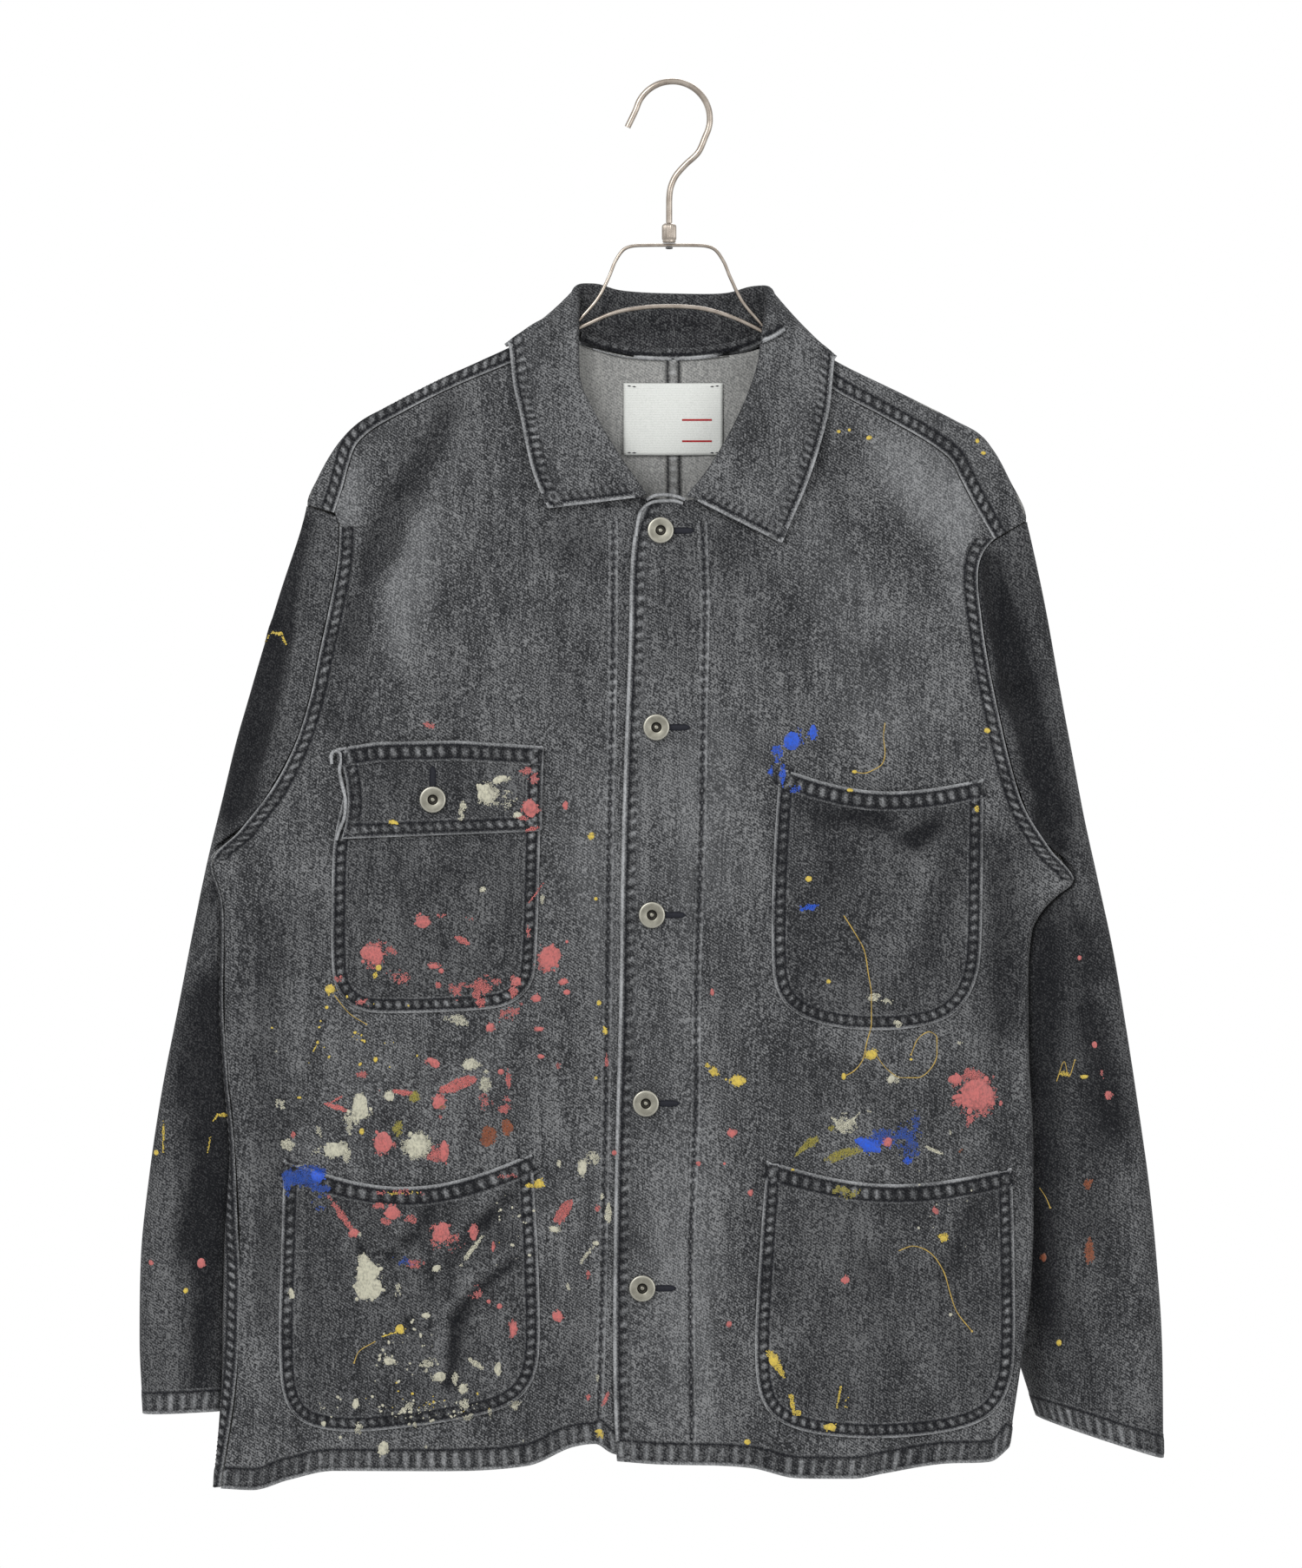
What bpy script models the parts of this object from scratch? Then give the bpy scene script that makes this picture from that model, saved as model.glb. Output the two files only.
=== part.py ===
"""A paint-spattered denim work jacket on its wire hanger, all in one rigid body.

Blender works in metres with +Z up. The origin is the underside of the hook's crown, where a rail
carries the hanger, and the jacket's front faces -Y. Right and left are the wearer's, so the right
sleeve is on the -X side. The sizes below are millimetres in three directions: x across, down from
the origin, and y from the front (negative) to the back.
"""

import math

import bmesh
import bpy
import numpy as np
from mathutils import Vector

MM = 0.001

# ---------------------------------------------------------------- driving sizes, in millimetres

CLOTH = 1.2  # one layer of denim
COLLAR_CLOTH = 1.8  # two plies pressed together
LABEL_CLOTH = 0.8
GAP = 0.3  # between pieces at a seam
TURN_GAP = 1.0  # and where the seam runs along a rounded edge
LAYER = CLOTH + GAP + 0.1  # how far one layer lies over the next

FOLD_DEPTH = 4.6  # half the thickness of a folded edge
FOLD_ROUND = 6.0  # how far inside the outline the folded edge reaches that thickness
ARMHOLE_GAPE = 5.0  # extra half thickness half way down the armhole
UNDERARM_CLOSES = 30.0  # the armhole's open edge closes over this height above the underarm
FALL = 220.0  # below the shoulder, the body has opened to its full depth here
SIDE_EASE = 170.0  # and here inside the side edges
SIDE_FORWARD = 7.0  # the side edges swing this far forward of the middle,
SWING_TOP, SWING_HEIGHT = 300.0, 250.0  # starting at this level and growing over this height
HALF_CHEST = 290.0
NECK_FULLNESS = 9.0  # the back stands off at the neck by this,
NECK_FULL_HALF = 70.0  # over this half width,
NECK_FULL_TOP, NECK_FULL_HEIGHT = 165.0, 150.0  # and fades out downwards from this level
CENTRE_BACK_X = 1.0
UNDERLAP = (-10.0, -2.0, 13.0, 31.0)  # the right front's last columns, past the left one's free edge
NECK_TAIL = (-12.0, -8.0, -4.0, 0.0)  # the same columns beside the neckline,
NECK_TAIL_SHARE = 0.5  # or nearer together, to fit in this share of a narrow row
LOWERED_FROM = 4.0  # the underlap starts this far above the fronts' top row
LEAST_ROW = 2.2  # two rows nearer together than this are made one

HOOK_WIRE = 4.2
FRAME_WIRE = 2.3
ARM_WIRE = 2.8
BUTTON_WIDE = 17.4
BUTTON_THICK = 3.4
ROUND_SIDES = 20  # sides of a turned piece

# ---------------------------------------------------------------- outlines, a row for each height
# Every table runs downwards. Its columns are (down, x).

RIGHT_SEAM = (  # shoulder seam, from neck to armhole
    (171.0, -77.0), (184.1, -109.7), (198.3, -143.7), (214.8, -176.8), (228.1, -199.4),
    (237.0, -208.0), (249.0, -212.4), (264.0, -216.4), (281.0, -222.0),
)
RIGHT_FOLD = (  # the outline, where the back folds over to the front
    (158.0, -77.0), (174.2, -110.6), (185.5, -134.2), (194.0, -153.2), (203.5, -172.1),
    (213.9, -190.9), (221.4, -205.1), (231.9, -216.5), (242.2, -224.0), (253.6, -230.7),
    (264.9, -235.4), (275.8, -239.7),
)
RIGHT_ARMHOLE = (
    (275.8, -239.7), (281.0, -222.0), (290.5, -217.8), (309.2, -218.4), (337.7, -223.2),
    (366.2, -229.4), (400.4, -236.3), (428.9, -244.8), (457.4, -259.1), (483.0, -276.2),
    (510.4, -303.0),
)
RIGHT_ARMHOLE_BACK = (
    (275.8, -239.7), (281.0, -237.2), (290.5, -234.5), (309.2, -231.8), (337.7, -232.0),
    (366.2, -236.0), (400.4, -243.5), (428.9, -252.0), (457.4, -264.5), (483.0, -280.0),
    (510.4, -303.0),
)
RIGHT_SIDE = (
    (510.4, -303.0), (534.3, -296.6), (555.0, -295.4), (600.0, -296.2), (650.0, -293.5),
    (702.5, -289.5), (750.0, -293.2), (800.0, -294.6), (856.4, -295.8), (885.0, -298.2),
    (908.0, -300.6),
)
LEFT_SEAM = (
    (176.0, 76.0), (199.7, 105.3), (217.4, 137.7), (237.5, 172.1), (246.4, 182.9), (257.2, 188.6),
    (275.0, 197.8), (298.4, 211.2),
)
LEFT_FOLD = (
    (162.0, 76.0), (181.6, 107.3), (191.4, 127.9), (201.2, 147.5), (212.0, 167.2),
    (218.9, 181.9), (223.8, 192.7), (230.7, 203.5), (239.5, 210.5), (251.3, 217.2),
    (265.0, 224.1), (286.0, 232.4),
)
LEFT_ARMHOLE = (
    (286.0, 232.4), (292.4, 221.4), (298.4, 211.2), (307.2, 202.8), (330.0, 199.6),
    (354.8, 202.6), (389.0, 208.3), (428.9, 216.9), (457.4, 224.3), (491.6, 238.5),
    (523.0, 263.0),
)
LEFT_ARMHOLE_BACK = (
    (286.0, 232.4), (292.4, 229.8), (298.4, 227.0), (307.2, 223.8), (330.0, 219.6),
    (354.8, 218.8), (389.0, 221.3), (428.9, 227.9), (457.4, 234.8), (491.6, 246.0),
    (523.0, 263.0),
)
LEFT_SIDE = (
    (523.0, 263.0), (534.3, 249.9), (554.3, 236.2), (600.0, 233.4), (656.9, 234.6),
    (702.5, 236.8), (742.4, 236.8), (788.0, 235.1), (827.9, 231.1), (862.1, 226.6),
    (908.0, 221.0),
)
RIGHT_NECKLINE = (
    (171.0, -69.5), (195.0, -67.0), (217.0, -60.0), (241.0, -46.5), (259.0, -33.5), (271.0, -23.0),
)
LEFT_NECKLINE = (
    (176.0, 69.0), (195.0, 66.5), (218.0, 54.5), (243.0, 41.0), (259.0, 28.0), (271.0, 15.0),
)
FRONT_TOP = 274.5  # the fronts start here between the collar's two ends
FRONT_EDGE = (  # the free edge of the left front, which is the upper layer
    (274.5, -16.8), (286.4, -22.5), (307.5, -26.5), (363.9, -28.2), (453.9, -31.6), (514.4, -33.3),
    (599.9, -34.5), (708.7, -37.3), (818.2, -38.5), (887.7, -37.3), (908.0, -36.0),
)
RIGHT_TURN = (  # how far the back turns on to the front at the right side seam: (down, reach)
    (510.4, 1.0), (617.0, 1.6), (702.5, 2.6), (725.3, 5.0), (748.1, 8.0), (788.0, 11.0),
    (833.6, 10.0), (856.4, 8.0), (885.0, 5.5), (908.0, 4.0),
)
LEFT_TURN = ((523.0, -1.0), (600.0, -5.0), (908.0, -6.0))  # here the front turns on to the back
RIGHT_FULLNESS = ((158.0, -226.0), (300.0, -241.0), (510.4, -303.0), (600.0, -300.0), (908.0, -301.0))
LEFT_FULLNESS = ((158.0, 216.0), (300.0, 233.0), (523.0, 263.0), (600.0, 250.0), (908.0, 234.0))

# The depth of the body in front of and behind its middle: (down, half depth).
FRONT_DEPTH = ((158.0, 8.0), (220.0, 12.0), (300.0, 17.5), (450.0, 21.0), (650.0, 22.5), (908.0, 21.0))
BACK_DEPTH = ((158.0, 10.0), (220.0, 14.0), (300.0, 17.5), (450.0, 20.0), (650.0, 21.0), (908.0, 20.0))

# The back's neckline dips between the shoulders: (x, drop).
BACK_NECK_DIP = (
    (-77.0, 0.0), (-72.0, 6.5), (-59.0, 12.7), (-38.0, 17.8), (-17.0, 21.2), (0.3, 21.8),
    (25.0, 20.0), (56.0, 14.0), (70.0, 6.0), (76.0, 0.0),
)
BACK_NECK_REACH = 60.0

# The hem hangs unevenly: (x, down). BOTTOM is the level that the rows are laid out to.
BOTTOM = 908.0
HEM_REACH = 120.0
HEM_RIGHT = (
    (-301.0, 919.6), (-275.0, 920.8), (-251.1, 913.9), (-220.9, 907.7), (-159.9, 907.7),
    (-94.3, 904.2), (-65.8, 892.3), (-50.4, 890.0), (-39.6, 896.3), (-20.0, 899.0), (0.0, 900.0),
)
HEM_LEFT = (
    (-36.0, 901.4), (-14.0, 903.1), (52.7, 906.0), (81.2, 912.4), (118.8, 912.8), (138.8, 909.4),
    (174.7, 903.7), (207.8, 902.5), (221.5, 893.0),
)
HEM_BACK = (
    (-301.0, 919.6), (-275.0, 918.0), (-220.0, 905.0), (-160.0, 903.0), (-94.0, 899.0),
    (-60.0, 888.0), (-40.0, 889.0), (0.0, 894.0), (53.0, 902.0), (100.0, 908.0), (140.0, 905.0),
    (175.0, 900.0), (208.0, 898.5), (221.5, 893.0),
)

# ---------------------------------------------------------------- sleeves, a row for each section
# A sleeve hangs beside and behind the body as a flattened tube. Each section starts at `level` on
# the inside, runs over the front to the outer fold, and comes round the back to the inner fold,
# which lies behind the body. `deep` is half the thickness.

SLEEVE_COLUMNS = ("level", "outer_x", "outer_down", "outer_y", "fold_x", "fold_down", "fold_y", "deep")
SLEEVE_RIGHT = (
    (275.8, -239.7, 275.8, 0.0, -239.7, 275.8, 0.0, 2.0),
    (290.5, -243.4, 290.5, 1.0, -234.5, 290.5, 8.0, 8.0),
    (330.0, -256.5, 330.0, 3.0, -231.6, 330.0, 12.0, 13.0),
    (380.0, -271.8, 380.0, 5.0, -233.0, 380.0, 17.0, 17.0),
    (402.0, -278.2, 402.0, 5.5, -229.0, 403.0, 19.0, 18.5),
    (430.0, -286.3, 430.0, 6.5, -226.0, 432.0, 21.0, 20.0),
    (470.0, -296.0, 470.0, 7.5, -220.0, 474.0, 25.0, 23.0),
    (510.4, -305.6, 509.5, 8.0, -214.0, 518.0, 30.0, 25.0),
    (560.0, -315.3, 556.0, 9.0, -209.0, 568.0, 35.0, 27.0),
    (610.0, -324.8, 605.0, 10.0, -207.0, 618.0, 39.0, 28.0),
    (665.0, -335.6, 660.0, 10.0, -207.0, 672.0, 42.0, 28.0),
    (720.0, -344.0, 716.0, 10.0, -211.0, 726.0, 42.0, 28.0),
    (775.0, -349.6, 772.0, 9.0, -221.0, 778.0, 41.0, 27.0),
    (825.0, -350.3, 824.0, 8.0, -236.0, 826.0, 38.0, 27.0),
    (870.0, -348.0, 872.3, 8.0, -252.0, 868.0, 36.0, 28.0),
)
SLEEVE_LEFT = (
    (286.0, 232.4, 286.0, 0.0, 232.4, 286.0, 0.0, 2.0),
    (300.0, 235.8, 300.0, 1.0, 226.0, 300.0, 8.0, 8.0),
    (340.0, 244.5, 340.0, 3.0, 219.2, 340.0, 12.0, 13.0),
    (390.0, 253.6, 390.0, 5.0, 218.0, 390.0, 17.0, 17.0),
    (414.0, 258.0, 414.0, 5.8, 211.0, 415.0, 19.0, 18.5),
    (440.0, 263.0, 440.0, 6.5, 208.0, 442.0, 21.0, 20.0),
    (480.0, 270.6, 480.0, 7.5, 205.0, 484.0, 25.0, 23.0),
    (523.0, 279.6, 521.0, 8.0, 196.0, 530.0, 30.0, 25.0),
    (570.0, 289.6, 567.0, 9.0, 190.0, 578.0, 35.0, 27.0),
    (620.0, 298.0, 616.0, 10.0, 186.0, 628.0, 39.0, 28.0),
    (675.0, 306.3, 670.0, 10.0, 185.0, 682.0, 42.0, 28.0),
    (730.0, 314.2, 727.0, 10.0, 190.0, 734.0, 42.0, 28.0),
    (780.0, 319.1, 779.0, 9.0, 201.0, 780.0, 41.0, 27.0),
    (825.0, 322.0, 826.0, 8.0, 222.0, 822.0, 38.0, 27.0),
    (880.0, 322.9, 901.4, 8.0, 240.5, 876.0, 35.0, 28.0),
)
TUCK_STARTS = 115.0  # below the shoulder's tip, where the back of the sleeve begins to fold inwards
BEHIND = 2.6  # the sleeve's front layer keeps this far behind the body's back
BEHIND_FADES = 1.5  # and may come this much nearer for each millimetre outside the body's edge
SLEEVE_FRONT = (0.0, 0.14, 0.34, 0.58, 0.82, 0.95)
SLEEVE_BACK = (0.0, 0.06, 0.27, 0.55, 0.82, 0.96)
SLEEVE_INNER = (0.0, 0.14)
SLEEVE_EDGE = (-6.5, -1.2, 1.4, 3.2)  # then columns this far outside the body's edge,
EDGE_HIGHEST = (0.90, 0.80, 0.72, 0.66)  # at most this share of the way in to the inner fold
EDGE_LOWEST = 0.02
FOLDS_FADE_IN = 0.2  # share of the front over which its folds start at the armhole
BACK_SKEW = 0.7  # the back of an open section is fullest this side of its middle

# Shares of the way down the armhole where body rows and sleeve points meet.
ARMHOLE_ROWS = (0.16, 0.29, 0.42, 0.55, 0.68, 0.80, 0.91, 1.0)
CORNER_CLEAR = 5.0  # the first of them lies at least this far below the armhole's top corner
UNDERARM_ROWS = (8.0, 18.0, 32.0, 54.0)  # and levels this far below the underarm
SIDE_ROWS = (0.27, 0.45, 0.64, 0.83, 1.0)
SLEEVE_ROWS = (0.28, 0.43, 0.58, 0.73, 0.88, 1.0)
PANEL_COLUMNS = (0.0, 0.008, 0.035, 0.09, 0.18, 0.31, 0.50, 0.75, 1.0)
STRIP_COLUMNS = (0.0, 0.12, 0.42, 1.0)

# ---------------------------------------------------------------- largest folds, a row for each
# A soft line from one point to the other. `sink` pushes the cloth in, and a negative one lifts it.

FOLD_COLUMNS = ("x", "down", "to_x", "to_down", "wide", "sink")
FRONT_FOLDS = (
    (-148.0, 215.0, -189.0, 300.0, 16.0, 3.2),
    (-189.0, 300.0, -209.0, 364.0, 14.0, 3.4),
    (-172.0, 300.0, -186.0, 372.0, 18.0, -2.4),
    (-211.0, 258.0, -213.0, 330.0, 12.0, -3.4),
    (192.0, 268.0, 197.0, 345.0, 13.0, -3.2),
    (216.0, 500.0, 220.0, 615.0, 13.0, 4.0),
    (-268.0, 560.0, -262.0, 800.0, 18.0, 2.0),
    (120.0, 480.0, 175.0, 505.0, 26.0, 2.0),
    (60.0, 745.0, 135.0, 860.0, 24.0, 1.8),
)
SLEEVE_FOLDS_RIGHT = (
    (-246.0, 290.0, -262.0, 360.0, 10.0, 7.0),
    (-262.0, 360.0, -287.0, 470.0, 12.0, 8.0),
    (-240.0, 372.0, -262.0, 452.0, 9.0, -3.5),
    (-262.0, 452.0, -292.0, 506.0, 9.0, -3.0),
    (-312.0, 600.0, -318.0, 760.0, 16.0, 3.0),
    (-334.0, 660.0, -338.0, 800.0, 14.0, -2.5),
)
SLEEVE_FOLDS_LEFT = (
    (206.0, 316.0, 226.0, 400.0, 10.0, 7.0),
    (226.0, 400.0, 252.0, 500.0, 12.0, 8.0),
    (220.0, 410.0, 236.0, 468.0, 9.0, -3.5),
    (236.0, 468.0, 258.0, 512.0, 9.0, -3.0),
    (270.0, 560.0, 290.0, 740.0, 18.0, 3.0),
    (296.0, 700.0, 308.0, 860.0, 15.0, -2.5),
)

# ---------------------------------------------------------------- collar, a row for each section
# Going round the neck from the right end: where the stand is sewn on, where it rolls over, and
# where the leaf ends, each as x, down, y. `out` is the heading from stand to leaf in degrees,
# 0 forwards, 90 to the right, 180 backwards and 270 to the left.

COLLAR_COLUMNS = (
    "neck_x", "neck_down", "neck_y", "roll_x", "roll_down", "roll_y",
    "leaf_x", "leaf_down", "leaf_y", "out",
)
COLLAR = (
    (-24.0, 274.0, -15.0, -17.4, 269.8, -18.0, -81.2, 278.4, -16.0, 0.0),
    (-31.0, 262.5, -14.5, -24.0, 260.5, -18.5, -86.5, 267.0, -16.0, 2.0),
    (-42.5, 246.0, -13.5, -35.0, 244.6, -18.0, -91.5, 254.0, -15.0, 5.0),
    (-53.5, 229.0, -12.5, -46.0, 226.5, -17.0, -96.0, 235.0, -13.5, 10.0),
    (-62.0, 211.5, -10.5, -54.0, 211.5, -16.0, -99.5, 217.0, -11.0, 18.0),
    (-67.5, 192.0, -8.0, -61.3, 195.7, -14.0, -104.0, 198.0, -8.5, 28.0),
    (-68.5, 173.0, -6.5, -62.6, 172.0, -10.5, -107.5, 181.0, -6.0, 50.0),
    (-69.0, 159.0, -3.0, -63.6, 150.0, -5.0, -109.5, 172.0, -1.0, 75.0),
    (-68.5, 157.0, 3.5, -64.0, 136.5, 1.5, -106.0, 170.5, 7.0, 105.0),
    (-66.0, 163.0, 8.5, -60.0, 130.8, 8.0, -94.0, 178.0, 15.0, 135.0),
    (-57.0, 169.0, 12.0, -50.0, 130.5, 13.5, -78.0, 186.0, 22.0, 155.0),
    (-41.0, 174.5, 14.5, -37.0, 134.3, 17.5, -55.0, 194.0, 28.0, 168.0),
    (-20.0, 178.3, 16.0, -19.0, 136.0, 20.0, -27.0, 198.0, 30.5, 176.0),
    (0.5, 179.2, 16.5, 0.5, 136.6, 20.5, 0.5, 199.0, 31.5, 180.0),
    (25.0, 177.4, 16.0, 22.0, 137.0, 20.0, 30.0, 198.0, 30.5, 184.0),
    (44.0, 173.5, 14.5, 38.0, 136.2, 17.5, 56.0, 194.0, 28.0, 192.0),
    (57.5, 170.5, 12.0, 51.0, 132.5, 13.5, 79.0, 188.0, 22.0, 205.0),
    (65.5, 166.5, 8.5, 61.0, 132.0, 8.0, 95.0, 182.0, 15.0, 225.0),
    (68.0, 159.5, 3.5, 64.8, 137.0, 1.5, 105.0, 178.0, 7.0, 255.0),
    (68.0, 161.0, -3.0, 62.8, 150.0, -5.0, 107.2, 180.0, -1.0, 285.0),
    (67.5, 177.0, -6.5, 59.8, 166.0, -10.5, 106.6, 194.0, -6.0, 310.0),
    (66.5, 196.0, -8.5, 56.8, 184.0, -14.0, 103.0, 212.0, -9.5, 332.0),
    (60.0, 212.0, -11.0, 50.5, 203.0, -16.5, 98.4, 230.0, -12.5, 342.0),
    (50.0, 228.5, -13.0, 41.5, 223.0, -17.5, 92.5, 250.0, -14.5, 350.0),
    (39.0, 246.0, -14.5, 31.0, 242.0, -18.5, 85.5, 269.0, -16.0, 355.0),
    (27.5, 261.5, -15.5, 20.5, 258.0, -19.0, 78.5, 285.0, -17.0, 358.0),
    (19.0, 273.0, -16.0, 9.5, 271.0, -19.5, 71.5, 301.2, -18.0, 360.0),
)
ROLL_ROUND = 2.2
LEAF_LIFT = 2.6  # the leaf's middle lies this far off the front,
LEAF_RISE = 1.6  # and this much more towards the roll
FACING = 0.2  # a section heads forwards or backwards past this cosine,
SIDEWAYS = 0.8  # and sideways below this one
NECK_POINT = 77.0
ROLL_STEPS = (-90.0, -45.0, 0.0, 45.0, 90.0)
LEAF_STEPS = (0.22, 0.5, 0.76, 1.0)

# ---------------------------------------------------------------- pockets, a row for each side cut
# A pocket is the front's own cloth cut along straight lines and moved out by its layers. Each
# corner is (x, down), going round from the outer end of the mouth. `sag` drops the mouth's middle.

SAG_HEIGHT = 45.0  # the mouth's sag fades out over this height
SAG_STANDS = 1.6  # and the sagging mouth stands this far off
SAG_LEAST = 2.0  # a mouth that drops less than this lies straight

POCKETS = {
    "pocket_chest_right": dict(
        panel="front_right", layers=1.25,
        corners=((-220.5, 455.0), (-86.0, 455.0), (-88.6, 577.0), (-93.0, 592.0), (-104.0, 602.0),
                 (-120.0, 606.5), (-190.0, 609.0), (-206.0, 606.5), (-217.0, 598.0), (-223.0, 584.0),
                 (-222.5, 528.0)),
        mouth=(455.0, 455.0, 455.0)),
    "pocket_flap": dict(
        panel="front_right", layers=2.5,
        corners=((-219.5, 436.0), (-193.0, 432.0), (-141.0, 431.0), (-84.6, 434.6), (-85.8, 489.4),
                 (-216.0, 494.5)),
        mouth=(436.0, 431.0, 434.6)),
    "pocket_chest_left": dict(
        panel="front_left", layers=1.25,
        corners=((69.8, 449.4), (203.2, 459.1), (202.4, 560.0), (200.0, 584.0), (192.0, 602.0),
                 (176.0, 615.0), (146.0, 620.0), (110.0, 619.0), (84.0, 611.5), (70.5, 600.0),
                 (64.6, 582.0), (65.6, 514.0)),
        mouth=(449.4, 467.0, 459.1)),
    "pocket_lower_right": dict(
        panel="front_right", layers=1.25,
        corners=((-253.9, 706.5), (-92.1, 701.3), (-88.0, 763.0), (-86.4, 826.0), (-90.0, 848.0),
                 (-102.0, 863.0), (-127.0, 872.5), (-203.0, 883.0), (-233.0, 880.3), (-247.0, 873.0),
                 (-256.0, 857.0), (-257.6, 818.0), (-255.6, 763.0)),
        mouth=(706.5, 725.0, 701.3)),
    "pocket_lower_left": dict(
        panel="front_left", layers=1.25,
        corners=((61.8, 705.9), (222.0, 712.7), (223.5, 755.0), (224.6, 833.0), (220.5, 856.0),
                 (209.0, 873.0), (185.0, 882.5), (141.0, 887.0), (101.0, 885.0), (75.0, 879.0),
                 (61.0, 868.0), (55.0, 851.0), (53.9, 822.0), (56.4, 777.0)),
        mouth=(705.9, 723.6, 712.7)),
}

BUTTONS = (  # name, x, down
    ("button_1", -7.7, 293.2),
    ("button_2", -10.5, 422.0),
    ("button_3", -13.4, 544.6),
    ("button_4", -17.4, 667.7),
    ("button_5", -19.7, 788.5),
    ("button_flap", -156.5, 469.3),
)
BUTTON_PROFILE = (  # radius and height, as shares of half the width and of the thickness
    (0.0, 0.0), (0.80, 0.0), (0.97, 0.22), (1.0, 0.45), (0.96, 0.72), (0.82, 0.94), (0.66, 1.0),
    (0.46, 0.84), (0.36, 0.55), (0.30, 0.38), (0.17, 0.40), (0.13, 0.58), (0.0, 0.62),
)

BUTTON_LIFT = 0.5  # the button's foot stands this far off the front
FLAP_BUTTON_LIFT = 4.3  # and this far where it goes through the flap
SLOPE_STEP = 5.0  # the cloth's slope under a button is measured this far to each side

LABEL = dict(left=-32.0, right=33.2, top=195.4, bottom=242.8)
LABEL_CLEAR = 0.9  # between the label and the back's inner face
LABEL_ROWS, LABEL_COLUMNS = 5, 7

# ---------------------------------------------------------------- hanger

HOOK_RADIUS = 24.6  # to the middle of the wire
HOOK_TIP = (-29.4, 28.0)  # the free end opens a little wider than the circle
HOOK_FROM, HOOK_TO, HOOK_STEPS = 165.0, -28.0, 16  # degrees round the hook's circle
HOOK_NECK = ((17.0, 44.5), (8.2, 53.0), (1.6, 61.0), (-1.6, 70.0), (-2.1, 80.0), (-2.1, 90.8))
STEM_X = -2.1
FERRULE_TOP, FERRULE_BOTTOM, FERRULE_WIDE = 91.1, 103.9, 9.6
FERRULE_PROFILE = (  # radius and height, as shares of half the width and of the height
    (0.0, 0.0), (0.82, 0.0), (0.9, 0.04), (0.9, 0.14), (1.0, 0.18), (1.0, 0.84), (0.86, 0.98),
    (0.62, 1.0), (0.0, 1.0),
)
BAR_DOWN = 105.4
RIVET_WIDE, RIVET_HIGH = 5.0, 1.2
RIVET_PROFILE = ((0.0, 0.0), (0.7, 0.15), (1.0, 0.6), (1.0, 1.0), (0.0, 1.0))
FRAME_ROUTE = (
    (-64.0, 157.6), (-48.6, 139.9), (-41.5, 126.0), (-36.9, 115.0), (-31.2, 107.8), (-22.0, 105.6),
    (0.0, 105.4), (18.0, 105.6), (27.2, 107.8), (33.0, 115.0), (38.2, 127.0), (46.0, 142.5),
    (60.7, 159.5),
)
ARCH_ROUTE = (
    (-61.3, 159.6), (-38.0, 149.8), (-17.0, 146.2), (0.3, 145.6), (21.4, 147.4), (42.5, 154.0),
    (57.3, 161.0),
)
ARM_END_RIGHT, ARM_END_LEFT = -212.0, 204.0
ARM_STARTS = 86.0  # the wire is under the shoulders from here out
ARM_CLEAR = 0.8  # between the wire and the shoulder's cloth
WIRE_STEP = 2.2  # wire sections are this many diameters apart

# ---------------------------------------------------------------- smooth lines and sums


class Curve:
    """A smooth line through (at, value) rows, without overshoot and flat past both ends."""

    def __init__(self, rows):
        rows = sorted(rows)
        self.at = np.array([row[0] for row in rows], float)
        self.value = np.array([row[1] for row in rows], float)
        rise = np.diff(self.value) / np.diff(self.at)
        self.slope = np.concatenate([rise[:1], (rise[1:] + rise[:-1]) / 2, rise[-1:]])
        turns = np.concatenate([[False], rise[1:] * rise[:-1] <= 0, [False]])
        self.slope[turns] = 0.0
        steepest = 3 * np.minimum(
            np.abs(np.concatenate([rise[:1], rise])), np.abs(np.concatenate([rise, rise[-1:]]))
        )
        self.slope = np.clip(self.slope, -steepest, steepest)

    def __call__(self, at):
        at = np.clip(at, self.at[0], self.at[-1])
        i = np.clip(np.searchsorted(self.at, at, side="right") - 1, 0, len(self.at) - 2)
        step = self.at[i + 1] - self.at[i]
        t = (at - self.at[i]) / step
        return (
            self.value[i] * (1 + 2 * t) * (1 - t) ** 2
            + self.value[i + 1] * t * t * (3 - 2 * t)
            + self.slope[i] * step * t * (1 - t) ** 2
            + self.slope[i + 1] * step * t * t * (t - 1)
        )


def swapped(rows):
    return tuple((b, a) for a, b in rows)


def columns(names, rows):
    """A table as a dictionary of arrays, one for each named column."""
    return dict(zip(names, np.array(rows, float).T))


def ease(t):
    t = np.clip(t, 0.0, 1.0)
    return t * t * (3 - 2 * t)


def swell(t):
    """Rises from 0 to 1, steeply at first."""
    return np.sin(np.pi / 2 * np.clip(t, 0.0, 1.0))


def rounded(t):
    """A quarter of a circle, from 0 to 1."""
    t = np.clip(t, 0.0, 1.0)
    return np.sqrt(1 - (1 - t) ** 2)


def creased(rows, x, down):
    """How far the folds in these rows push the cloth in at each point."""
    total = np.zeros(np.broadcast(x, down).shape)
    for row in rows:
        fold = dict(zip(FOLD_COLUMNS, row))
        run_x = fold["to_x"] - fold["x"]
        run_down = fold["to_down"] - fold["down"]
        share = ((x - fold["x"]) * run_x + (down - fold["down"]) * run_down) / (run_x**2 + run_down**2)
        share = np.clip(share, 0.0, 1.0)
        off = np.hypot(x - fold["x"] - share * run_x, down - fold["down"] - share * run_down)
        total = total + fold["sink"] * np.exp(-((off / fold["wide"]) ** 2))
    return total


# ---------------------------------------------------------------- the body's surface

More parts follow.
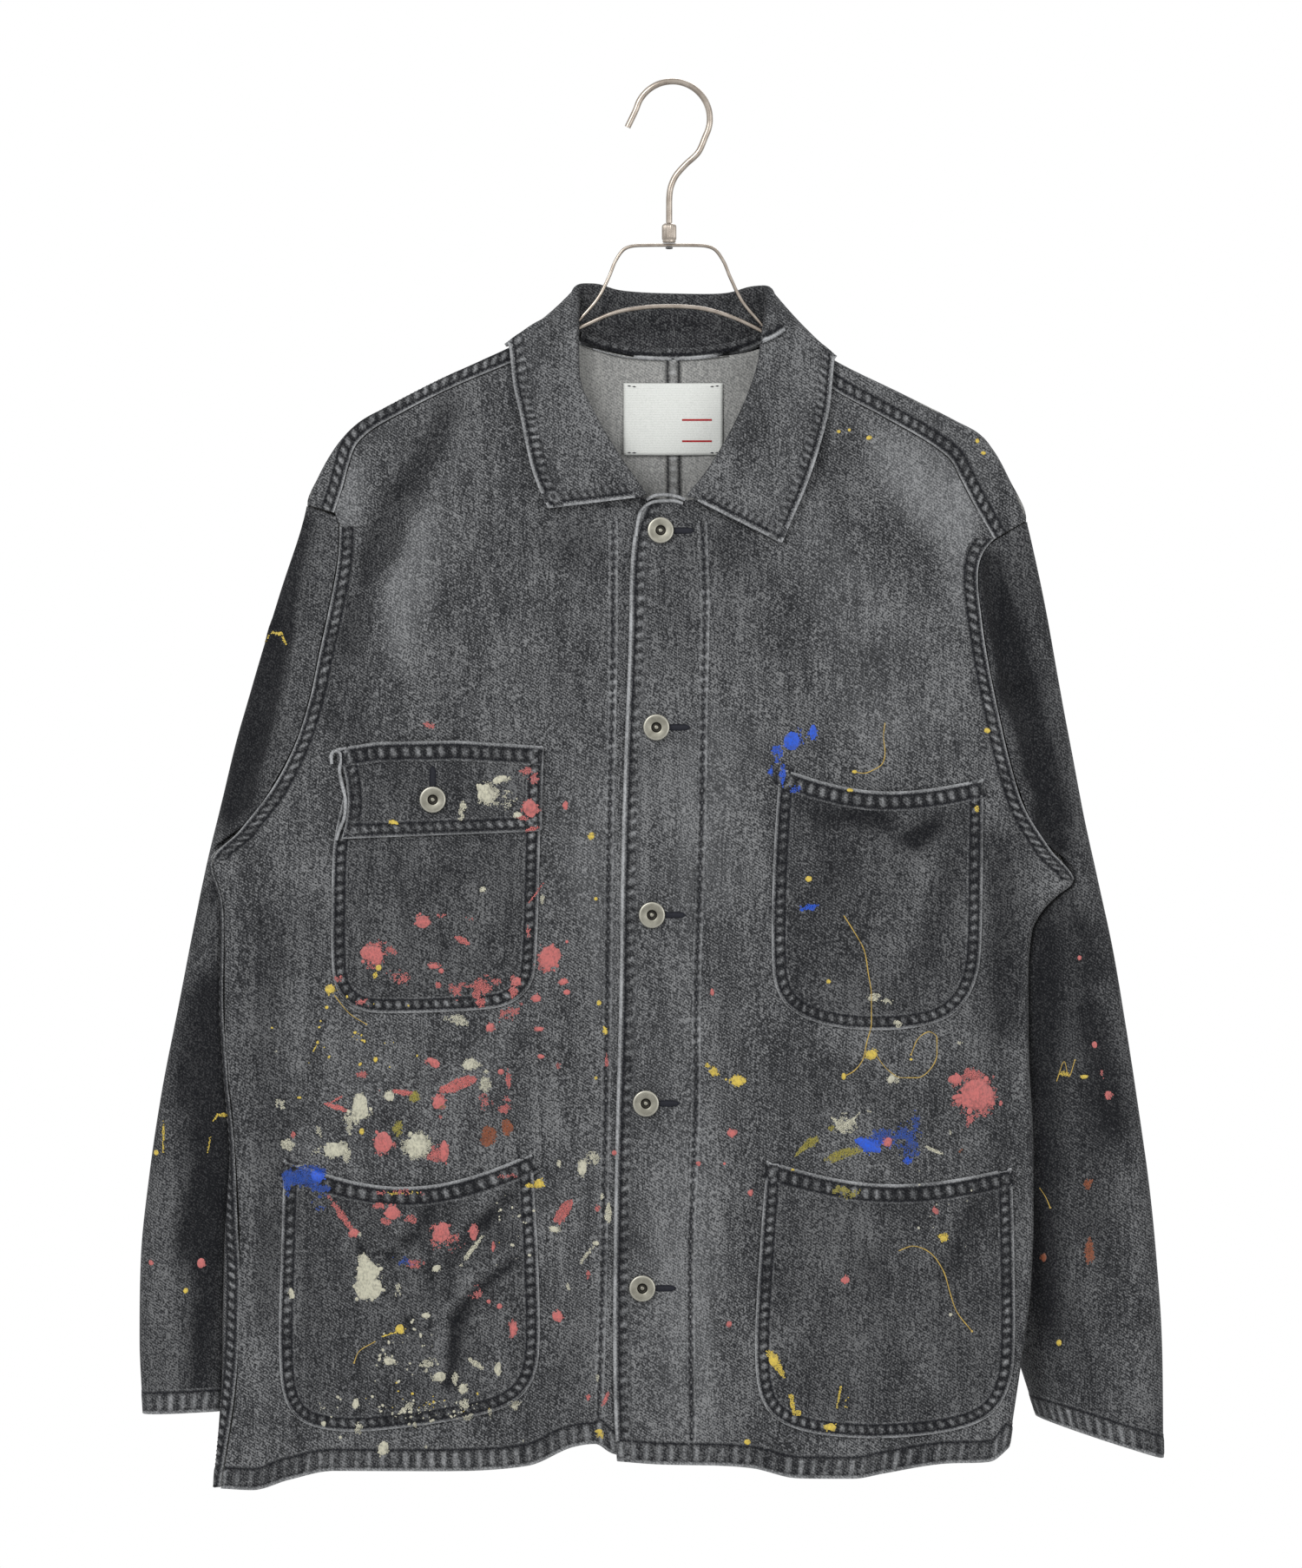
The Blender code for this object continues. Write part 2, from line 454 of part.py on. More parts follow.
TOP_LINE = Curve(swapped(RIGHT_FOLD) + swapped(LEFT_FOLD))
FRONT_HALF = Curve(FRONT_DEPTH)
BACK_HALF = Curve(BACK_DEPTH)
RIGHT_FULL = Curve(RIGHT_FULLNESS)
LEFT_FULL = Curve(LEFT_FULLNESS)
RIGHT_TIP, RIGHT_UNDERARM = RIGHT_ARMHOLE[0][0], RIGHT_ARMHOLE[-1][0]
LEFT_TIP, LEFT_UNDERARM = LEFT_ARMHOLE[0][0], LEFT_ARMHOLE[-1][0]
RIGHT_EDGE = Curve(RIGHT_ARMHOLE + RIGHT_SIDE[1:])
LEFT_EDGE = Curve(LEFT_ARMHOLE + LEFT_SIDE[1:])
RIGHT_EDGE_BACK = Curve(RIGHT_ARMHOLE_BACK + RIGHT_SIDE[1:])
LEFT_EDGE_BACK = Curve(LEFT_ARMHOLE_BACK + LEFT_SIDE[1:])


def edge_round(inside, down, tip, underarm):
    """1 where the edge is open, at the armhole, and rounding to 0 at a folded side edge."""
    open_here = np.where(down < tip, 1.0, rounded((underarm - down) / UNDERARM_CLOSES))
    return np.maximum(rounded(inside / FOLD_ROUND), open_here)


def half_depth(x, down, depth, right_edge, left_edge):
    share = np.clip((down - RIGHT_TIP) / (RIGHT_UNDERARM - RIGHT_TIP), 0.0, 1.0)
    fold = FOLD_DEPTH + ARMHOLE_GAPE * np.sin(np.pi * share)
    below = down - TOP_LINE(x)
    closing = np.minimum(
        rounded(below / FOLD_ROUND),
        np.minimum(
            edge_round(x - right_edge(down), down, RIGHT_TIP, RIGHT_UNDERARM),
            edge_round(left_edge(down) - x, down, LEFT_TIP, LEFT_UNDERARM),
        ),
    )
    from_right = swell((x - RIGHT_FULL(down)) / SIDE_EASE)
    from_left = swell((LEFT_FULL(down) - x) / SIDE_EASE)
    opening = swell(below / FALL) * from_right * from_left
    return closing * (fold + (depth(down) - fold) * opening)


def middle(x, down):
    return -SIDE_FORWARD * ease((down - SWING_TOP) / SWING_HEIGHT) * (x / HALF_CHEST) ** 2


def front_y(x, down):
    """The outer face of the front."""
    depth = half_depth(x, down, FRONT_HALF, RIGHT_EDGE, LEFT_EDGE)
    near_edge = np.clip(depth / (2 * FOLD_DEPTH), 0.0, 1.0)
    return middle(x, down) - depth + creased(FRONT_FOLDS, x, down) * near_edge


def back_y(x, down):
    """The outer face of the back."""
    depth = half_depth(x, down, BACK_HALF, RIGHT_EDGE_BACK, LEFT_EDGE_BACK)
    neck = NECK_FULLNESS * np.exp(-((x / NECK_FULL_HALF) ** 2))
    neck = neck * (1 - ease((down - NECK_FULL_TOP) / NECK_FULL_HEIGHT))
    return middle(x, down) + depth + neck


def hemmed(x, down, hem):
    """Row levels moved to the uneven hem, less and less towards the waist."""
    return down + (hem(x) - BOTTOM) * ease((down - BOTTOM + HEM_REACH) / HEM_REACH)


# ---------------------------------------------------------------- meshes


def world(x, down, y):
    return Vector((float(x) * MM, float(y) * MM, -float(down) * MM))


def finish(mesh, flip=False):
    if flip:
        bmesh.ops.reverse_faces(mesh, faces=mesh.faces[:])
    bmesh.ops.remove_doubles(mesh, verts=mesh.verts[:], dist=0.02 * MM)
    return mesh


def add_grid(mesh, points, ring=False):
    """Quads over rows of points. A ring's rows close on themselves."""
    rows = [[mesh.verts.new(world(*point)) for point in row] for row in points]
    for upper, lower in zip(rows, rows[1:]):
        width = len(upper)
        for i in range(width if ring else width - 1):
            j = (i + 1) % width
            mesh.faces.new((upper[i], lower[i], lower[j], upper[j]))


def new_object(name, mesh, material, smooth=True):
    data = bpy.data.meshes.new(name)
    mesh.to_mesh(data)
    mesh.free()
    if smooth:
        data.shade_smooth()
    data.materials.append(material)
    made = bpy.data.objects.new(name, data)
    bpy.context.scene.collection.objects.link(made)
    return made


def thicken(made, thickness, offset):
    wall = made.modifiers.new("wall", "SOLIDIFY")
    wall.thickness = thickness * MM
    wall.offset = offset
    wall.use_rim = True
    wall.use_even_offset = False
    return made


def principled(name, colour, roughness, metallic=0.0):
    material = bpy.data.materials.new(name)
    material.use_nodes = True
    shader = material.node_tree.nodes["Principled BSDF"]
    shader.inputs["Base Color"].default_value = (*colour, 1.0)
    shader.inputs["Roughness"].default_value = roughness
    shader.inputs["Metallic"].default_value = metallic
    material.diffuse_color = (*colour, 1.0)
    return material


# ---------------------------------------------------------------- rows of the body


def lengths_of(points):
    return np.concatenate([[0.0], np.cumsum(np.hypot(*np.diff(points, axis=0).T))])


def shifted(rows, out, by):
    """A downward (down, x) line moved sideways: `by` is positive towards the sleeve."""
    points = np.array(rows, float)
    heading = np.gradient(points, axis=0)
    heading = heading / np.hypot(*heading.T)[:, None]
    moved = points + by * out * np.column_stack([-heading[:, 1], heading[:, 0]])
    return tuple(map(tuple, moved))


def matched_fold(seam, fold):
    """The fold's points that lie beside the seam's points, from neck to armhole."""
    seam_share = lengths_of(np.array(seam))
    fold_share = lengths_of(np.array(fold))
    down_at = Curve(zip(fold_share / fold_share[-1], (row[0] for row in fold)))
    downs = down_at(seam_share / seam_share[-1])
    return list(zip(downs, Curve(fold)(downs)))


def armhole_levels(armhole):
    """Levels down the armhole: its top corner first, then the shared rows."""
    tip, underarm = armhole[0][0], armhole[-1][0]
    corner = [row[0] for row in armhole[:3]]
    rows = [tip + share * (underarm - tip) for share in ARMHOLE_ROWS]
    return corner + [row for row in rows if row > corner[-1] + CORNER_CLEAR]


class Side:
    """One side's tables and the levels of its rows. `out` is +1 towards +X."""

    def __init__(self, out, seam, fold, armhole, armhole_back, side, neckline, turn):
        self.out = out
        self.seam = shifted(seam, out, 0.0)
        self.front_seam = shifted(seam, out, -TURN_GAP)
        self.fold_points = matched_fold(seam, fold)
        self.armhole_rows = armhole_levels(armhole)
        self.underarm = armhole[-1][0]
        self.side_rows = self.levels_below(BOTTOM, SIDE_ROWS)
        self.edge = Curve(armhole + side[1:])
        self.edge_back = Curve(armhole_back + side[1:])
        self.neckline = Curve(neckline)
        self.turn = Curve(turn)

    def levels_below(self, last, shares):
        """Levels from just under the underarm down to the last one."""
        near = [self.underarm + step for step in UNDERARM_ROWS]
        return near + [self.underarm + share * (last - self.underarm) for share in shares]

    def inset(self, down, on_front):
        """How far below the underarm a panel stops short of the outline, or 0 where it turns round it."""
        turn = float(self.turn(down)) * (1 if on_front else -1)
        return turn + TURN_GAP if turn > 0 else 0.0

    def front_edges(self):
        """The front's outer boundary from the neck down, as (level, x)."""
        points = list(self.front_seam)
        points += [(row, float(self.edge(row))) for row in self.armhole_rows[2:-1]]
        for row in [self.underarm] + self.side_rows:
            points.append((row, float(self.edge(row)) - self.out * self.inset(row, True)))
        return points

    def back_edges(self):
        points = list(self.fold_points)
        points += [(row, float(self.edge_back(row))) for row in self.armhole_rows[1:-1]]
        for row in [self.underarm] + self.side_rows:
            points.append((row, float(self.edge_back(row)) - self.out * self.inset(row, False)))
        return points


RIGHT = Side(
    -1, RIGHT_SEAM, RIGHT_FOLD, RIGHT_ARMHOLE, RIGHT_ARMHOLE_BACK, RIGHT_SIDE, RIGHT_NECKLINE, RIGHT_TURN
)
LEFT = Side(1, LEFT_SEAM, LEFT_FOLD, LEFT_ARMHOLE, LEFT_ARMHOLE_BACK, LEFT_SIDE, LEFT_NECKLINE, LEFT_TURN)
FREE_EDGE = Curve(FRONT_EDGE)


def right_columns(outer_x, level):
    """The right front's columns, ending at the neckline or under the left front."""
    if level < FRONT_TOP - 1:
        neck_x = float(RIGHT.neckline(level))
        squeeze = min(1.0, NECK_TAIL_SHARE * (neck_x - outer_x) / -NECK_TAIL[0])
        tail = neck_x + squeeze * np.array(NECK_TAIL)
    else:
        tail = float(FREE_EDGE(level)) + np.array(UNDERLAP)
    span = outer_x + (tail[0] - outer_x) * np.array(PANEL_COLUMNS[:-1])
    return np.concatenate([span, tail])


def left_columns(outer_x, level):
    inner_x = LEFT.neckline(level) if level < FRONT_TOP - 1 else FREE_EDGE(level)
    return outer_x + (float(inner_x) - outer_x) * np.array(PANEL_COLUMNS)


def sunk(x, level):
    """How far the right front's columns lie back, to pass under the left front."""
    under = np.zeros(len(x))
    under[1 - len(UNDERLAP):] = LAYER * (level > FRONT_TOP - LOWERED_FROM)
    return under


def on_top(x, level):
    return np.zeros(len(x))


def front_surface(side, columns_of, hem, lowered):
    """Rows of points on a front's outer face, with the columns that pass under the other pushed back."""
    edges = side.front_edges()
    edge_x = Curve(edges)
    levels = sorted([level for level, _ in edges] + [FRONT_TOP - 3.0, FRONT_TOP])
    levels = [a for a, b in zip(levels, levels[1:] + [np.inf]) if b - a > LEAST_ROW]
    rows = []
    for level in levels:
        x = columns_of(float(edge_x(level)), level)
        y = front_y(x, level) + lowered(x, level)
        rows.append(list(zip(x, hemmed(x, level, hem), y)))
    return rows


def strip(side, edge, hem, face):
    """A panel's turn round the side edge, from the outline to the side seam."""
    rows = []
    for down in [side.underarm] + side.side_rows:
        reach = abs(float(side.turn(down)))
        x = float(edge(down)) - side.out * reach * np.array(STRIP_COLUMNS)
        rows.append(list(zip(x, hemmed(x, down, hem), face(x, down))))
    return rows


def panel_mesh(surface):
    """A front's own faces. Its pockets are cut from the same triangles, so they lie parallel."""
    mesh = bmesh.new()
    add_grid(mesh, surface)
    bmesh.ops.triangulate(mesh, faces=mesh.faces[:])
    return mesh


def build_front(name, side, surface, hem, material):
    mesh = panel_mesh(surface)
    if side.turn(side.underarm) < 0:
        add_grid(mesh, [row[::-1] for row in strip(side, side.edge, Curve(hem), back_y)])
    finish(mesh, flip=side.out > 0)
    return thicken(new_object(name, mesh, material), CLOTH, -1)


def back_main(side, centre, hem, dip):
    """Rows of points on a back's outer face, from the fold or armhole to the centre seam."""
    top = side.fold_points[0][0]
    rows = []
    for i, (down, edge_x) in enumerate(side.back_edges()):
        x = edge_x + (centre - edge_x) * np.array(PANEL_COLUMNS)
        level = down + dip(x) * (1 - ease((down - top) / BACK_NECK_REACH))
        y = back_y(x, level)
        if i < len(side.fold_points):
            y[0] = middle(x[0], down)
        rows.append(list(zip(x, hemmed(x, level, hem), y)))
    return rows


def shoulder_strip(side):
    """The back's turn on to the front, from the shoulder's fold to its seam."""
    share = np.array(STRIP_COLUMNS)
    rows = []
    for (seam_down, seam_x), (fold_down, fold_x) in zip(side.seam, side.fold_points):
        x = fold_x + (seam_x - fold_x) * share
        down = fold_down + (seam_down - fold_down) * share
        y = front_y(x, down)
        y[0] = middle(fold_x, fold_down)
        rows.append(list(zip(x, down, y)))
    return rows


def build_back(name, side, centre, material):
    mesh = bmesh.new()
    hem = Curve(HEM_BACK)
    add_grid(mesh, [row[::-1] for row in back_main(side, centre, hem, Curve(BACK_NECK_DIP))])
    add_grid(mesh, shoulder_strip(side))
    if side.turn(side.underarm) > 0:
        add_grid(mesh, strip(side, side.edge_back, hem, front_y))
    finish(mesh, flip=side.out > 0)
    return thicken(new_object(name, mesh, material), CLOTH, -1)


# ---------------------------------------------------------------- sleeves


def bulge(share):
    """The half ellipse between two folds."""
    return np.sqrt(np.clip(1 - (2 * share - 1) ** 2, 0.0, 1.0))


def behind(side, x, down):
    """The nearest that a sleeve's front layer comes to the body's back."""
    outside = np.maximum(side.out * (x - side.edge_back(down)), 0.0)
    return back_y(x, down) + BEHIND - BEHIND_FADES * outside


def sleeve_seam(side, edge, level, face):
    """A point on the armhole, moved clear of the body."""
    rows = [(row, float(edge(row))) for row in side.armhole_rows]
    moved = shifted(rows, side.out, TURN_GAP)
    down = float(Curve([(a[0], b[0]) for a, b in zip(rows, moved)])(level))
    x = float(Curve([(a[0], b[1]) for a, b in zip(rows, moved)])(level))
    return np.array((x, down, float(face(np.array(float(edge(level))), level))))


class SleeveRow:
    """One section of a sleeve: over the front, round the back, and in behind the body."""

    def __init__(self, side, at, level, folds):
        row = {name: float(values(level)) for name, values in at.items()}
        self.side, self.folds, self.deep = side, folds, row["deep"]
        self.outer = np.array((row["outer_x"], row["outer_down"], row["outer_y"]))
        self.fold = np.array((row["fold_x"], row["fold_down"], row["fold_y"]))
        self.closed = level > side.underarm - 1e-6
        self.at_underarm = self.closed and level < side.underarm + 1e-6
        self.start = sleeve_seam(side, side.edge, min(level, side.underarm), front_y)
        self.end = sleeve_seam(side, side.edge_back, min(level, side.underarm), back_y)
        self.tucked = self.closed or level > side.armhole_rows[0] + TUCK_STARTS
        if not self.tucked:
            self.fold = self.end

    def edge_shares(self):
        """Where the columns beside the body's edge lie between the outer fold and the inner one."""
        down = self.outer[1]
        for _ in range(3):
            share = (self.outer[0] - self.side.edge_back(down)) / (self.outer[0] - self.fold[0])
            down = self.outer[1] + np.clip(share, 0.0, 1.0) * (self.fold[1] - self.outer[1])
        wide = abs(self.outer[0] - self.fold[0])
        return np.clip(float(share) - np.array(SLEEVE_EDGE) / wide, EDGE_LOWEST, EDGE_HIGHEST)

    def layer(self, share):
        """The front layer, which keeps behind the body."""
        points = self.outer + np.outer(share, self.fold - self.outer)
        points[:, 2] -= self.deep * bulge(share)
        points[:, 2] += creased(self.folds, points[:, 0], points[:, 1]) * bulge(share)
        points[:, 2] = np.maximum(points[:, 2], behind(self.side, points[:, 0], points[:, 1]))
        return points

    def front(self):
        share = np.array(SLEEVE_FRONT)
        if self.closed:
            points = self.layer(self.edge_shares()[-1] * (1 - share))
            if self.at_underarm:
                points[0] = self.start + np.array((self.side.out * 0.5, 0.5, 0.0))
            return points
        points = self.start + np.outer(share, self.outer - self.start)
        points[:, 2] = self.outer[2] + (self.start[2] - self.outer[2]) * np.sqrt(1 - share**2)
        faded = ease(share / FOLDS_FADE_IN) * (1 - share**2)
        points[:, 2] += creased(self.folds, points[:, 0], points[:, 1]) * faded
        return points

    def back(self):
        share = np.array(SLEEVE_BACK)
        points = self.outer + np.outer(share, self.fold - self.outer)
        points[:, 2] += self.deep * (bulge(share) if self.tucked else np.sin(np.pi * share**BACK_SKEW))
        return points

    def inner(self, first):
        """From the inner fold back to the seam, which a closed section shares with its first point."""
        last = first if self.closed else self.end
        if not self.tucked:
            return np.tile(last, (len(SLEEVE_INNER) + len(SLEEVE_EDGE), 1))
        edges = self.edge_shares()[:-1]
        run = np.array(SLEEVE_INNER)
        shares = np.concatenate([1 + (edges[0] - 1) * run, edges])
        return np.vstack([self.layer(shares), last])

    def points(self):
        front = self.front()
        return np.vstack([front, self.back(), self.inner(front[0])])


def build_sleeve(name, side, table, folds, material):
    section = columns(SLEEVE_COLUMNS, table)
    at = {name: Curve(zip(section["level"], values)) for name, values in section.items()}
    levels = side.armhole_rows + side.levels_below(float(section["level"][-1]), SLEEVE_ROWS)
    rows = [SleeveRow(side, at, level, folds).points() for level in levels]
    rows[0][:] = rows[0][0]
    mesh = bmesh.new()
    add_grid(mesh, rows)
    finish(mesh, flip=side.out < 0)
    return thicken(new_object(name, mesh, material), CLOTH, -1)


# ---------------------------------------------------------------- collar


def collar_section(row):
    neck = np.array((row["neck_x"], row["neck_down"], row["neck_y"]))
    roll = np.array((row["roll_x"], row["roll_down"], row["roll_y"]))
    leaf = np.array((row["leaf_x"], row["leaf_down"], row["leaf_y"]))
    heading = math.radians(row["out"])
    out = np.array((-math.sin(heading), 0.0, -math.cos(heading)))
    back = neck - roll
    back = back - out * back.dot(out)
    back = back / np.linalg.norm(back)
    centre = roll + back * ROLL_ROUND
    points = [neck, neck + (centre - out * ROLL_ROUND - neck) * 0.5]
    for step in ROLL_STEPS:
        turn = math.radians(step)
        points.append(centre + ROLL_ROUND * (out * math.sin(turn) - back * math.cos(turn)))
    start = points[-1]
    for share in LEAF_STEPS:
        point = start + (leaf - start) * share
        lift = LEAF_LIFT + LEAF_RISE * (1 - share)
        if out[2] < -FACING:
            point[2] = min(point[2], float(front_y(point[0], point[1])) - lift)
        if out[2] > FACING:
            point[2] = max(point[2], float(back_y(point[0], point[1])) + lift)
        if abs(out[2]) < SIDEWAYS and abs(point[0]) > NECK_POINT:
            point[1] = min(point[1], float(TOP_LINE(point[0])) - lift)
        points.append(point)
    return points


def build_collar(material):
    mesh = bmesh.new()
    sections = [collar_section(dict(zip(COLLAR_COLUMNS, row))) for row in COLLAR]
    add_grid(mesh, sections)
    finish(mesh)
    return thicken(new_object("collar", mesh, material), COLLAR_CLOTH, 0)


# ---------------------------------------------------------------- what lies on the fronts


def cut_away(mesh, first, second):
    """Removes what lies to the left of the line from first to second, seen from the front."""
    start = world(first[0], first[1], 0)
    along = world(second[0], second[1], 0) - start
    outward = Vector((-along.z, 0.0, along.x))
    everything = mesh.verts[:] + mesh.edges[:] + mesh.faces[:]
    bmesh.ops.bisect_plane(
        mesh, geom=everything, plane_co=start, plane_no=outward, clear_outer=True, dist=1e-7
    )


def build_pocket(name, surfaces, panel, corners, mouth, layers, material):
    """A patch cut from the front's own faces and moved out."""
    mesh = panel_mesh(surfaces[panel])
    for first, second in zip(corners, corners[1:] + corners[:1]):
        cut_away(mesh, first, second)
    bmesh.ops.triangulate(mesh, faces=mesh.faces[:])
    left_x = min(corner[0] for corner in corners)
    right_x = max(corner[0] for corner in corners)
    top = min(corner[1] for corner in corners)
    sag_by = mouth[1] - (mouth[0] + mouth[2]) / 2
    for vertex in mesh.verts:
        across = (vertex.co.x / MM - left_x) / (right_x - left_x)
        near = float(1 - ease((-vertex.co.z / MM - top) / SAG_HEIGHT))
        if sag_by > SAG_LEAST:
            vertex.co.z -= sag_by * math.sin(math.pi * across) * near * MM
            vertex.co.y -= SAG_STANDS * math.sin(math.pi * across) * near * MM
    mesh.normal_update()
    if sum(face.normal.y for face in mesh.faces) > 0:
        bmesh.ops.reverse_faces(mesh, faces=mesh.faces[:])
        mesh.normal_update()
    for vertex in mesh.verts:
        vertex.co += vertex.normal * LAYER * layers * MM
    return thicken(new_object(name, mesh, material), CLOTH, -1)


def turned(name, profile, wide, thick, segments, material):
    """A solid of revolution about its own Z axis, from shares of its half width and thickness."""
    mesh = bmesh.new()
    rings = []
    for radius, height in profile:
        spot = (radius * wide / 2 * MM, height * thick * MM)
        if radius == 0.0:
            rings.append([mesh.verts.new((0.0, 0.0, spot[1]))])
            continue
        turns = [2 * math.pi * i / segments for i in range(segments)]
        rings.append(
            [mesh.verts.new((spot[0] * math.cos(a), spot[0] * math.sin(a), spot[1])) for a in turns]
        )
    for lower, upper in zip(rings, rings[1:]):
        for i in range(segments):
            j = (i + 1) % segments
            if len(lower) == 1:
                mesh.faces.new((lower[0], upper[j], upper[i]))
            elif len(upper) == 1:
                mesh.faces.new((lower[i], lower[j], upper[0]))
            else:
                mesh.faces.new((lower[i], lower[j], upper[j], upper[i]))
    return new_object(name, mesh, material)


def build_button(name, x, down, lift, material):
    made = turned(name, BUTTON_PROFILE, BUTTON_WIDE, BUTTON_THICK, ROUND_SIDES, material)
    step = SLOPE_STEP
    y = float(front_y(x, down)) - lift
    slope_x = float(front_y(x + step, down) - front_y(x - step, down)) / (2 * step)
    slope_down = float(front_y(x, down + step) - front_y(x, down - step)) / (2 * step)
    outward = Vector((slope_x, -1.0, -slope_down)).normalized()
    made.rotation_mode = "QUATERNION"
    made.rotation_quaternion = outward.to_track_quat("Z", "Y")
    made.location = world(x, down, y)
    return made


def build_label(material):
    mesh = bmesh.new()
    inside = CLOTH + LABEL_CLEAR + LABEL_CLOTH
    rows = []
    for down in np.linspace(LABEL["top"], LABEL["bottom"], LABEL_ROWS):
        x = np.linspace(LABEL["left"], LABEL["right"], LABEL_COLUMNS)
        rows.append(list(zip(x, np.full(len(x), down), back_y(x, down) - inside)))
    add_grid(mesh, rows)
    finish(mesh)
    return thicken(new_object("neck_label", mesh, material), LABEL_CLOTH, -1)


# ---------------------------------------------------------------- hanger


def wire(name, points, diameter, material, sides=4):
    """A round wire along a smooth line through these (x, down) points, in the plane y = 0."""
    spots = np.array(points, float)
    lengths = np.concatenate([[0.0], np.cumsum(np.linalg.norm(np.diff(spots, axis=0), axis=1))])
    across, down = Curve(zip(lengths, spots[:, 0])), Curve(zip(lengths, spots[:, 1]))
    steps = np.linspace(0, lengths[-1], int(lengths[-1] / (WIRE_STEP * diameter)) + 1)
    data = bpy.data.curves.new(name, "CURVE")
    data.dimensions = "3D"
    data.bevel_depth = diameter / 2 * MM
    data.bevel_resolution = sides - 2
    data.use_fill_caps = True
    spline = data.splines.new("POLY")
    spline.points.add(len(steps) - 1)
    for point, step in zip(spline.points, steps):
        point.co = (*world(across(step), down(step), 0.0), 1.0)
    data.materials.append(material)
    made = bpy.data.objects.new(name, data)
    bpy.context.scene.collection.objects.link(made)
    return made


def hook_points():
    """The free end, the circle whose crown's underside is the origin, and the neck."""
    centre_down = HOOK_RADIUS - HOOK_WIRE / 2
    turns = np.radians(np.linspace(HOOK_FROM, HOOK_TO, HOOK_STEPS))
    circle = [(HOOK_RADIUS * math.cos(a), centre_down - HOOK_RADIUS * math.sin(a)) for a in turns]
    return [HOOK_TIP] + circle + list(HOOK_NECK)


def arm_points():
    """The shoulder wire: just under each shoulder's fold, and arching across the neck."""
    inside = CLOTH + ARM_CLEAR + ARM_WIRE / 2
    points = []
    for side, limit in ((RIGHT, ARM_END_RIGHT), (LEFT, ARM_END_LEFT)):
        folds = [(x, down) for down, x in side.fold_points if abs(x) > ARM_STARTS]
        run = []
        for (x0, d0), (x1, d1) in zip(folds, folds[1:]):
            along = np.array((x1 - x0, d1 - d0)) / math.hypot(x1 - x0, d1 - d0)
            normal = np.array((-along[1], along[0])) * (1 if side.out > 0 else -1)
            spot = np.array((x0, d0)) + normal * inside
            if abs(spot[0]) < abs(limit):
                run.append(tuple(spot))
        points.append(run)
    right, left = points
    return right[::-1] + list(ARCH_ROUTE) + left


def build_hanger(steel, dark):
    wire("hanger_hook", hook_points(), HOOK_WIRE, steel, 5)
    wire("hanger_frame", FRAME_ROUTE, FRAME_WIRE, steel)
    wire("hanger_arms", arm_points(), ARM_WIRE, steel)
    high = FERRULE_BOTTOM - FERRULE_TOP
    ferrule = turned("hanger_ferrule", FERRULE_PROFILE, FERRULE_WIDE, high, ROUND_SIDES, steel)
    ferrule.location = world(STEM_X, FERRULE_BOTTOM, 0)
    rivet = turned("hanger_rivet", RIVET_PROFILE, RIVET_WIDE, RIVET_HIGH, ROUND_SIDES, dark)
    rivet.location = world(STEM_X, BAR_DOWN + FRAME_WIRE / 2 + GAP + RIVET_HIGH, 0)


# ---------------------------------------------------------------- the whole part


def main():
    for old in list(bpy.data.objects):
        bpy.data.objects.remove(old, do_unlink=True)
    denim = principled("denim", (0.085, 0.09, 0.098), 0.9)
    collar_denim = principled("collar_denim", (0.095, 0.1, 0.105), 0.9)
    pewter = principled("pewter", (0.33, 0.32, 0.28), 0.35, 1.0)
    nickel = principled("satin_nickel", (0.46, 0.41, 0.36), 0.3, 1.0)
    dark_steel = principled("dark_steel", (0.03, 0.03, 0.03), 0.5, 1.0)
    woven = principled("label_cloth", (0.74, 0.77, 0.74), 0.75)

    surfaces = {
        "front_right": front_surface(RIGHT, right_columns, Curve(HEM_RIGHT), sunk),
        "front_left": front_surface(LEFT, left_columns, Curve(HEM_LEFT), on_top),
    }
    build_front("front_right", RIGHT, surfaces["front_right"], HEM_RIGHT, denim)
    build_front("front_left", LEFT, surfaces["front_left"], HEM_LEFT, denim)
    build_back("back_right", RIGHT, CENTRE_BACK_X - GAP / 2, denim)
    build_back("back_left", LEFT, CENTRE_BACK_X + GAP / 2, denim)
    build_sleeve("sleeve_right", RIGHT, SLEEVE_RIGHT, SLEEVE_FOLDS_RIGHT, denim)
    build_sleeve("sleeve_left", LEFT, SLEEVE_LEFT, SLEEVE_FOLDS_LEFT, denim)
    build_collar(collar_denim)
    for name, pocket in POCKETS.items():
        build_pocket(
            name, surfaces, pocket["panel"], pocket["corners"], pocket["mouth"], pocket["layers"], denim
        )
    for name, x, down in BUTTONS:
        lift = FLAP_BUTTON_LIFT if name == "button_flap" else BUTTON_LIFT
        build_button(name, x, down, lift, pewter)
    build_label(woven)
    build_hanger(nickel, dark_steel)


main()
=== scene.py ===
"""The looks of a paint-spattered denim work jacket on its wire hanger.

The frame is in metres with +Z up, the origin under the hook's crown, and the jacket's front
facing -Y. As in part.py, shapes are worked out in millimetres in three directions: x across, down
from the origin, and y from the front (negative) to the back. The tables of the cut, the collar,
the pockets and the hanger repeat part.py's, so that each fine cloth lies on its CAD solid.
"""

import math

import bpy
import numpy as np
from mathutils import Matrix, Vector
from mathutils.bvhtree import BVHTree


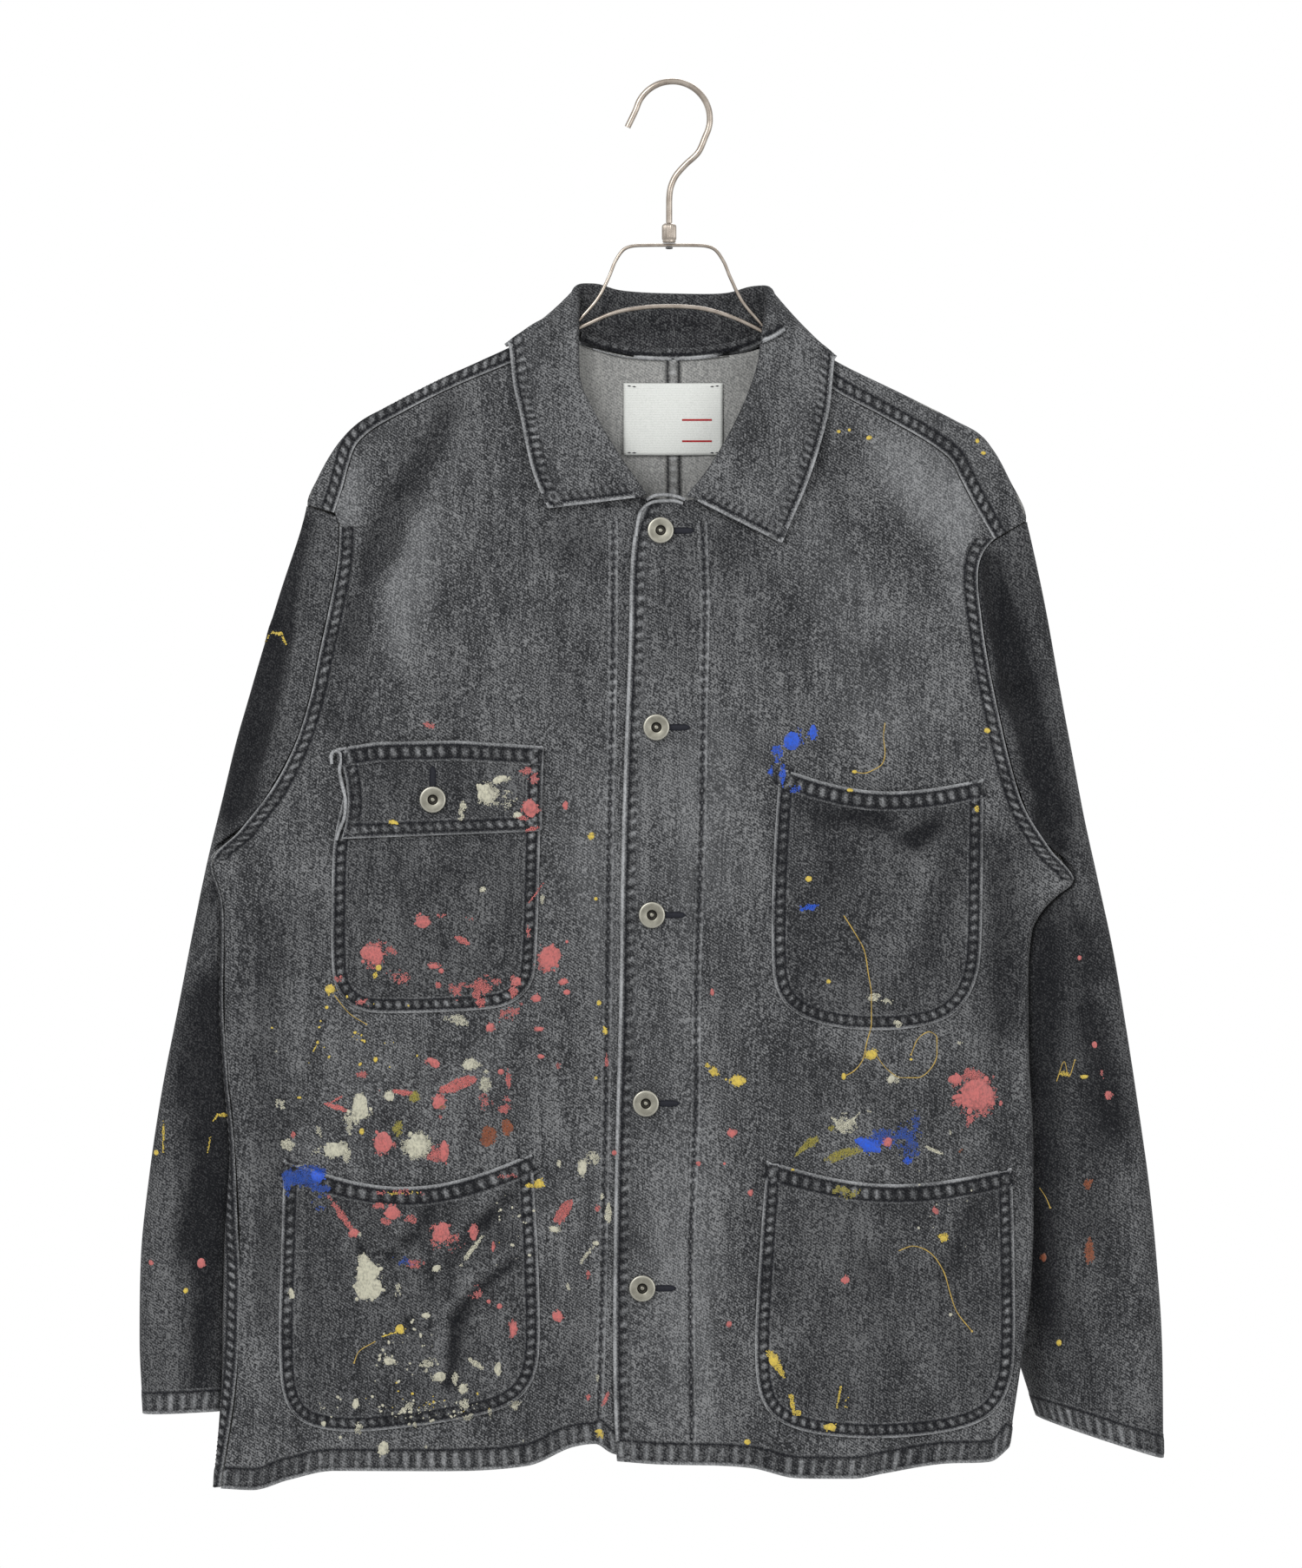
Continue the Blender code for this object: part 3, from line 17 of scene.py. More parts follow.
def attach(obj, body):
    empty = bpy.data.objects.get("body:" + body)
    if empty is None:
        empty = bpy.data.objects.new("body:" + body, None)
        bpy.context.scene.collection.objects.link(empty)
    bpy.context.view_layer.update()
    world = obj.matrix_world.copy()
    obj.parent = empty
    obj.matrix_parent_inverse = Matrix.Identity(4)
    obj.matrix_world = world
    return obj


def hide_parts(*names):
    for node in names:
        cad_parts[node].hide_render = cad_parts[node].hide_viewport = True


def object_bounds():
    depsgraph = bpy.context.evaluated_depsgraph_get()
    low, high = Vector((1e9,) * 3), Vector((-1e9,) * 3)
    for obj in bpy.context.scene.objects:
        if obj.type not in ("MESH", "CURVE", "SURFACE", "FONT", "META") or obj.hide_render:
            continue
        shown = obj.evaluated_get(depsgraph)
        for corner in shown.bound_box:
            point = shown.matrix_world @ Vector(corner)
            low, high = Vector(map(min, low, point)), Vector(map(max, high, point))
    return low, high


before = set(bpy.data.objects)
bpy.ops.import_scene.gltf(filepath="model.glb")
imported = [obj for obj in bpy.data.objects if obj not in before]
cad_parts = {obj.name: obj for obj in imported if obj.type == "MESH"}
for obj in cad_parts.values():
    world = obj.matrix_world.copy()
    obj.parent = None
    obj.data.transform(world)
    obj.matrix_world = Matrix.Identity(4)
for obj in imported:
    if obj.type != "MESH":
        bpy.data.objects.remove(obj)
size_at_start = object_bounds()

MM = 0.001

# ---------------------------------------------------------------- the part's own sizes, in millimetres

CLOTH = 1.2  # one layer of denim
COLLAR_CLOTH = 1.8  # two plies pressed together
LABEL_CLOTH = 0.8
GAP = 0.3  # between pieces at a seam
TURN_GAP = 1.0  # and where the seam runs along a rounded edge
LAYER = CLOTH + GAP + 0.1  # how far one layer lies over the next

FOLD_DEPTH = 4.6  # half the thickness of a folded edge
FOLD_ROUND = 6.0  # how far inside the outline the folded edge reaches that thickness
ARMHOLE_GAPE = 5.0  # extra half thickness half way down the armhole
UNDERARM_CLOSES = 30.0  # the armhole's open edge closes over this height above the underarm
FALL = 220.0  # below the shoulder, the body has opened to its full depth here
SIDE_EASE = 170.0  # and here inside the side edges
SIDE_FORWARD = 7.0  # the side edges swing this far forward of the middle,
SWING_TOP, SWING_HEIGHT = 300.0, 250.0  # starting at this level and growing over this height
HALF_CHEST = 290.0
NECK_FULLNESS = 9.0  # the back stands off at the neck by this,
NECK_FULL_HALF = 70.0  # over this half width,
NECK_FULL_TOP, NECK_FULL_HEIGHT = 165.0, 150.0  # and fades out downwards from this level
CENTRE_BACK_X = 1.0
UNDERLAP = (-10.0, -2.0, 13.0, 31.0)  # the right front's last columns, past the left one's free edge

HOOK_WIRE = 4.2
FRAME_WIRE = 2.3
ARM_WIRE = 2.8
BUTTON_WIDE = 17.4
BUTTON_THICK = 3.4

# ---------------------------------------------------------------- outlines, a row for each height
# Every table runs downwards. Its columns are (down, x).

RIGHT_SEAM = (  # shoulder seam, from neck to armhole
    (171.0, -77.0), (184.1, -109.7), (198.3, -143.7), (214.8, -176.8), (228.1, -199.4),
    (237.0, -208.0), (249.0, -212.4), (264.0, -216.4), (281.0, -222.0),
)
RIGHT_FOLD = (  # the outline, where the back folds over to the front
    (158.0, -77.0), (174.2, -110.6), (185.5, -134.2), (194.0, -153.2), (203.5, -172.1),
    (213.9, -190.9), (221.4, -205.1), (231.9, -216.5), (242.2, -224.0), (253.6, -230.7),
    (264.9, -235.4), (275.8, -239.7),
)
RIGHT_ARMHOLE = (
    (275.8, -239.7), (281.0, -222.0), (290.5, -217.8), (309.2, -218.4), (337.7, -223.2),
    (366.2, -229.4), (400.4, -236.3), (428.9, -244.8), (457.4, -259.1), (483.0, -276.2),
    (510.4, -303.0),
)
RIGHT_ARMHOLE_BACK = (
    (275.8, -239.7), (281.0, -237.2), (290.5, -234.5), (309.2, -231.8), (337.7, -232.0),
    (366.2, -236.0), (400.4, -243.5), (428.9, -252.0), (457.4, -264.5), (483.0, -280.0),
    (510.4, -303.0),
)
RIGHT_SIDE = (
    (510.4, -303.0), (534.3, -296.6), (555.0, -295.4), (600.0, -296.2), (650.0, -293.5),
    (702.5, -289.5), (750.0, -293.2), (800.0, -294.6), (856.4, -295.8), (885.0, -298.2),
    (908.0, -300.6),
)
LEFT_SEAM = (
    (176.0, 76.0), (199.7, 105.3), (217.4, 137.7), (237.5, 172.1), (246.4, 182.9), (257.2, 188.6),
    (275.0, 197.8), (298.4, 211.2),
)
LEFT_FOLD = (
    (162.0, 76.0), (181.6, 107.3), (191.4, 127.9), (201.2, 147.5), (212.0, 167.2),
    (218.9, 181.9), (223.8, 192.7), (230.7, 203.5), (239.5, 210.5), (251.3, 217.2),
    (265.0, 224.1), (286.0, 232.4),
)
LEFT_ARMHOLE = (
    (286.0, 232.4), (292.4, 221.4), (298.4, 211.2), (307.2, 202.8), (330.0, 199.6),
    (354.8, 202.6), (389.0, 208.3), (428.9, 216.9), (457.4, 224.3), (491.6, 238.5),
    (523.0, 263.0),
)
LEFT_ARMHOLE_BACK = (
    (286.0, 232.4), (292.4, 229.8), (298.4, 227.0), (307.2, 223.8), (330.0, 219.6),
    (354.8, 218.8), (389.0, 221.3), (428.9, 227.9), (457.4, 234.8), (491.6, 246.0),
    (523.0, 263.0),
)
LEFT_SIDE = (
    (523.0, 263.0), (534.3, 249.9), (554.3, 236.2), (600.0, 233.4), (656.9, 234.6),
    (702.5, 236.8), (742.4, 236.8), (788.0, 235.1), (827.9, 231.1), (862.1, 226.6),
    (908.0, 221.0),
)
RIGHT_NECKLINE = (
    (171.0, -69.5), (195.0, -67.0), (217.0, -60.0), (241.0, -46.5), (259.0, -33.5), (271.0, -23.0),
)
LEFT_NECKLINE = (
    (176.0, 69.0), (195.0, 66.5), (218.0, 54.5), (243.0, 41.0), (259.0, 28.0), (271.0, 15.0),
)
FRONT_TOP = 274.5  # the fronts start here between the collar's two ends
FRONT_EDGE = (  # the free edge of the left front, which is the upper layer
    (274.5, -16.8), (286.4, -22.5), (307.5, -26.5), (363.9, -28.2), (453.9, -31.6), (514.4, -33.3),
    (599.9, -34.5), (708.7, -37.3), (818.2, -38.5), (887.7, -37.3), (908.0, -36.0),
)
RIGHT_TURN = (  # how far the back turns on to the front at the right side seam: (down, reach)
    (510.4, 1.0), (617.0, 1.6), (702.5, 2.6), (725.3, 5.0), (748.1, 8.0), (788.0, 11.0),
    (833.6, 10.0), (856.4, 8.0), (885.0, 5.5), (908.0, 4.0),
)
LEFT_TURN = ((523.0, -1.0), (600.0, -5.0), (908.0, -6.0))  # here the front turns on to the back
RIGHT_FULLNESS = ((158.0, -226.0), (300.0, -241.0), (510.4, -303.0), (600.0, -300.0), (908.0, -301.0))
LEFT_FULLNESS = ((158.0, 216.0), (300.0, 233.0), (523.0, 263.0), (600.0, 250.0), (908.0, 234.0))

# The depth of the body in front of and behind its middle: (down, half depth).
FRONT_DEPTH = ((158.0, 8.0), (220.0, 12.0), (300.0, 17.5), (450.0, 21.0), (650.0, 22.5), (908.0, 21.0))
BACK_DEPTH = ((158.0, 10.0), (220.0, 14.0), (300.0, 17.5), (450.0, 20.0), (650.0, 21.0), (908.0, 20.0))

# The back's neckline dips between the shoulders: (x, drop).
BACK_NECK_DIP = (
    (-77.0, 0.0), (-72.0, 6.5), (-59.0, 12.7), (-38.0, 17.8), (-17.0, 21.2), (0.3, 21.8),
    (25.0, 20.0), (56.0, 14.0), (70.0, 6.0), (76.0, 0.0),
)
BACK_NECK_REACH = 60.0

# The hem hangs unevenly: (x, down). BOTTOM is the level that the rows are laid out to.
BOTTOM = 908.0
HEM_REACH = 120.0
HEM_RIGHT = (
    (-301.0, 919.6), (-275.0, 920.8), (-251.1, 913.9), (-220.9, 907.7), (-159.9, 907.7),
    (-94.3, 904.2), (-65.8, 892.3), (-50.4, 890.0), (-39.6, 896.3), (-20.0, 899.0), (0.0, 900.0),
)
HEM_LEFT = (
    (-36.0, 901.4), (-14.0, 903.1), (52.7, 906.0), (81.2, 912.4), (118.8, 912.8), (138.8, 909.4),
    (174.7, 903.7), (207.8, 902.5), (221.5, 893.0),
)
HEM_BACK = (
    (-301.0, 919.6), (-275.0, 918.0), (-220.0, 905.0), (-160.0, 903.0), (-94.0, 899.0),
    (-60.0, 888.0), (-40.0, 889.0), (0.0, 894.0), (53.0, 902.0), (100.0, 908.0), (140.0, 905.0),
    (175.0, 900.0), (208.0, 898.5), (221.5, 893.0),
)

# ---------------------------------------------------------------- sleeves, a row for each section
# A sleeve hangs beside and behind the body as a flattened tube. Each section starts at `level` on
# the inside, runs over the front to the outer fold, and comes round the back to the inner fold,
# which lies behind the body. `deep` is half the thickness.

SLEEVE_COLUMNS = ("level", "outer_x", "outer_down", "outer_y", "fold_x", "fold_down", "fold_y", "deep")
SLEEVE_RIGHT = (
    (275.8, -239.7, 275.8, 0.0, -239.7, 275.8, 0.0, 2.0),
    (290.5, -243.4, 290.5, 1.0, -234.5, 290.5, 8.0, 8.0),
    (330.0, -256.5, 330.0, 3.0, -231.6, 330.0, 12.0, 13.0),
    (380.0, -271.8, 380.0, 5.0, -233.0, 380.0, 17.0, 17.0),
    (402.0, -278.2, 402.0, 5.5, -229.0, 403.0, 19.0, 18.5),
    (430.0, -286.3, 430.0, 6.5, -226.0, 432.0, 21.0, 20.0),
    (470.0, -296.0, 470.0, 7.5, -220.0, 474.0, 25.0, 23.0),
    (510.4, -305.6, 509.5, 8.0, -214.0, 518.0, 30.0, 25.0),
    (560.0, -315.3, 556.0, 9.0, -209.0, 568.0, 35.0, 27.0),
    (610.0, -324.8, 605.0, 10.0, -207.0, 618.0, 39.0, 28.0),
    (665.0, -335.6, 660.0, 10.0, -207.0, 672.0, 42.0, 28.0),
    (720.0, -344.0, 716.0, 10.0, -211.0, 726.0, 42.0, 28.0),
    (775.0, -349.6, 772.0, 9.0, -221.0, 778.0, 41.0, 27.0),
    (825.0, -350.3, 824.0, 8.0, -236.0, 826.0, 38.0, 27.0),
    (870.0, -348.0, 872.3, 8.0, -252.0, 868.0, 36.0, 28.0),
)
SLEEVE_LEFT = (
    (286.0, 232.4, 286.0, 0.0, 232.4, 286.0, 0.0, 2.0),
    (300.0, 235.8, 300.0, 1.0, 226.0, 300.0, 8.0, 8.0),
    (340.0, 244.5, 340.0, 3.0, 219.2, 340.0, 12.0, 13.0),
    (390.0, 253.6, 390.0, 5.0, 218.0, 390.0, 17.0, 17.0),
    (414.0, 258.0, 414.0, 5.8, 211.0, 415.0, 19.0, 18.5),
    (440.0, 263.0, 440.0, 6.5, 208.0, 442.0, 21.0, 20.0),
    (480.0, 270.6, 480.0, 7.5, 205.0, 484.0, 25.0, 23.0),
    (523.0, 279.6, 521.0, 8.0, 196.0, 530.0, 30.0, 25.0),
    (570.0, 289.6, 567.0, 9.0, 190.0, 578.0, 35.0, 27.0),
    (620.0, 298.0, 616.0, 10.0, 186.0, 628.0, 39.0, 28.0),
    (675.0, 306.3, 670.0, 10.0, 185.0, 682.0, 42.0, 28.0),
    (730.0, 314.2, 727.0, 10.0, 190.0, 734.0, 42.0, 28.0),
    (780.0, 319.1, 779.0, 9.0, 201.0, 780.0, 41.0, 27.0),
    (825.0, 322.0, 826.0, 8.0, 222.0, 822.0, 38.0, 27.0),
    (880.0, 322.9, 901.4, 8.0, 240.5, 876.0, 35.0, 28.0),
)
TUCK_STARTS = 115.0  # below the shoulder's tip, where the back of the sleeve begins to fold inwards
BEHIND = 2.6  # the sleeve's front layer keeps this far behind the body's back
BEHIND_FADES = 1.5  # and may come this much nearer for each millimetre outside the body's edge
SLEEVE_EDGE = (-6.5, -1.2, 1.4, 3.2)  # columns this far outside the body's edge,
EDGE_HIGHEST = (0.90, 0.80, 0.72, 0.66)  # at most this share of the way in to the inner fold
EDGE_LOWEST = 0.02
FOLDS_FADE_IN = 0.2  # share of the front over which its folds start at the armhole
BACK_SKEW = 0.7  # the back of an open section is fullest this side of its middle

# Shares of the way down the armhole where body rows and sleeve points meet.
ARMHOLE_ROWS = (0.16, 0.29, 0.42, 0.55, 0.68, 0.80, 0.91, 1.0)
CORNER_CLEAR = 5.0  # the first of them lies at least this far below the armhole's top corner
UNDERARM_ROWS = (8.0, 18.0, 32.0, 54.0)  # and levels this far below the underarm
SIDE_ROWS = (0.27, 0.45, 0.64, 0.83, 1.0)
FOLD_COLUMNS = ("x", "down", "to_x", "to_down", "wide", "sink")
FRONT_FOLDS = (
    (-148.0, 215.0, -189.0, 300.0, 16.0, 3.2),
    (-189.0, 300.0, -209.0, 364.0, 14.0, 3.4),
    (-172.0, 300.0, -186.0, 372.0, 18.0, -2.4),
    (-211.0, 258.0, -213.0, 330.0, 12.0, -3.4),
    (192.0, 268.0, 197.0, 345.0, 13.0, -3.2),
    (216.0, 500.0, 220.0, 615.0, 13.0, 4.0),
    (-268.0, 560.0, -262.0, 800.0, 18.0, 2.0),
    (120.0, 480.0, 175.0, 505.0, 26.0, 2.0),
    (60.0, 745.0, 135.0, 860.0, 24.0, 1.8),
)
SLEEVE_FOLDS_RIGHT = (
    (-246.0, 290.0, -262.0, 360.0, 10.0, 7.0),
    (-262.0, 360.0, -287.0, 470.0, 12.0, 8.0),
    (-240.0, 372.0, -262.0, 452.0, 9.0, -3.5),
    (-262.0, 452.0, -292.0, 506.0, 9.0, -3.0),
    (-312.0, 600.0, -318.0, 760.0, 16.0, 3.0),
    (-334.0, 660.0, -338.0, 800.0, 14.0, -2.5),
)
SLEEVE_FOLDS_LEFT = (
    (206.0, 316.0, 226.0, 400.0, 10.0, 7.0),
    (226.0, 400.0, 252.0, 500.0, 12.0, 8.0),
    (220.0, 410.0, 236.0, 468.0, 9.0, -3.5),
    (236.0, 468.0, 258.0, 512.0, 9.0, -3.0),
    (270.0, 560.0, 290.0, 740.0, 18.0, 3.0),
    (296.0, 700.0, 308.0, 860.0, 15.0, -2.5),
)

# ---------------------------------------------------------------- collar, a row for each section
# Going round the neck from the right end: where the stand is sewn on, where it rolls over, and
# where the leaf ends, each as x, down, y. `out` is the heading from stand to leaf in degrees,
# 0 forwards, 90 to the right, 180 backwards and 270 to the left.

COLLAR_COLUMNS = (
    "neck_x", "neck_down", "neck_y", "roll_x", "roll_down", "roll_y",
    "leaf_x", "leaf_down", "leaf_y", "out",
)
COLLAR = (
    (-24.0, 274.0, -15.0, -17.4, 269.8, -18.0, -81.2, 278.4, -16.0, 0.0),
    (-31.0, 262.5, -14.5, -24.0, 260.5, -18.5, -86.5, 267.0, -16.0, 2.0),
    (-42.5, 246.0, -13.5, -35.0, 244.6, -18.0, -91.5, 254.0, -15.0, 5.0),
    (-53.5, 229.0, -12.5, -46.0, 226.5, -17.0, -96.0, 235.0, -13.5, 10.0),
    (-62.0, 211.5, -10.5, -54.0, 211.5, -16.0, -99.5, 217.0, -11.0, 18.0),
    (-67.5, 192.0, -8.0, -61.3, 195.7, -14.0, -104.0, 198.0, -8.5, 28.0),
    (-68.5, 173.0, -6.5, -62.6, 172.0, -10.5, -107.5, 181.0, -6.0, 50.0),
    (-69.0, 159.0, -3.0, -63.6, 150.0, -5.0, -109.5, 172.0, -1.0, 75.0),
    (-68.5, 157.0, 3.5, -64.0, 136.5, 1.5, -106.0, 170.5, 7.0, 105.0),
    (-66.0, 163.0, 8.5, -60.0, 130.8, 8.0, -94.0, 178.0, 15.0, 135.0),
    (-57.0, 169.0, 12.0, -50.0, 130.5, 13.5, -78.0, 186.0, 22.0, 155.0),
    (-41.0, 174.5, 14.5, -37.0, 134.3, 17.5, -55.0, 194.0, 28.0, 168.0),
    (-20.0, 178.3, 16.0, -19.0, 136.0, 20.0, -27.0, 198.0, 30.5, 176.0),
    (0.5, 179.2, 16.5, 0.5, 136.6, 20.5, 0.5, 199.0, 31.5, 180.0),
    (25.0, 177.4, 16.0, 22.0, 137.0, 20.0, 30.0, 198.0, 30.5, 184.0),
    (44.0, 173.5, 14.5, 38.0, 136.2, 17.5, 56.0, 194.0, 28.0, 192.0),
    (57.5, 170.5, 12.0, 51.0, 132.5, 13.5, 79.0, 188.0, 22.0, 205.0),
    (65.5, 166.5, 8.5, 61.0, 132.0, 8.0, 95.0, 182.0, 15.0, 225.0),
    (68.0, 159.5, 3.5, 64.8, 137.0, 1.5, 105.0, 178.0, 7.0, 255.0),
    (68.0, 161.0, -3.0, 62.8, 150.0, -5.0, 107.2, 180.0, -1.0, 285.0),
    (67.5, 177.0, -6.5, 59.8, 166.0, -10.5, 106.6, 194.0, -6.0, 310.0),
    (66.5, 196.0, -8.5, 56.8, 184.0, -14.0, 103.0, 212.0, -9.5, 332.0),
    (60.0, 212.0, -11.0, 50.5, 203.0, -16.5, 98.4, 230.0, -12.5, 342.0),
    (50.0, 228.5, -13.0, 41.5, 223.0, -17.5, 92.5, 250.0, -14.5, 350.0),
    (39.0, 246.0, -14.5, 31.0, 242.0, -18.5, 85.5, 269.0, -16.0, 355.0),
    (27.5, 261.5, -15.5, 20.5, 258.0, -19.0, 78.5, 285.0, -17.0, 358.0),
    (19.0, 273.0, -16.0, 9.5, 271.0, -19.5, 71.5, 301.2, -18.0, 360.0),
)
ROLL_ROUND = 2.2
LEAF_LIFT = 2.6  # the leaf's middle lies this far off the front,
LEAF_RISE = 1.6  # and this much more towards the roll
FACING = 0.2  # a section heads forwards or backwards past this cosine,
SIDEWAYS = 0.8  # and sideways below this one
NECK_POINT = 77.0

# ---------------------------------------------------------------- pockets, a row for each side cut
# A pocket is the front's own cloth cut along straight lines and moved out by its layers. Each
# corner is (x, down), going round from the outer end of the mouth. `sag` drops the mouth's middle.

SAG_HEIGHT = 45.0  # the mouth's sag fades out over this height
SAG_STANDS = 1.6  # and the sagging mouth stands this far off
SAG_LEAST = 2.0  # a mouth that drops less than this lies straight

POCKETS = {
    "pocket_chest_right": dict(
        panel="front_right", layers=1.25,
        corners=((-211.5, 455.0), (-86.0, 455.0), (-88.6, 577.0), (-93.0, 592.0), (-104.0, 602.0),
                 (-120.0, 606.5), (-190.0, 609.0), (-206.0, 606.5), (-217.0, 598.0), (-223.0, 584.0),
                 (-222.5, 528.0), (-221.6, 494.0)),
        mouth=(455.0, 455.0, 455.0)),
    "pocket_flap": dict(
        panel="front_right", layers=2.5,
        corners=((-219.5, 436.0), (-193.0, 432.0), (-141.0, 431.0), (-84.6, 434.6), (-85.8, 489.4),
                 (-216.0, 494.5)),
        mouth=(436.0, 431.0, 434.6)),
    "pocket_chest_left": dict(
        panel="front_left", layers=1.25,
        corners=((70.3, 446.6), (203.2, 456.0), (202.4, 560.0), (200.0, 584.0), (192.0, 602.0),
                 (176.0, 615.0), (146.0, 620.0), (110.0, 619.0), (84.0, 611.5), (70.5, 600.0),
                 (64.6, 582.0), (65.6, 514.0)),
        mouth=(446.6, 464.5, 456.0)),
    "pocket_lower_right": dict(
        panel="front_right", layers=1.25,
        corners=((-253.9, 703.4), (-92.1, 698.3), (-88.0, 763.0), (-86.4, 826.0), (-90.0, 848.0),
                 (-102.0, 863.0), (-127.0, 872.5), (-203.0, 883.0), (-233.0, 880.3), (-247.0, 873.0),
                 (-256.0, 857.0), (-257.6, 818.0), (-255.6, 763.0)),
        mouth=(703.4, 722.5, 698.3)),
    "pocket_lower_left": dict(
        panel="front_left", layers=1.25,
        corners=((61.8, 703.0), (222.0, 709.8), (223.5, 755.0), (224.6, 833.0), (220.5, 856.0),
                 (209.0, 873.0), (185.0, 882.5), (141.0, 887.0), (101.0, 885.0), (75.0, 879.0),
                 (61.0, 868.0), (55.0, 851.0), (53.9, 822.0), (56.4, 777.0)),
        mouth=(703.0, 721.0, 709.8)),
}

BUTTONS = (  # name, x, down
    ("button_1", -7.7, 293.2),
    ("button_2", -10.5, 422.0),
    ("button_3", -13.4, 544.6),
    ("button_4", -17.4, 667.7),
    ("button_5", -19.7, 788.5),
    ("button_flap", -156.5, 469.3),
)

BUTTON_LIFT = 0.5  # the button's foot stands this far off the front
FLAP_BUTTON_LIFT = 4.3  # and this far where it goes through the flap
SLOPE_STEP = 5.0  # the cloth's slope under a button is measured this far to each side

LABEL = dict(left=-32.0, right=33.2, top=195.4, bottom=242.8)
LABEL_CLEAR = 0.9  # between the label and the back's inner face

# ---------------------------------------------------------------- hanger

HOOK_RADIUS = 24.6  # to the middle of the wire
HOOK_TIP = (-29.4, 28.0)  # the free end opens a little wider than the circle
HOOK_FROM, HOOK_TO, HOOK_STEPS = 165.0, -28.0, 16  # degrees round the hook's circle
HOOK_NECK = ((17.0, 44.5), (8.2, 53.0), (1.6, 61.0), (-1.6, 70.0), (-2.1, 80.0), (-2.1, 90.8))
STEM_X = -2.1
FERRULE_TOP, FERRULE_BOTTOM, FERRULE_WIDE = 91.1, 103.9, 9.6
BAR_DOWN = 105.4
RIVET_WIDE, RIVET_HIGH = 5.0, 1.2
FRAME_ROUTE = (
    (-64.0, 157.6), (-48.6, 139.9), (-41.5, 126.0), (-36.9, 115.0), (-31.2, 107.8), (-22.0, 105.6),
    (0.0, 105.4), (18.0, 105.6), (27.2, 107.8), (33.0, 115.0), (38.2, 127.0), (46.0, 142.5),
    (60.7, 159.5),
)
ARCH_ROUTE = (
    (-61.3, 159.6), (-38.0, 149.8), (-17.0, 146.2), (0.3, 145.6), (21.4, 147.4), (42.5, 154.0),
    (57.3, 161.0),
)
ARM_END_RIGHT, ARM_END_LEFT = -212.0, 204.0
ARM_STARTS = 86.0  # the wire is under the shoulders from here out
ARM_CLEAR = 0.8  # between the wire and the shoulder's cloth

# ---------------------------------------------------------------- smooth lines and sums


class Curve:
    """A smooth line through (at, value) rows, without overshoot and flat past both ends."""

    def __init__(self, rows):
        rows = sorted(rows)
        self.at = np.array([row[0] for row in rows], float)
        self.value = np.array([row[1] for row in rows], float)
        rise = np.diff(self.value) / np.diff(self.at)
        self.slope = np.concatenate([rise[:1], (rise[1:] + rise[:-1]) / 2, rise[-1:]])
        turns = np.concatenate([[False], rise[1:] * rise[:-1] <= 0, [False]])
        self.slope[turns] = 0.0
        steepest = 3 * np.minimum(
            np.abs(np.concatenate([rise[:1], rise])), np.abs(np.concatenate([rise, rise[-1:]]))
        )
        self.slope = np.clip(self.slope, -steepest, steepest)

    def __call__(self, at):
        at = np.clip(at, self.at[0], self.at[-1])
        i = np.clip(np.searchsorted(self.at, at, side="right") - 1, 0, len(self.at) - 2)
        step = self.at[i + 1] - self.at[i]
        t = (at - self.at[i]) / step
        return (
            self.value[i] * (1 + 2 * t) * (1 - t) ** 2
            + self.value[i + 1] * t * t * (3 - 2 * t)
            + self.slope[i] * step * t * (1 - t) ** 2
            + self.slope[i + 1] * step * t * t * (t - 1)
        )


def swapped(rows):
    return tuple((b, a) for a, b in rows)


def columns(names, rows):
    """A table as a dictionary of arrays, one for each named column."""
    return dict(zip(names, np.array(rows, float).T))


def ease(t):
    t = np.clip(t, 0.0, 1.0)
    return t * t * (3 - 2 * t)


def swell(t):
    """Rises from 0 to 1, steeply at first."""
    return np.sin(np.pi / 2 * np.clip(t, 0.0, 1.0))


def rounded(t):
    """A quarter of a circle, from 0 to 1."""
    t = np.clip(t, 0.0, 1.0)
    return np.sqrt(1 - (1 - t) ** 2)


def creased(rows, x, down):
    """How far the folds in these rows push the cloth in at each point."""
    total = np.zeros(np.broadcast(x, down).shape)
    for row in rows:
        fold = dict(zip(FOLD_COLUMNS, row))
        run_x = fold["to_x"] - fold["x"]
        run_down = fold["to_down"] - fold["down"]
        share = ((x - fold["x"]) * run_x + (down - fold["down"]) * run_down) / (run_x**2 + run_down**2)
        share = np.clip(share, 0.0, 1.0)
        off = np.hypot(x - fold["x"] - share * run_x, down - fold["down"] - share * run_down)
        total = total + fold["sink"] * np.exp(-((off / fold["wide"]) ** 2))
    return total


# ---------------------------------------------------------------- the body's surface

TOP_LINE = Curve(swapped(RIGHT_FOLD) + swapped(LEFT_FOLD))
FRONT_HALF = Curve(FRONT_DEPTH)
BACK_HALF = Curve(BACK_DEPTH)
RIGHT_FULL = Curve(RIGHT_FULLNESS)
LEFT_FULL = Curve(LEFT_FULLNESS)
RIGHT_TIP, RIGHT_UNDERARM = RIGHT_ARMHOLE[0][0], RIGHT_ARMHOLE[-1][0]
LEFT_TIP, LEFT_UNDERARM = LEFT_ARMHOLE[0][0], LEFT_ARMHOLE[-1][0]
RIGHT_EDGE = Curve(RIGHT_ARMHOLE + RIGHT_SIDE[1:])
LEFT_EDGE = Curve(LEFT_ARMHOLE + LEFT_SIDE[1:])
RIGHT_EDGE_BACK = Curve(RIGHT_ARMHOLE_BACK + RIGHT_SIDE[1:])
LEFT_EDGE_BACK = Curve(LEFT_ARMHOLE_BACK + LEFT_SIDE[1:])


def edge_round(inside, down, tip, underarm):
    """1 where the edge is open, at the armhole, and rounding to 0 at a folded side edge."""
    open_here = np.where(down < tip, 1.0, rounded((underarm - down) / UNDERARM_CLOSES))
    return np.maximum(rounded(inside / FOLD_ROUND), open_here)


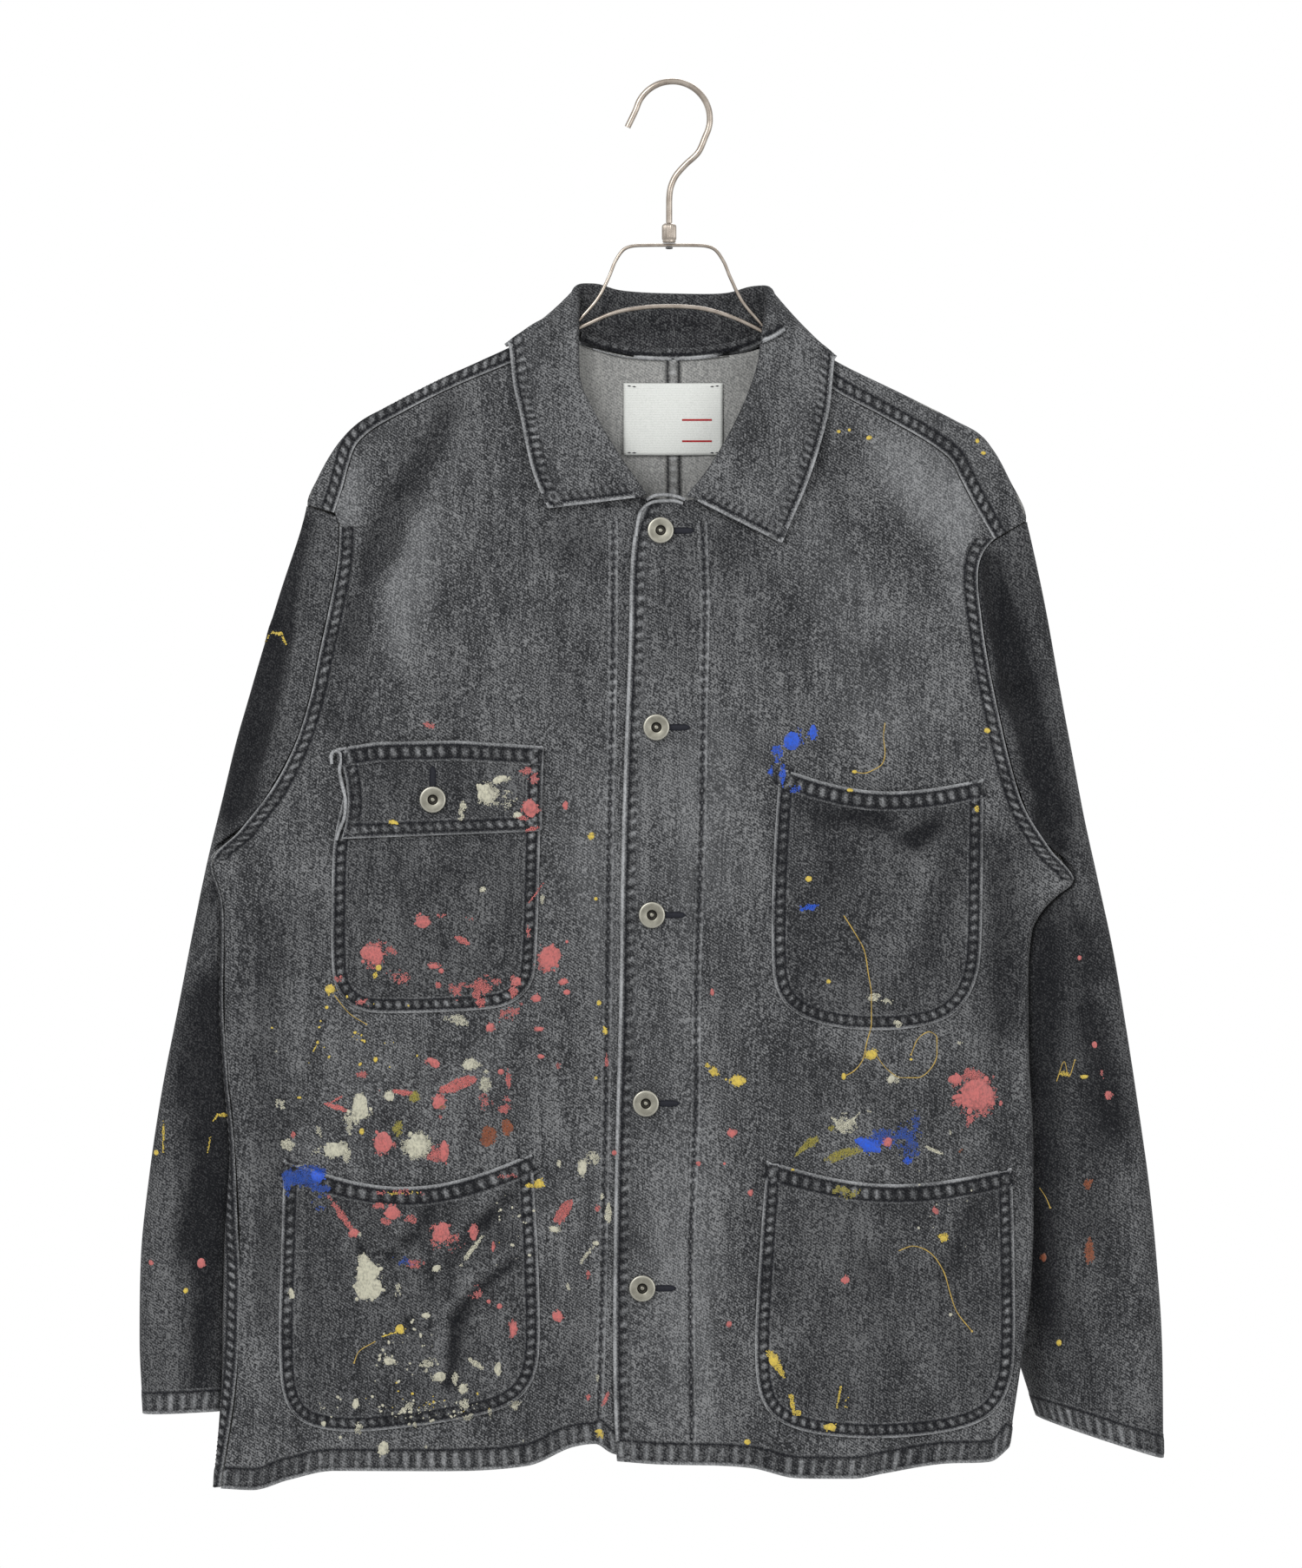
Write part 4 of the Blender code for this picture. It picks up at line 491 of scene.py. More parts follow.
def half_depth(x, down, depth, right_edge, left_edge):
    share = np.clip((down - RIGHT_TIP) / (RIGHT_UNDERARM - RIGHT_TIP), 0.0, 1.0)
    fold = FOLD_DEPTH + ARMHOLE_GAPE * np.sin(np.pi * share)
    below = down - TOP_LINE(x)
    closing = np.minimum(
        rounded(below / FOLD_ROUND),
        np.minimum(
            edge_round(x - right_edge(down), down, RIGHT_TIP, RIGHT_UNDERARM),
            edge_round(left_edge(down) - x, down, LEFT_TIP, LEFT_UNDERARM),
        ),
    )
    from_right = swell((x - RIGHT_FULL(down)) / SIDE_EASE)
    from_left = swell((LEFT_FULL(down) - x) / SIDE_EASE)
    opening = swell(below / FALL) * from_right * from_left
    return closing * (fold + (depth(down) - fold) * opening)


def middle(x, down):
    return -SIDE_FORWARD * ease((down - SWING_TOP) / SWING_HEIGHT) * (x / HALF_CHEST) ** 2


def front_y(x, down):
    """The outer face of the front."""
    depth = half_depth(x, down, FRONT_HALF, RIGHT_EDGE, LEFT_EDGE)
    near_edge = np.clip(depth / (2 * FOLD_DEPTH), 0.0, 1.0)
    return middle(x, down) - depth + creased(FRONT_FOLDS, x, down) * near_edge


def back_y(x, down):
    """The outer face of the back."""
    depth = half_depth(x, down, BACK_HALF, RIGHT_EDGE_BACK, LEFT_EDGE_BACK)
    neck = NECK_FULLNESS * np.exp(-((x / NECK_FULL_HALF) ** 2))
    neck = neck * (1 - ease((down - NECK_FULL_TOP) / NECK_FULL_HEIGHT))
    return middle(x, down) + depth + neck


def hemmed(x, down, hem):
    """Row levels moved to the uneven hem, less and less towards the waist."""
    return down + (hem(x) - BOTTOM) * ease((down - BOTTOM + HEM_REACH) / HEM_REACH)


# ---------------------------------------------------------------- outlines of the panels


def lengths_of(points):
    return np.concatenate([[0.0], np.cumsum(np.hypot(*np.diff(points, axis=0).T))])


def shifted(rows, out, by):
    """A downward (down, x) line moved sideways: `by` is positive towards the sleeve."""
    points = np.array(rows, float)
    heading = np.gradient(points, axis=0)
    heading = heading / np.hypot(*heading.T)[:, None]
    moved = points + by * out * np.column_stack([-heading[:, 1], heading[:, 0]])
    return tuple(map(tuple, moved))


def matched_fold(seam, fold):
    """The fold's points that lie beside the seam's points, from neck to armhole."""
    seam_share = lengths_of(np.array(seam))
    fold_share = lengths_of(np.array(fold))
    down_at = Curve(zip(fold_share / fold_share[-1], (row[0] for row in fold)))
    downs = down_at(seam_share / seam_share[-1])
    return list(zip(downs, Curve(fold)(downs)))


def armhole_levels(armhole):
    """Levels down the armhole: its top corner first, then the shared rows."""
    tip, underarm = armhole[0][0], armhole[-1][0]
    corner = [row[0] for row in armhole[:3]]
    rows = [tip + share * (underarm - tip) for share in ARMHOLE_ROWS]
    return corner + [row for row in rows if row > corner[-1] + CORNER_CLEAR]


class Side:
    """One side's tables and the levels of its rows. `out` is +1 towards +X."""

    def __init__(self, out, seam, fold, armhole, armhole_back, side, neckline, turn):
        self.out = out
        self.seam = shifted(seam, out, 0.0)
        self.front_seam = shifted(seam, out, -TURN_GAP)
        self.fold_points = matched_fold(seam, fold)
        self.armhole_rows = armhole_levels(armhole)
        self.underarm = armhole[-1][0]
        self.side_rows = self.levels_below(BOTTOM, SIDE_ROWS)
        self.edge = Curve(armhole + side[1:])
        self.edge_back = Curve(armhole_back + side[1:])
        self.neckline = Curve(neckline)
        self.turn = Curve(turn)

    def levels_below(self, last, shares):
        """Levels from just under the underarm down to the last one."""
        near = [self.underarm + step for step in UNDERARM_ROWS]
        return near + [self.underarm + share * (last - self.underarm) for share in shares]

    def inset(self, down, on_front):
        """How far below the underarm a panel stops short of the outline, or 0 where it turns round it."""
        turn = float(self.turn(down)) * (1 if on_front else -1)
        return turn + TURN_GAP if turn > 0 else 0.0

    def front_edges(self):
        """The front's outer boundary from the neck down, as (level, x)."""
        points = list(self.front_seam)
        points += [(row, float(self.edge(row))) for row in self.armhole_rows[2:-1]]
        for row in [self.underarm] + self.side_rows:
            points.append((row, float(self.edge(row)) - self.out * self.inset(row, True)))
        return points

    def back_edges(self):
        points = list(self.fold_points)
        points += [(row, float(self.edge_back(row))) for row in self.armhole_rows[1:-1]]
        for row in [self.underarm] + self.side_rows:
            points.append((row, float(self.edge_back(row)) - self.out * self.inset(row, False)))
        return points


RIGHT = Side(
    -1, RIGHT_SEAM, RIGHT_FOLD, RIGHT_ARMHOLE, RIGHT_ARMHOLE_BACK, RIGHT_SIDE, RIGHT_NECKLINE, RIGHT_TURN
)
LEFT = Side(1, LEFT_SEAM, LEFT_FOLD, LEFT_ARMHOLE, LEFT_ARMHOLE_BACK, LEFT_SIDE, LEFT_NECKLINE, LEFT_TURN)



FREE_EDGE = Curve(FRONT_EDGE)

# ---------------------------------------------------------------- fine surfaces

BODY_STEP = 3.2  # between rows of the body's cloth
BODY_COLUMNS = 88
TURN_COLUMNS = 9
SLEEVE_STEP = 3.5
SLEEVE_SHARES = (30, 40, 22)  # columns over the front, round the back, and in behind the body
SEAM_BLEND = 26.0  # a sleeve's open and closed sections blend over this height
TUCK_BLEND = 60.0
COLLAR_SECTIONS = 200
STAND_COLUMNS, ROLL_COLUMNS, LEAF_COLUMNS = 8, 9, 26
POCKET_STEP = 3.0

# Softer creases than the CAD's, as rows of FOLD_COLUMNS.
FRONT_CREASES = (
    (-146.0, 212.0, -168.0, 262.0, 5.0, 1.6), (-168.0, 262.0, -184.0, 309.0, 6.0, 1.4),
    (-158.0, 226.0, -178.0, 286.0, 5.0, -1.3), (-189.0, 378.0, -209.0, 420.0, 4.5, 1.3),
    (-196.0, 372.0, -214.0, 410.0, 4.0, -0.9), (-120.0, 300.0, -150.0, 395.0, 20.0, 1.0),
    (-150.0, 221.0, -180.0, 270.0, 7.0, 2.0), (-180.0, 270.0, -211.0, 337.0, 8.0, 2.6),
    (-213.0, 345.0, -222.0, 420.0, 8.0, 1.8), (-141.0, 240.0, -196.0, 344.0, 9.0, -1.8),
    (-231.0, 604.0, -236.0, 643.0, 4.5, 1.5), (-236.0, 643.0, -243.0, 664.0, 5.0, 1.2),
    (-163.0, 616.0, -156.0, 634.0, 4.0, 1.1), (-214.0, 620.0, -222.0, 660.0, 7.0, 0.8),
    (-262.0, 744.0, -270.0, 812.0, 9.0, 1.5), (-246.0, 660.0, -258.0, 700.0, 8.0, 1.0),
    (-95.0, 640.0, -128.0, 700.0, 13.0, 0.9), (-52.0, 300.0, -60.0, 420.0, 11.0, 0.7),
    (-66.0, 560.0, -60.0, 660.0, 12.0, 0.8), (-240.0, 540.0, -225.0, 585.0, 9.0, 0.9),
    (-250.0, 466.0, -232.0, 505.0, 7.0, 1.0), (-206.0, 640.0, -196.0, 690.0, 14.0, -0.8),
    (60.0, 330.0, 92.0, 430.0, 18.0, 1.0), (110.0, 250.0, 165.0, 330.0, 16.0, 1.1),
    (140.0, 240.0, 190.0, 300.0, 8.0, -0.9), (88.0, 236.0, 126.0, 300.0, 9.0, 0.8),
    (200.0, 360.0, 206.0, 440.0, 7.0, 1.2), (212.0, 470.0, 232.0, 530.0, 6.0, -1.0),
    (30.0, 560.0, 44.0, 700.0, 12.0, 0.7), (214.0, 620.0, 222.0, 700.0, 9.0, 1.0),
    (228.0, 730.0, 222.0, 860.0, 7.0, 1.1), (34.0, 800.0, 48.0, 880.0, 9.0, 0.7),
    (96.0, 636.0, 150.0, 672.0, 14.0, 0.8), (-150.0, 636.0, -190.0, 680.0, 14.0, 0.8),
)
POCKET_CREASES = (
    (-226.0, 724.0, -205.0, 763.0, 5.0, 1.0), (-205.0, 763.0, -174.0, 811.0, 6.0, 1.5),
    (-174.0, 811.0, -146.0, 850.0, 6.0, 1.3), (-105.0, 771.0, -128.0, 789.0, 4.0, 1.5),
    (-128.0, 789.0, -142.0, 807.0, 4.5, 1.9), (-142.0, 807.0, -146.0, 846.0, 5.0, 1.9),
    (-156.0, 732.0, -171.0, 755.0, 5.0, 1.1), (-171.0, 755.0, -186.0, 766.0, 5.0, 1.0),
    (-107.0, 727.0, -123.0, 743.0, 6.0, 1.2), (-123.0, 743.0, -146.0, 771.0, 6.0, 1.0),
    (-185.0, 765.0, -160.0, 776.0, 5.0, 1.1), (-160.0, 776.0, -146.0, 792.0, 5.0, 1.0),
    (-190.0, 740.0, -180.0, 752.0, 5.0, -0.8), (-122.0, 812.0, -118.0, 840.0, 12.0, -1.1),
    (-222.0, 800.0, -214.0, 836.0, 12.0, -0.8), (125.0, 473.0, 160.0, 493.0, 11.0, 2.0),
    (160.0, 493.0, 172.0, 486.0, 8.0, 1.2), (182.0, 510.0, 164.0, 573.0, 11.0, 0.9),
    (96.0, 486.0, 104.0, 520.0, 10.0, 0.8), (-179.0, 526.0, -172.0, 565.0, 3.5, 1.0),
    (-154.0, 511.0, -133.0, 518.0, 5.0, 0.8), (-200.0, 560.0, -184.0, 574.0, 6.0, 0.8),
    (96.0, 740.0, 128.0, 772.0, 9.0, 1.1), (196.0, 738.0, 178.0, 776.0, 9.0, 1.0),
    (84.0, 830.0, 112.0, 862.0, 9.0, 0.9), (150.0, 800.0, 166.0, 850.0, 12.0, -0.8),
)
RIDGE_OFF, RIDGE_HIGH = 0.95, 0.8  # each of them has a ridge beside it, on its upper left
POCKET_CREASES += tuple(
    (*(end - RIDGE_OFF * wide for end in ends), wide, -RIDGE_HIGH * sink)
    for *ends, wide, sink in POCKET_CREASES
)
BACK_CREASES = (
    (-210.0, 300.0, -170.0, 420.0, 14.0, 2.2), (-190.0, 300.0, -140.0, 440.0, 11.0, -1.5),
    (-120.0, 240.0, -80.0, 330.0, 18.0, 1.5), (-60.0, 420.0, -90.0, 640.0, 20.0, 1.8),
    (-250.0, 540.0, -220.0, 640.0, 13.0, 1.8), (-200.0, 640.0, -210.0, 860.0, 17.0, 1.6),
    (-130.0, 700.0, -118.0, 880.0, 15.0, -1.4), (-36.0, 640.0, -44.0, 850.0, 15.0, 1.3),
    (-262.0, 760.0, -250.0, 880.0, 10.0, 1.5), (190.0, 320.0, 150.0, 450.0, 14.0, 2.3),
    (172.0, 330.0, 128.0, 430.0, 11.0, -1.5), (90.0, 250.0, 62.0, 340.0, 18.0, 1.4),
    (60.0, 460.0, 84.0, 650.0, 19.0, 1.7), (205.0, 560.0, 180.0, 640.0, 13.0, 1.7),
    (140.0, 660.0, 152.0, 870.0, 17.0, 1.6), (200.0, 700.0, 196.0, 860.0, 11.0, 1.4),
    (28.0, 700.0, 40.0, 880.0, 14.0, 1.2), (96.0, 700.0, 88.0, 800.0, 13.0, -1.2),
    (-20.0, 330.0, 26.0, 350.0, 20.0, 1.0), (-150.0, 500.0, -60.0, 470.0, 22.0, 1.2),
    (140.0, 520.0, 60.0, 480.0, 22.0, 1.2),
)
SLEEVE_CREASES_RIGHT = (
    (-252.0, 306.0, -276.0, 392.0, 5.0, 2.2), (-268.0, 420.0, -290.0, 486.0, 5.0, 2.0),
    (-245.0, 398.0, -276.0, 478.0, 4.0, 1.6), (-285.0, 500.0, -316.0, 560.0, 8.0, 2.0),
    (-300.0, 540.0, -322.0, 584.0, 6.0, -1.4), (-306.0, 590.0, -322.0, 664.0, 9.0, 1.6),
    (-318.0, 640.0, -340.0, 700.0, 7.0, 1.5), (-312.0, 700.0, -336.0, 742.0, 6.0, -1.2),
    (-306.0, 736.0, -340.0, 792.0, 9.0, 1.5), (-330.0, 800.0, -342.0, 858.0, 6.0, 1.2),
    (-310.0, 806.0, -316.0, 866.0, 7.0, 1.2), (-240.0, 560.0, -262.0, 640.0, 10.0, 2.0),
    (-228.0, 640.0, -250.0, 720.0, 12.0, 2.0), (-262.0, 720.0, -280.0, 800.0, 10.0, 1.8),
)
SLEEVE_CREASES_LEFT = (
    (214.0, 334.0, 238.0, 420.0, 5.0, 2.2), (232.0, 452.0, 250.0, 506.0, 5.0, 2.0),
    (242.0, 380.0, 262.0, 480.0, 6.0, 1.4), (256.0, 520.0, 278.0, 584.0, 8.0, 2.0),
    (266.0, 560.0, 288.0, 604.0, 6.0, -1.4), (272.0, 610.0, 300.0, 680.0, 9.0, 1.7),
    (284.0, 664.0, 310.0, 724.0, 7.0, 1.5), (280.0, 716.0, 304.0, 762.0, 6.0, -1.2),
    (272.0, 752.0, 312.0, 806.0, 9.0, 1.5), (300.0, 812.0, 314.0, 880.0, 6.0, 1.2),
    (262.0, 800.0, 276.0, 872.0, 7.0, 1.3), (214.0, 580.0, 232.0, 660.0, 10.0, 2.0),
    (208.0, 660.0, 224.0, 740.0, 12.0, 2.0), (232.0, 740.0, 250.0, 820.0, 10.0, 1.8),
)
CRUMPLES = ((46.0, 0.55), (19.0, 0.28), (8.0, 0.10))  # size and height of the cloth's small unevenness


def lattice(size, x, down, seed):
    """Smooth noise between -1 and 1 whose features are about `size` across."""
    values = np.random.default_rng(seed).uniform(-1.0, 1.0, (64, 64))
    u, v = np.broadcast_arrays(np.asarray(x, float) / size + 500.3, np.asarray(down, float) / size + 500.7)
    i, j = np.floor(u).astype(int), np.floor(v).astype(int)
    s, t = ease(u - i), ease(v - j)
    i, j = i % 63, j % 63
    upper = values[i, j] * (1 - s) + values[i + 1, j] * s
    lower = values[i, j + 1] * (1 - s) + values[i + 1, j + 1] * s
    return upper * (1 - t) + lower * t


def crumpled(x, down, seed):
    """Small unevenness, drawn out downwards as cloth hangs."""
    total = np.zeros(np.broadcast(x, down).shape)
    for i, (size, high) in enumerate(CRUMPLES):
        total = total + high * lattice(size, np.asarray(x) * 1.25, np.asarray(down) * 0.8, seed + i)
    return total


def near_edge(depth):
    return np.clip(depth / (2 * FOLD_DEPTH), 0.0, 1.0)


def front_skin(x, down):
    """The outer face of the front, with its creases."""
    depth = half_depth(x, down, FRONT_HALF, RIGHT_EDGE, LEFT_EDGE)
    sink = creased(FRONT_FOLDS, x, down) + creased(FRONT_CREASES, x, down) + crumpled(x, down, 11)
    return middle(x, down) - depth + sink * near_edge(depth)


def back_skin(x, down):
    depth = half_depth(x, down, BACK_HALF, RIGHT_EDGE_BACK, LEFT_EDGE_BACK)
    sink = creased(BACK_CREASES, x, down) + 1.6 * crumpled(x, down, 31)
    return back_y(x, down) - sink * near_edge(depth)


def two_ended(count, pull=0.6):
    """Shares from 0 to 1 that lie closer together at both ends."""
    t = np.linspace(0.0, 1.0, count)
    return t - pull * np.sin(2 * np.pi * t) / (2 * np.pi)


def rows_between(first, last, step):
    return np.linspace(first, last, int(round((last - first) / step)) + 1)


def stacked(x, down, y):
    return np.stack(np.broadcast_arrays(x, down, y), axis=-1)


# ---------------------------------------------------------------- the body's four panels


def front_right_row(outer_x, level):
    """The right front's columns and how far each is pushed back, to pass under the left front."""
    if level < FRONT_TOP - 1:
        inner_x = float(RIGHT.neckline(level))
        return outer_x + (inner_x - outer_x) * two_ended(BODY_COLUMNS), 0.0
    edge_x = float(FREE_EDGE(level))
    tail = edge_x + np.linspace(UNDERLAP[0], UNDERLAP[-1], UNDERLAP_COLUMNS)
    shares = two_ended(BODY_COLUMNS - UNDERLAP_COLUMNS + 1)[:-1]
    x = np.concatenate([outer_x + (tail[0] - outer_x) * shares, tail])
    return x, LAYER * ease((x - edge_x - UNDERLAP[0]) / UNDERLAP_FALL)


def front_left_row(outer_x, level):
    inner_x = LEFT.neckline(level) if level < FRONT_TOP - 1 else FREE_EDGE(level)
    return outer_x + (float(inner_x) - outer_x) * two_ended(BODY_COLUMNS), 0.0


def front_grid(side, row_of, hem):
    edges = side.front_edges()
    outer = Curve(edges)
    rows = []
    for level in rows_between(edges[0][0], BOTTOM, BODY_STEP):
        x, lower = row_of(float(outer(level)), level)
        rows.append(stacked(x, hemmed(x, level, hem), front_skin(x, level) + lower))
    return np.array(rows)


def turn_grid(side, edge, hem, face):
    """A panel's turn round the side edge, from the outline to the side seam."""
    rows = []
    for down in rows_between(side.underarm, BOTTOM, BODY_STEP):
        x = float(edge(down)) - side.out * abs(float(side.turn(down))) * np.linspace(0, 1, TURN_COLUMNS)
        rows.append(stacked(x, hemmed(x, down, hem), face(x, down)))
    return np.array(rows)


BACK_TOP = 158.0  # both halves of the neck are level with the higher one's


def back_grid(side, centre, hem):
    edges = side.back_edges()
    outer, dip = Curve(edges), Curve(BACK_NECK_DIP)
    top, tip = edges[0][0], side.fold_points[-1][0]
    deep = 1 - (top - BACK_TOP) / float(dip(0.0))
    rows = []
    for down in rows_between(top, BOTTOM, BODY_STEP):
        edge_x = float(outer(down))
        x = edge_x + (centre - edge_x) * two_ended(BODY_COLUMNS)
        level = down + deep * dip(x) * (1 - ease((down - top) / BACK_NECK_REACH))
        y = back_skin(x, level)
        if down <= tip:
            y[0] = middle(x[0], down)
        rows.append(stacked(x, hemmed(x, level, hem), y))
    return np.array(rows)


def shoulder_grid(side):
    """The back's turn on to the front, from the shoulder's fold to its seam."""
    seam, fold = np.array(side.seam), np.array(side.fold_points)
    at = lengths_of(fold)
    steps = rows_between(0.0, at[-1], BODY_STEP)
    share = two_ended(SHOULDER_COLUMNS, 0.4)
    rows = []
    for step in steps:
        seam_down, seam_x, fold_down, fold_x = (
            float(Curve(zip(at, line))(step)) for line in (*seam.T, *fold.T)
        )
        x = fold_x + (seam_x - fold_x) * share
        down = fold_down + (seam_down - fold_down) * share
        y = front_skin(x, down)
        y[0] = middle(fold_x, fold_down)
        rows.append(stacked(x, down, y))
    return np.array(rows)


# ---------------------------------------------------------------- sleeves


def bulge(share):
    """The half ellipse between two folds."""
    return np.sqrt(np.clip(1 - (2 * share - 1) ** 2, 0.0, 1.0))


def behind(side, x, down):
    """The nearest that a sleeve's front layer comes to the body's back."""
    outside = np.maximum(side.out * (x - side.edge_back(down)), 0.0)
    return back_y(x, down) + BEHIND - BEHIND_FADES * outside


class SleeveRow:
    """One section of a sleeve: over the front, round the back, and in behind the body."""

    def __init__(self, side, row, level, folds, seams):
        self.side, self.folds, self.deep = side, folds, row["deep"]
        self.outer = np.array((row["outer_x"], row["outer_down"], row["outer_y"]))
        at_seam = min(level, side.underarm)
        self.start, self.end = seams[0](at_seam), seams[1](at_seam)
        self.closing = float(ease((level - side.underarm + SEAM_BLEND) / SEAM_BLEND))
        self.tuck = float(ease((level - side.armhole_rows[0] - TUCK_STARTS + TUCK_BLEND / 2) / TUCK_BLEND))
        fold = np.array((row["fold_x"], row["fold_down"], row["fold_y"]))
        self.fold = self.end + (fold - self.end) * self.tuck
        self.inmost = self.edge_share()

    def edge_share(self):
        """Where the body's edge lies between the outer fold and the inner one."""
        down = self.outer[1]
        for _ in range(3):
            share = (self.outer[0] - self.side.edge_back(down)) / (self.outer[0] - self.fold[0])
            down = self.outer[1] + np.clip(share, 0.0, 1.0) * (self.fold[1] - self.outer[1])
        wide = abs(self.outer[0] - self.fold[0])
        return float(np.clip(share - SLEEVE_EDGE[-1] / wide, EDGE_LOWEST, EDGE_HIGHEST[-1]))

    def uneven(self, points):
        return creased(self.folds, points[:, 0], points[:, 1]) + crumpled(points[:, 0], points[:, 1], 51)

    def layer(self, share):
        """The front layer, which keeps behind the body."""
        points = self.outer + np.outer(share, self.fold - self.outer)
        points[:, 2] += (self.uneven(points) - self.deep) * bulge(share)
        points[:, 2] = np.maximum(points[:, 2], behind(self.side, points[:, 0], points[:, 1]))
        return points

    def front(self, share):
        closed = self.layer(self.inmost * (1 - share))
        points = self.start + np.outer(share, self.outer - self.start)
        points[:, 2] = self.outer[2] + (self.start[2] - self.outer[2]) * np.sqrt(1 - share**2)
        faded = ease(share / FOLDS_FADE_IN) * (1 - share**2)
        points[:, 2] += self.uneven(points) * faded
        return points + (closed - points) * self.closing

    def back(self, share):
        points = self.outer + np.outer(share, self.fold - self.outer)
        round_back = bulge(share) * self.tuck + np.sin(np.pi * share**BACK_SKEW) * (1 - self.tuck)
        points[:, 2] += self.deep * round_back - self.uneven(points) * bulge(share)
        return points

    def inner(self, share, first):
        """From the inner fold back to the seam, which a closed section shares with its first point."""
        last = self.end + (first - self.end) * self.closing
        points = self.layer(1 + (self.inmost - 1) * share)
        points += np.outer(share**2, last - points[-1])
        return last + (points - last) * self.tuck

    def points(self):
        over, round_back, inside = (two_ended(count, 0.5) for count in SLEEVE_SHARES)
        front = self.front(over)
        return np.vstack([front[:-1], self.back(round_back)[:-1], self.inner(inside, front[0])])


def seam_line(side, edge, face):
    """The armhole moved clear of the body, as points by level."""
    rows = [(row, float(edge(row))) for row in rows_between(side.armhole_rows[0], side.underarm, 8.0)]
    moved = shifted(rows, side.out, TURN_GAP)
    down = Curve([(a[0], b[0]) for a, b in zip(rows, moved)])
    x = Curve([(a[0], b[1]) for a, b in zip(rows, moved)])
    return lambda at: np.array((float(x(at)), float(down(at)), float(face(np.array(float(edge(at))), at))))


def sleeve_grid(side, table, folds):
    section = columns(SLEEVE_COLUMNS, table)
    at = {name: Curve(zip(section["level"], values)) for name, values in section.items()}
    seams = seam_line(side, side.edge, front_skin), seam_line(side, side.edge_back, back_skin)
    rows = []
    for level in rows_between(side.armhole_rows[0], float(section["level"][-1]), SLEEVE_STEP):
        row = {name: float(values(level)) for name, values in at.items()}
        rows.append(SleeveRow(side, row, level, folds, seams).points())
    rows[0][:] = rows[0][0]
    return np.array(rows)


# ---------------------------------------------------------------- collar


def collar_section(row):
    neck = np.array((row["neck_x"], row["neck_down"], row["neck_y"]))
    roll = np.array((row["roll_x"], row["roll_down"], row["roll_y"]))
    leaf = np.array((row["leaf_x"], row["leaf_down"], row["leaf_y"]))
    heading = math.radians(row["out"])
    out = np.array((-math.sin(heading), 0.0, -math.cos(heading)))
    back = neck - roll
    back = back - out * back.dot(out)
    back = back / np.linalg.norm(back)
    centre = roll + back * ROLL_ROUND
    turn = np.linspace(-np.pi / 2, np.pi / 2, ROLL_COLUMNS)
    arc = centre + ROLL_ROUND * (np.outer(np.sin(turn), out) - np.outer(np.cos(turn), back))
    stand = neck + np.outer(np.linspace(0, 1, STAND_COLUMNS)[:-1], arc[0] - neck)
    share = np.linspace(0, 1, LEAF_COLUMNS)[1:]
    points = arc[-1] + np.outer(share, leaf - arc[-1])
    lift = LEAF_LIFT + LEAF_RISE * (1 - share) + LEAF_SWELL * np.sin(np.pi * share)
    x, down = points[:, 0], points[:, 1]
    front = np.minimum(points[:, 2], front_skin(x, down) - lift)
    back_way = np.maximum(points[:, 2], back_skin(x, down) + lift)
    top = np.minimum(points[:, 1], TOP_LINE(x) - lift)
    ahead = float(ease((-out[2] - FACING / 2) / FACING))
    astern = float(ease((out[2] - FACING / 2) / FACING))
    sideways = ease((SIDEWAYS + 0.1 - abs(out[2])) / 0.2) * ease((np.abs(x) - NECK_POINT) / 6.0)
    points[:, 2] += (front - points[:, 2]) * ahead + (back_way - points[:, 2]) * astern
    points[:, 1] += (top - points[:, 1]) * sideways
    return np.vstack([stand, arc, points])


def collar_grid():
    section = columns(COLLAR_COLUMNS, COLLAR)
    index = np.arange(len(COLLAR))
    at = {name: Curve(zip(index, values)) for name, values in section.items()}
    rows = []
    for step in np.linspace(0, index[-1], COLLAR_SECTIONS):
        rows.append(collar_section({name: float(values(step)) for name, values in at.items()}))
    grid = np.array(rows)
    for _ in range(COLLAR_SMOOTHED):
        inner = (grid[:-2] + grid[1:-1] * 2 + grid[2:]) / 4
        grid[1:-1, STAND_COLUMNS:] = inner[:, STAND_COLUMNS:]
    return grid


COLLAR_SMOOTHED = 5


# ---------------------------------------------------------------- pockets


def softened(corners, times=3):
    """The corners' line with each bend rounded, its two ends kept."""
    points = np.array(corners, float)
    for _ in range(times):
        ahead = points[:-1] + (points[1:] - points[:-1]) * 0.25
        after = points[:-1] + (points[1:] - points[:-1]) * 0.75
        points = np.vstack([points[:1], np.stack([ahead, after], axis=1).reshape(-1, 2)[1:-1], points[-1:]])
    return points


def along(points, shares):
    at = np.concatenate([[0.0], np.cumsum(np.hypot(*np.diff(points, axis=0).T))])
    return np.stack([np.interp(shares * at[-1], at, values) for values in points.T], axis=-1)


def coons(top, bottom, left, right):
    """A grid that fills the loop of four sides."""
    u = np.linspace(0, 1, len(top))[None, :, None]
    v = np.linspace(0, 1, len(left))[:, None, None]
    across = left[:, None] * (1 - u) + right[:, None] * u
    downwards = top[None] * (1 - v) + bottom[None] * v
    corners = (top[0] * (1 - u) + top[-1] * u) * (1 - v) + (bottom[0] * (1 - u) + bottom[-1] * u) * v
    return across + downwards - corners


def sagged(pocket, flat):
    """The pocket's points with the mouth let down, and how far they stand off for it."""
    corners, mouth = np.array(pocket["corners"]), pocket["mouth"]
    sag_by = mouth[1] - (mouth[0] + mouth[2]) / 2
    if sag_by <= SAG_LEAST:
        return flat, np.zeros(flat.shape[:-1])
    left_x, right_x = corners[:, 0].min(), corners[:, 0].max()
    across = np.clip((flat[..., 0] - left_x) / (right_x - left_x), 0.0, 1.0)
    near = 1 - ease((flat[..., 1] - corners[:, 1].min()) / SAG_HEIGHT)
    swing = np.sin(np.pi * across) * near
    return flat + np.stack([0 * swing, sag_by * swing], axis=-1), SAG_STANDS * swing


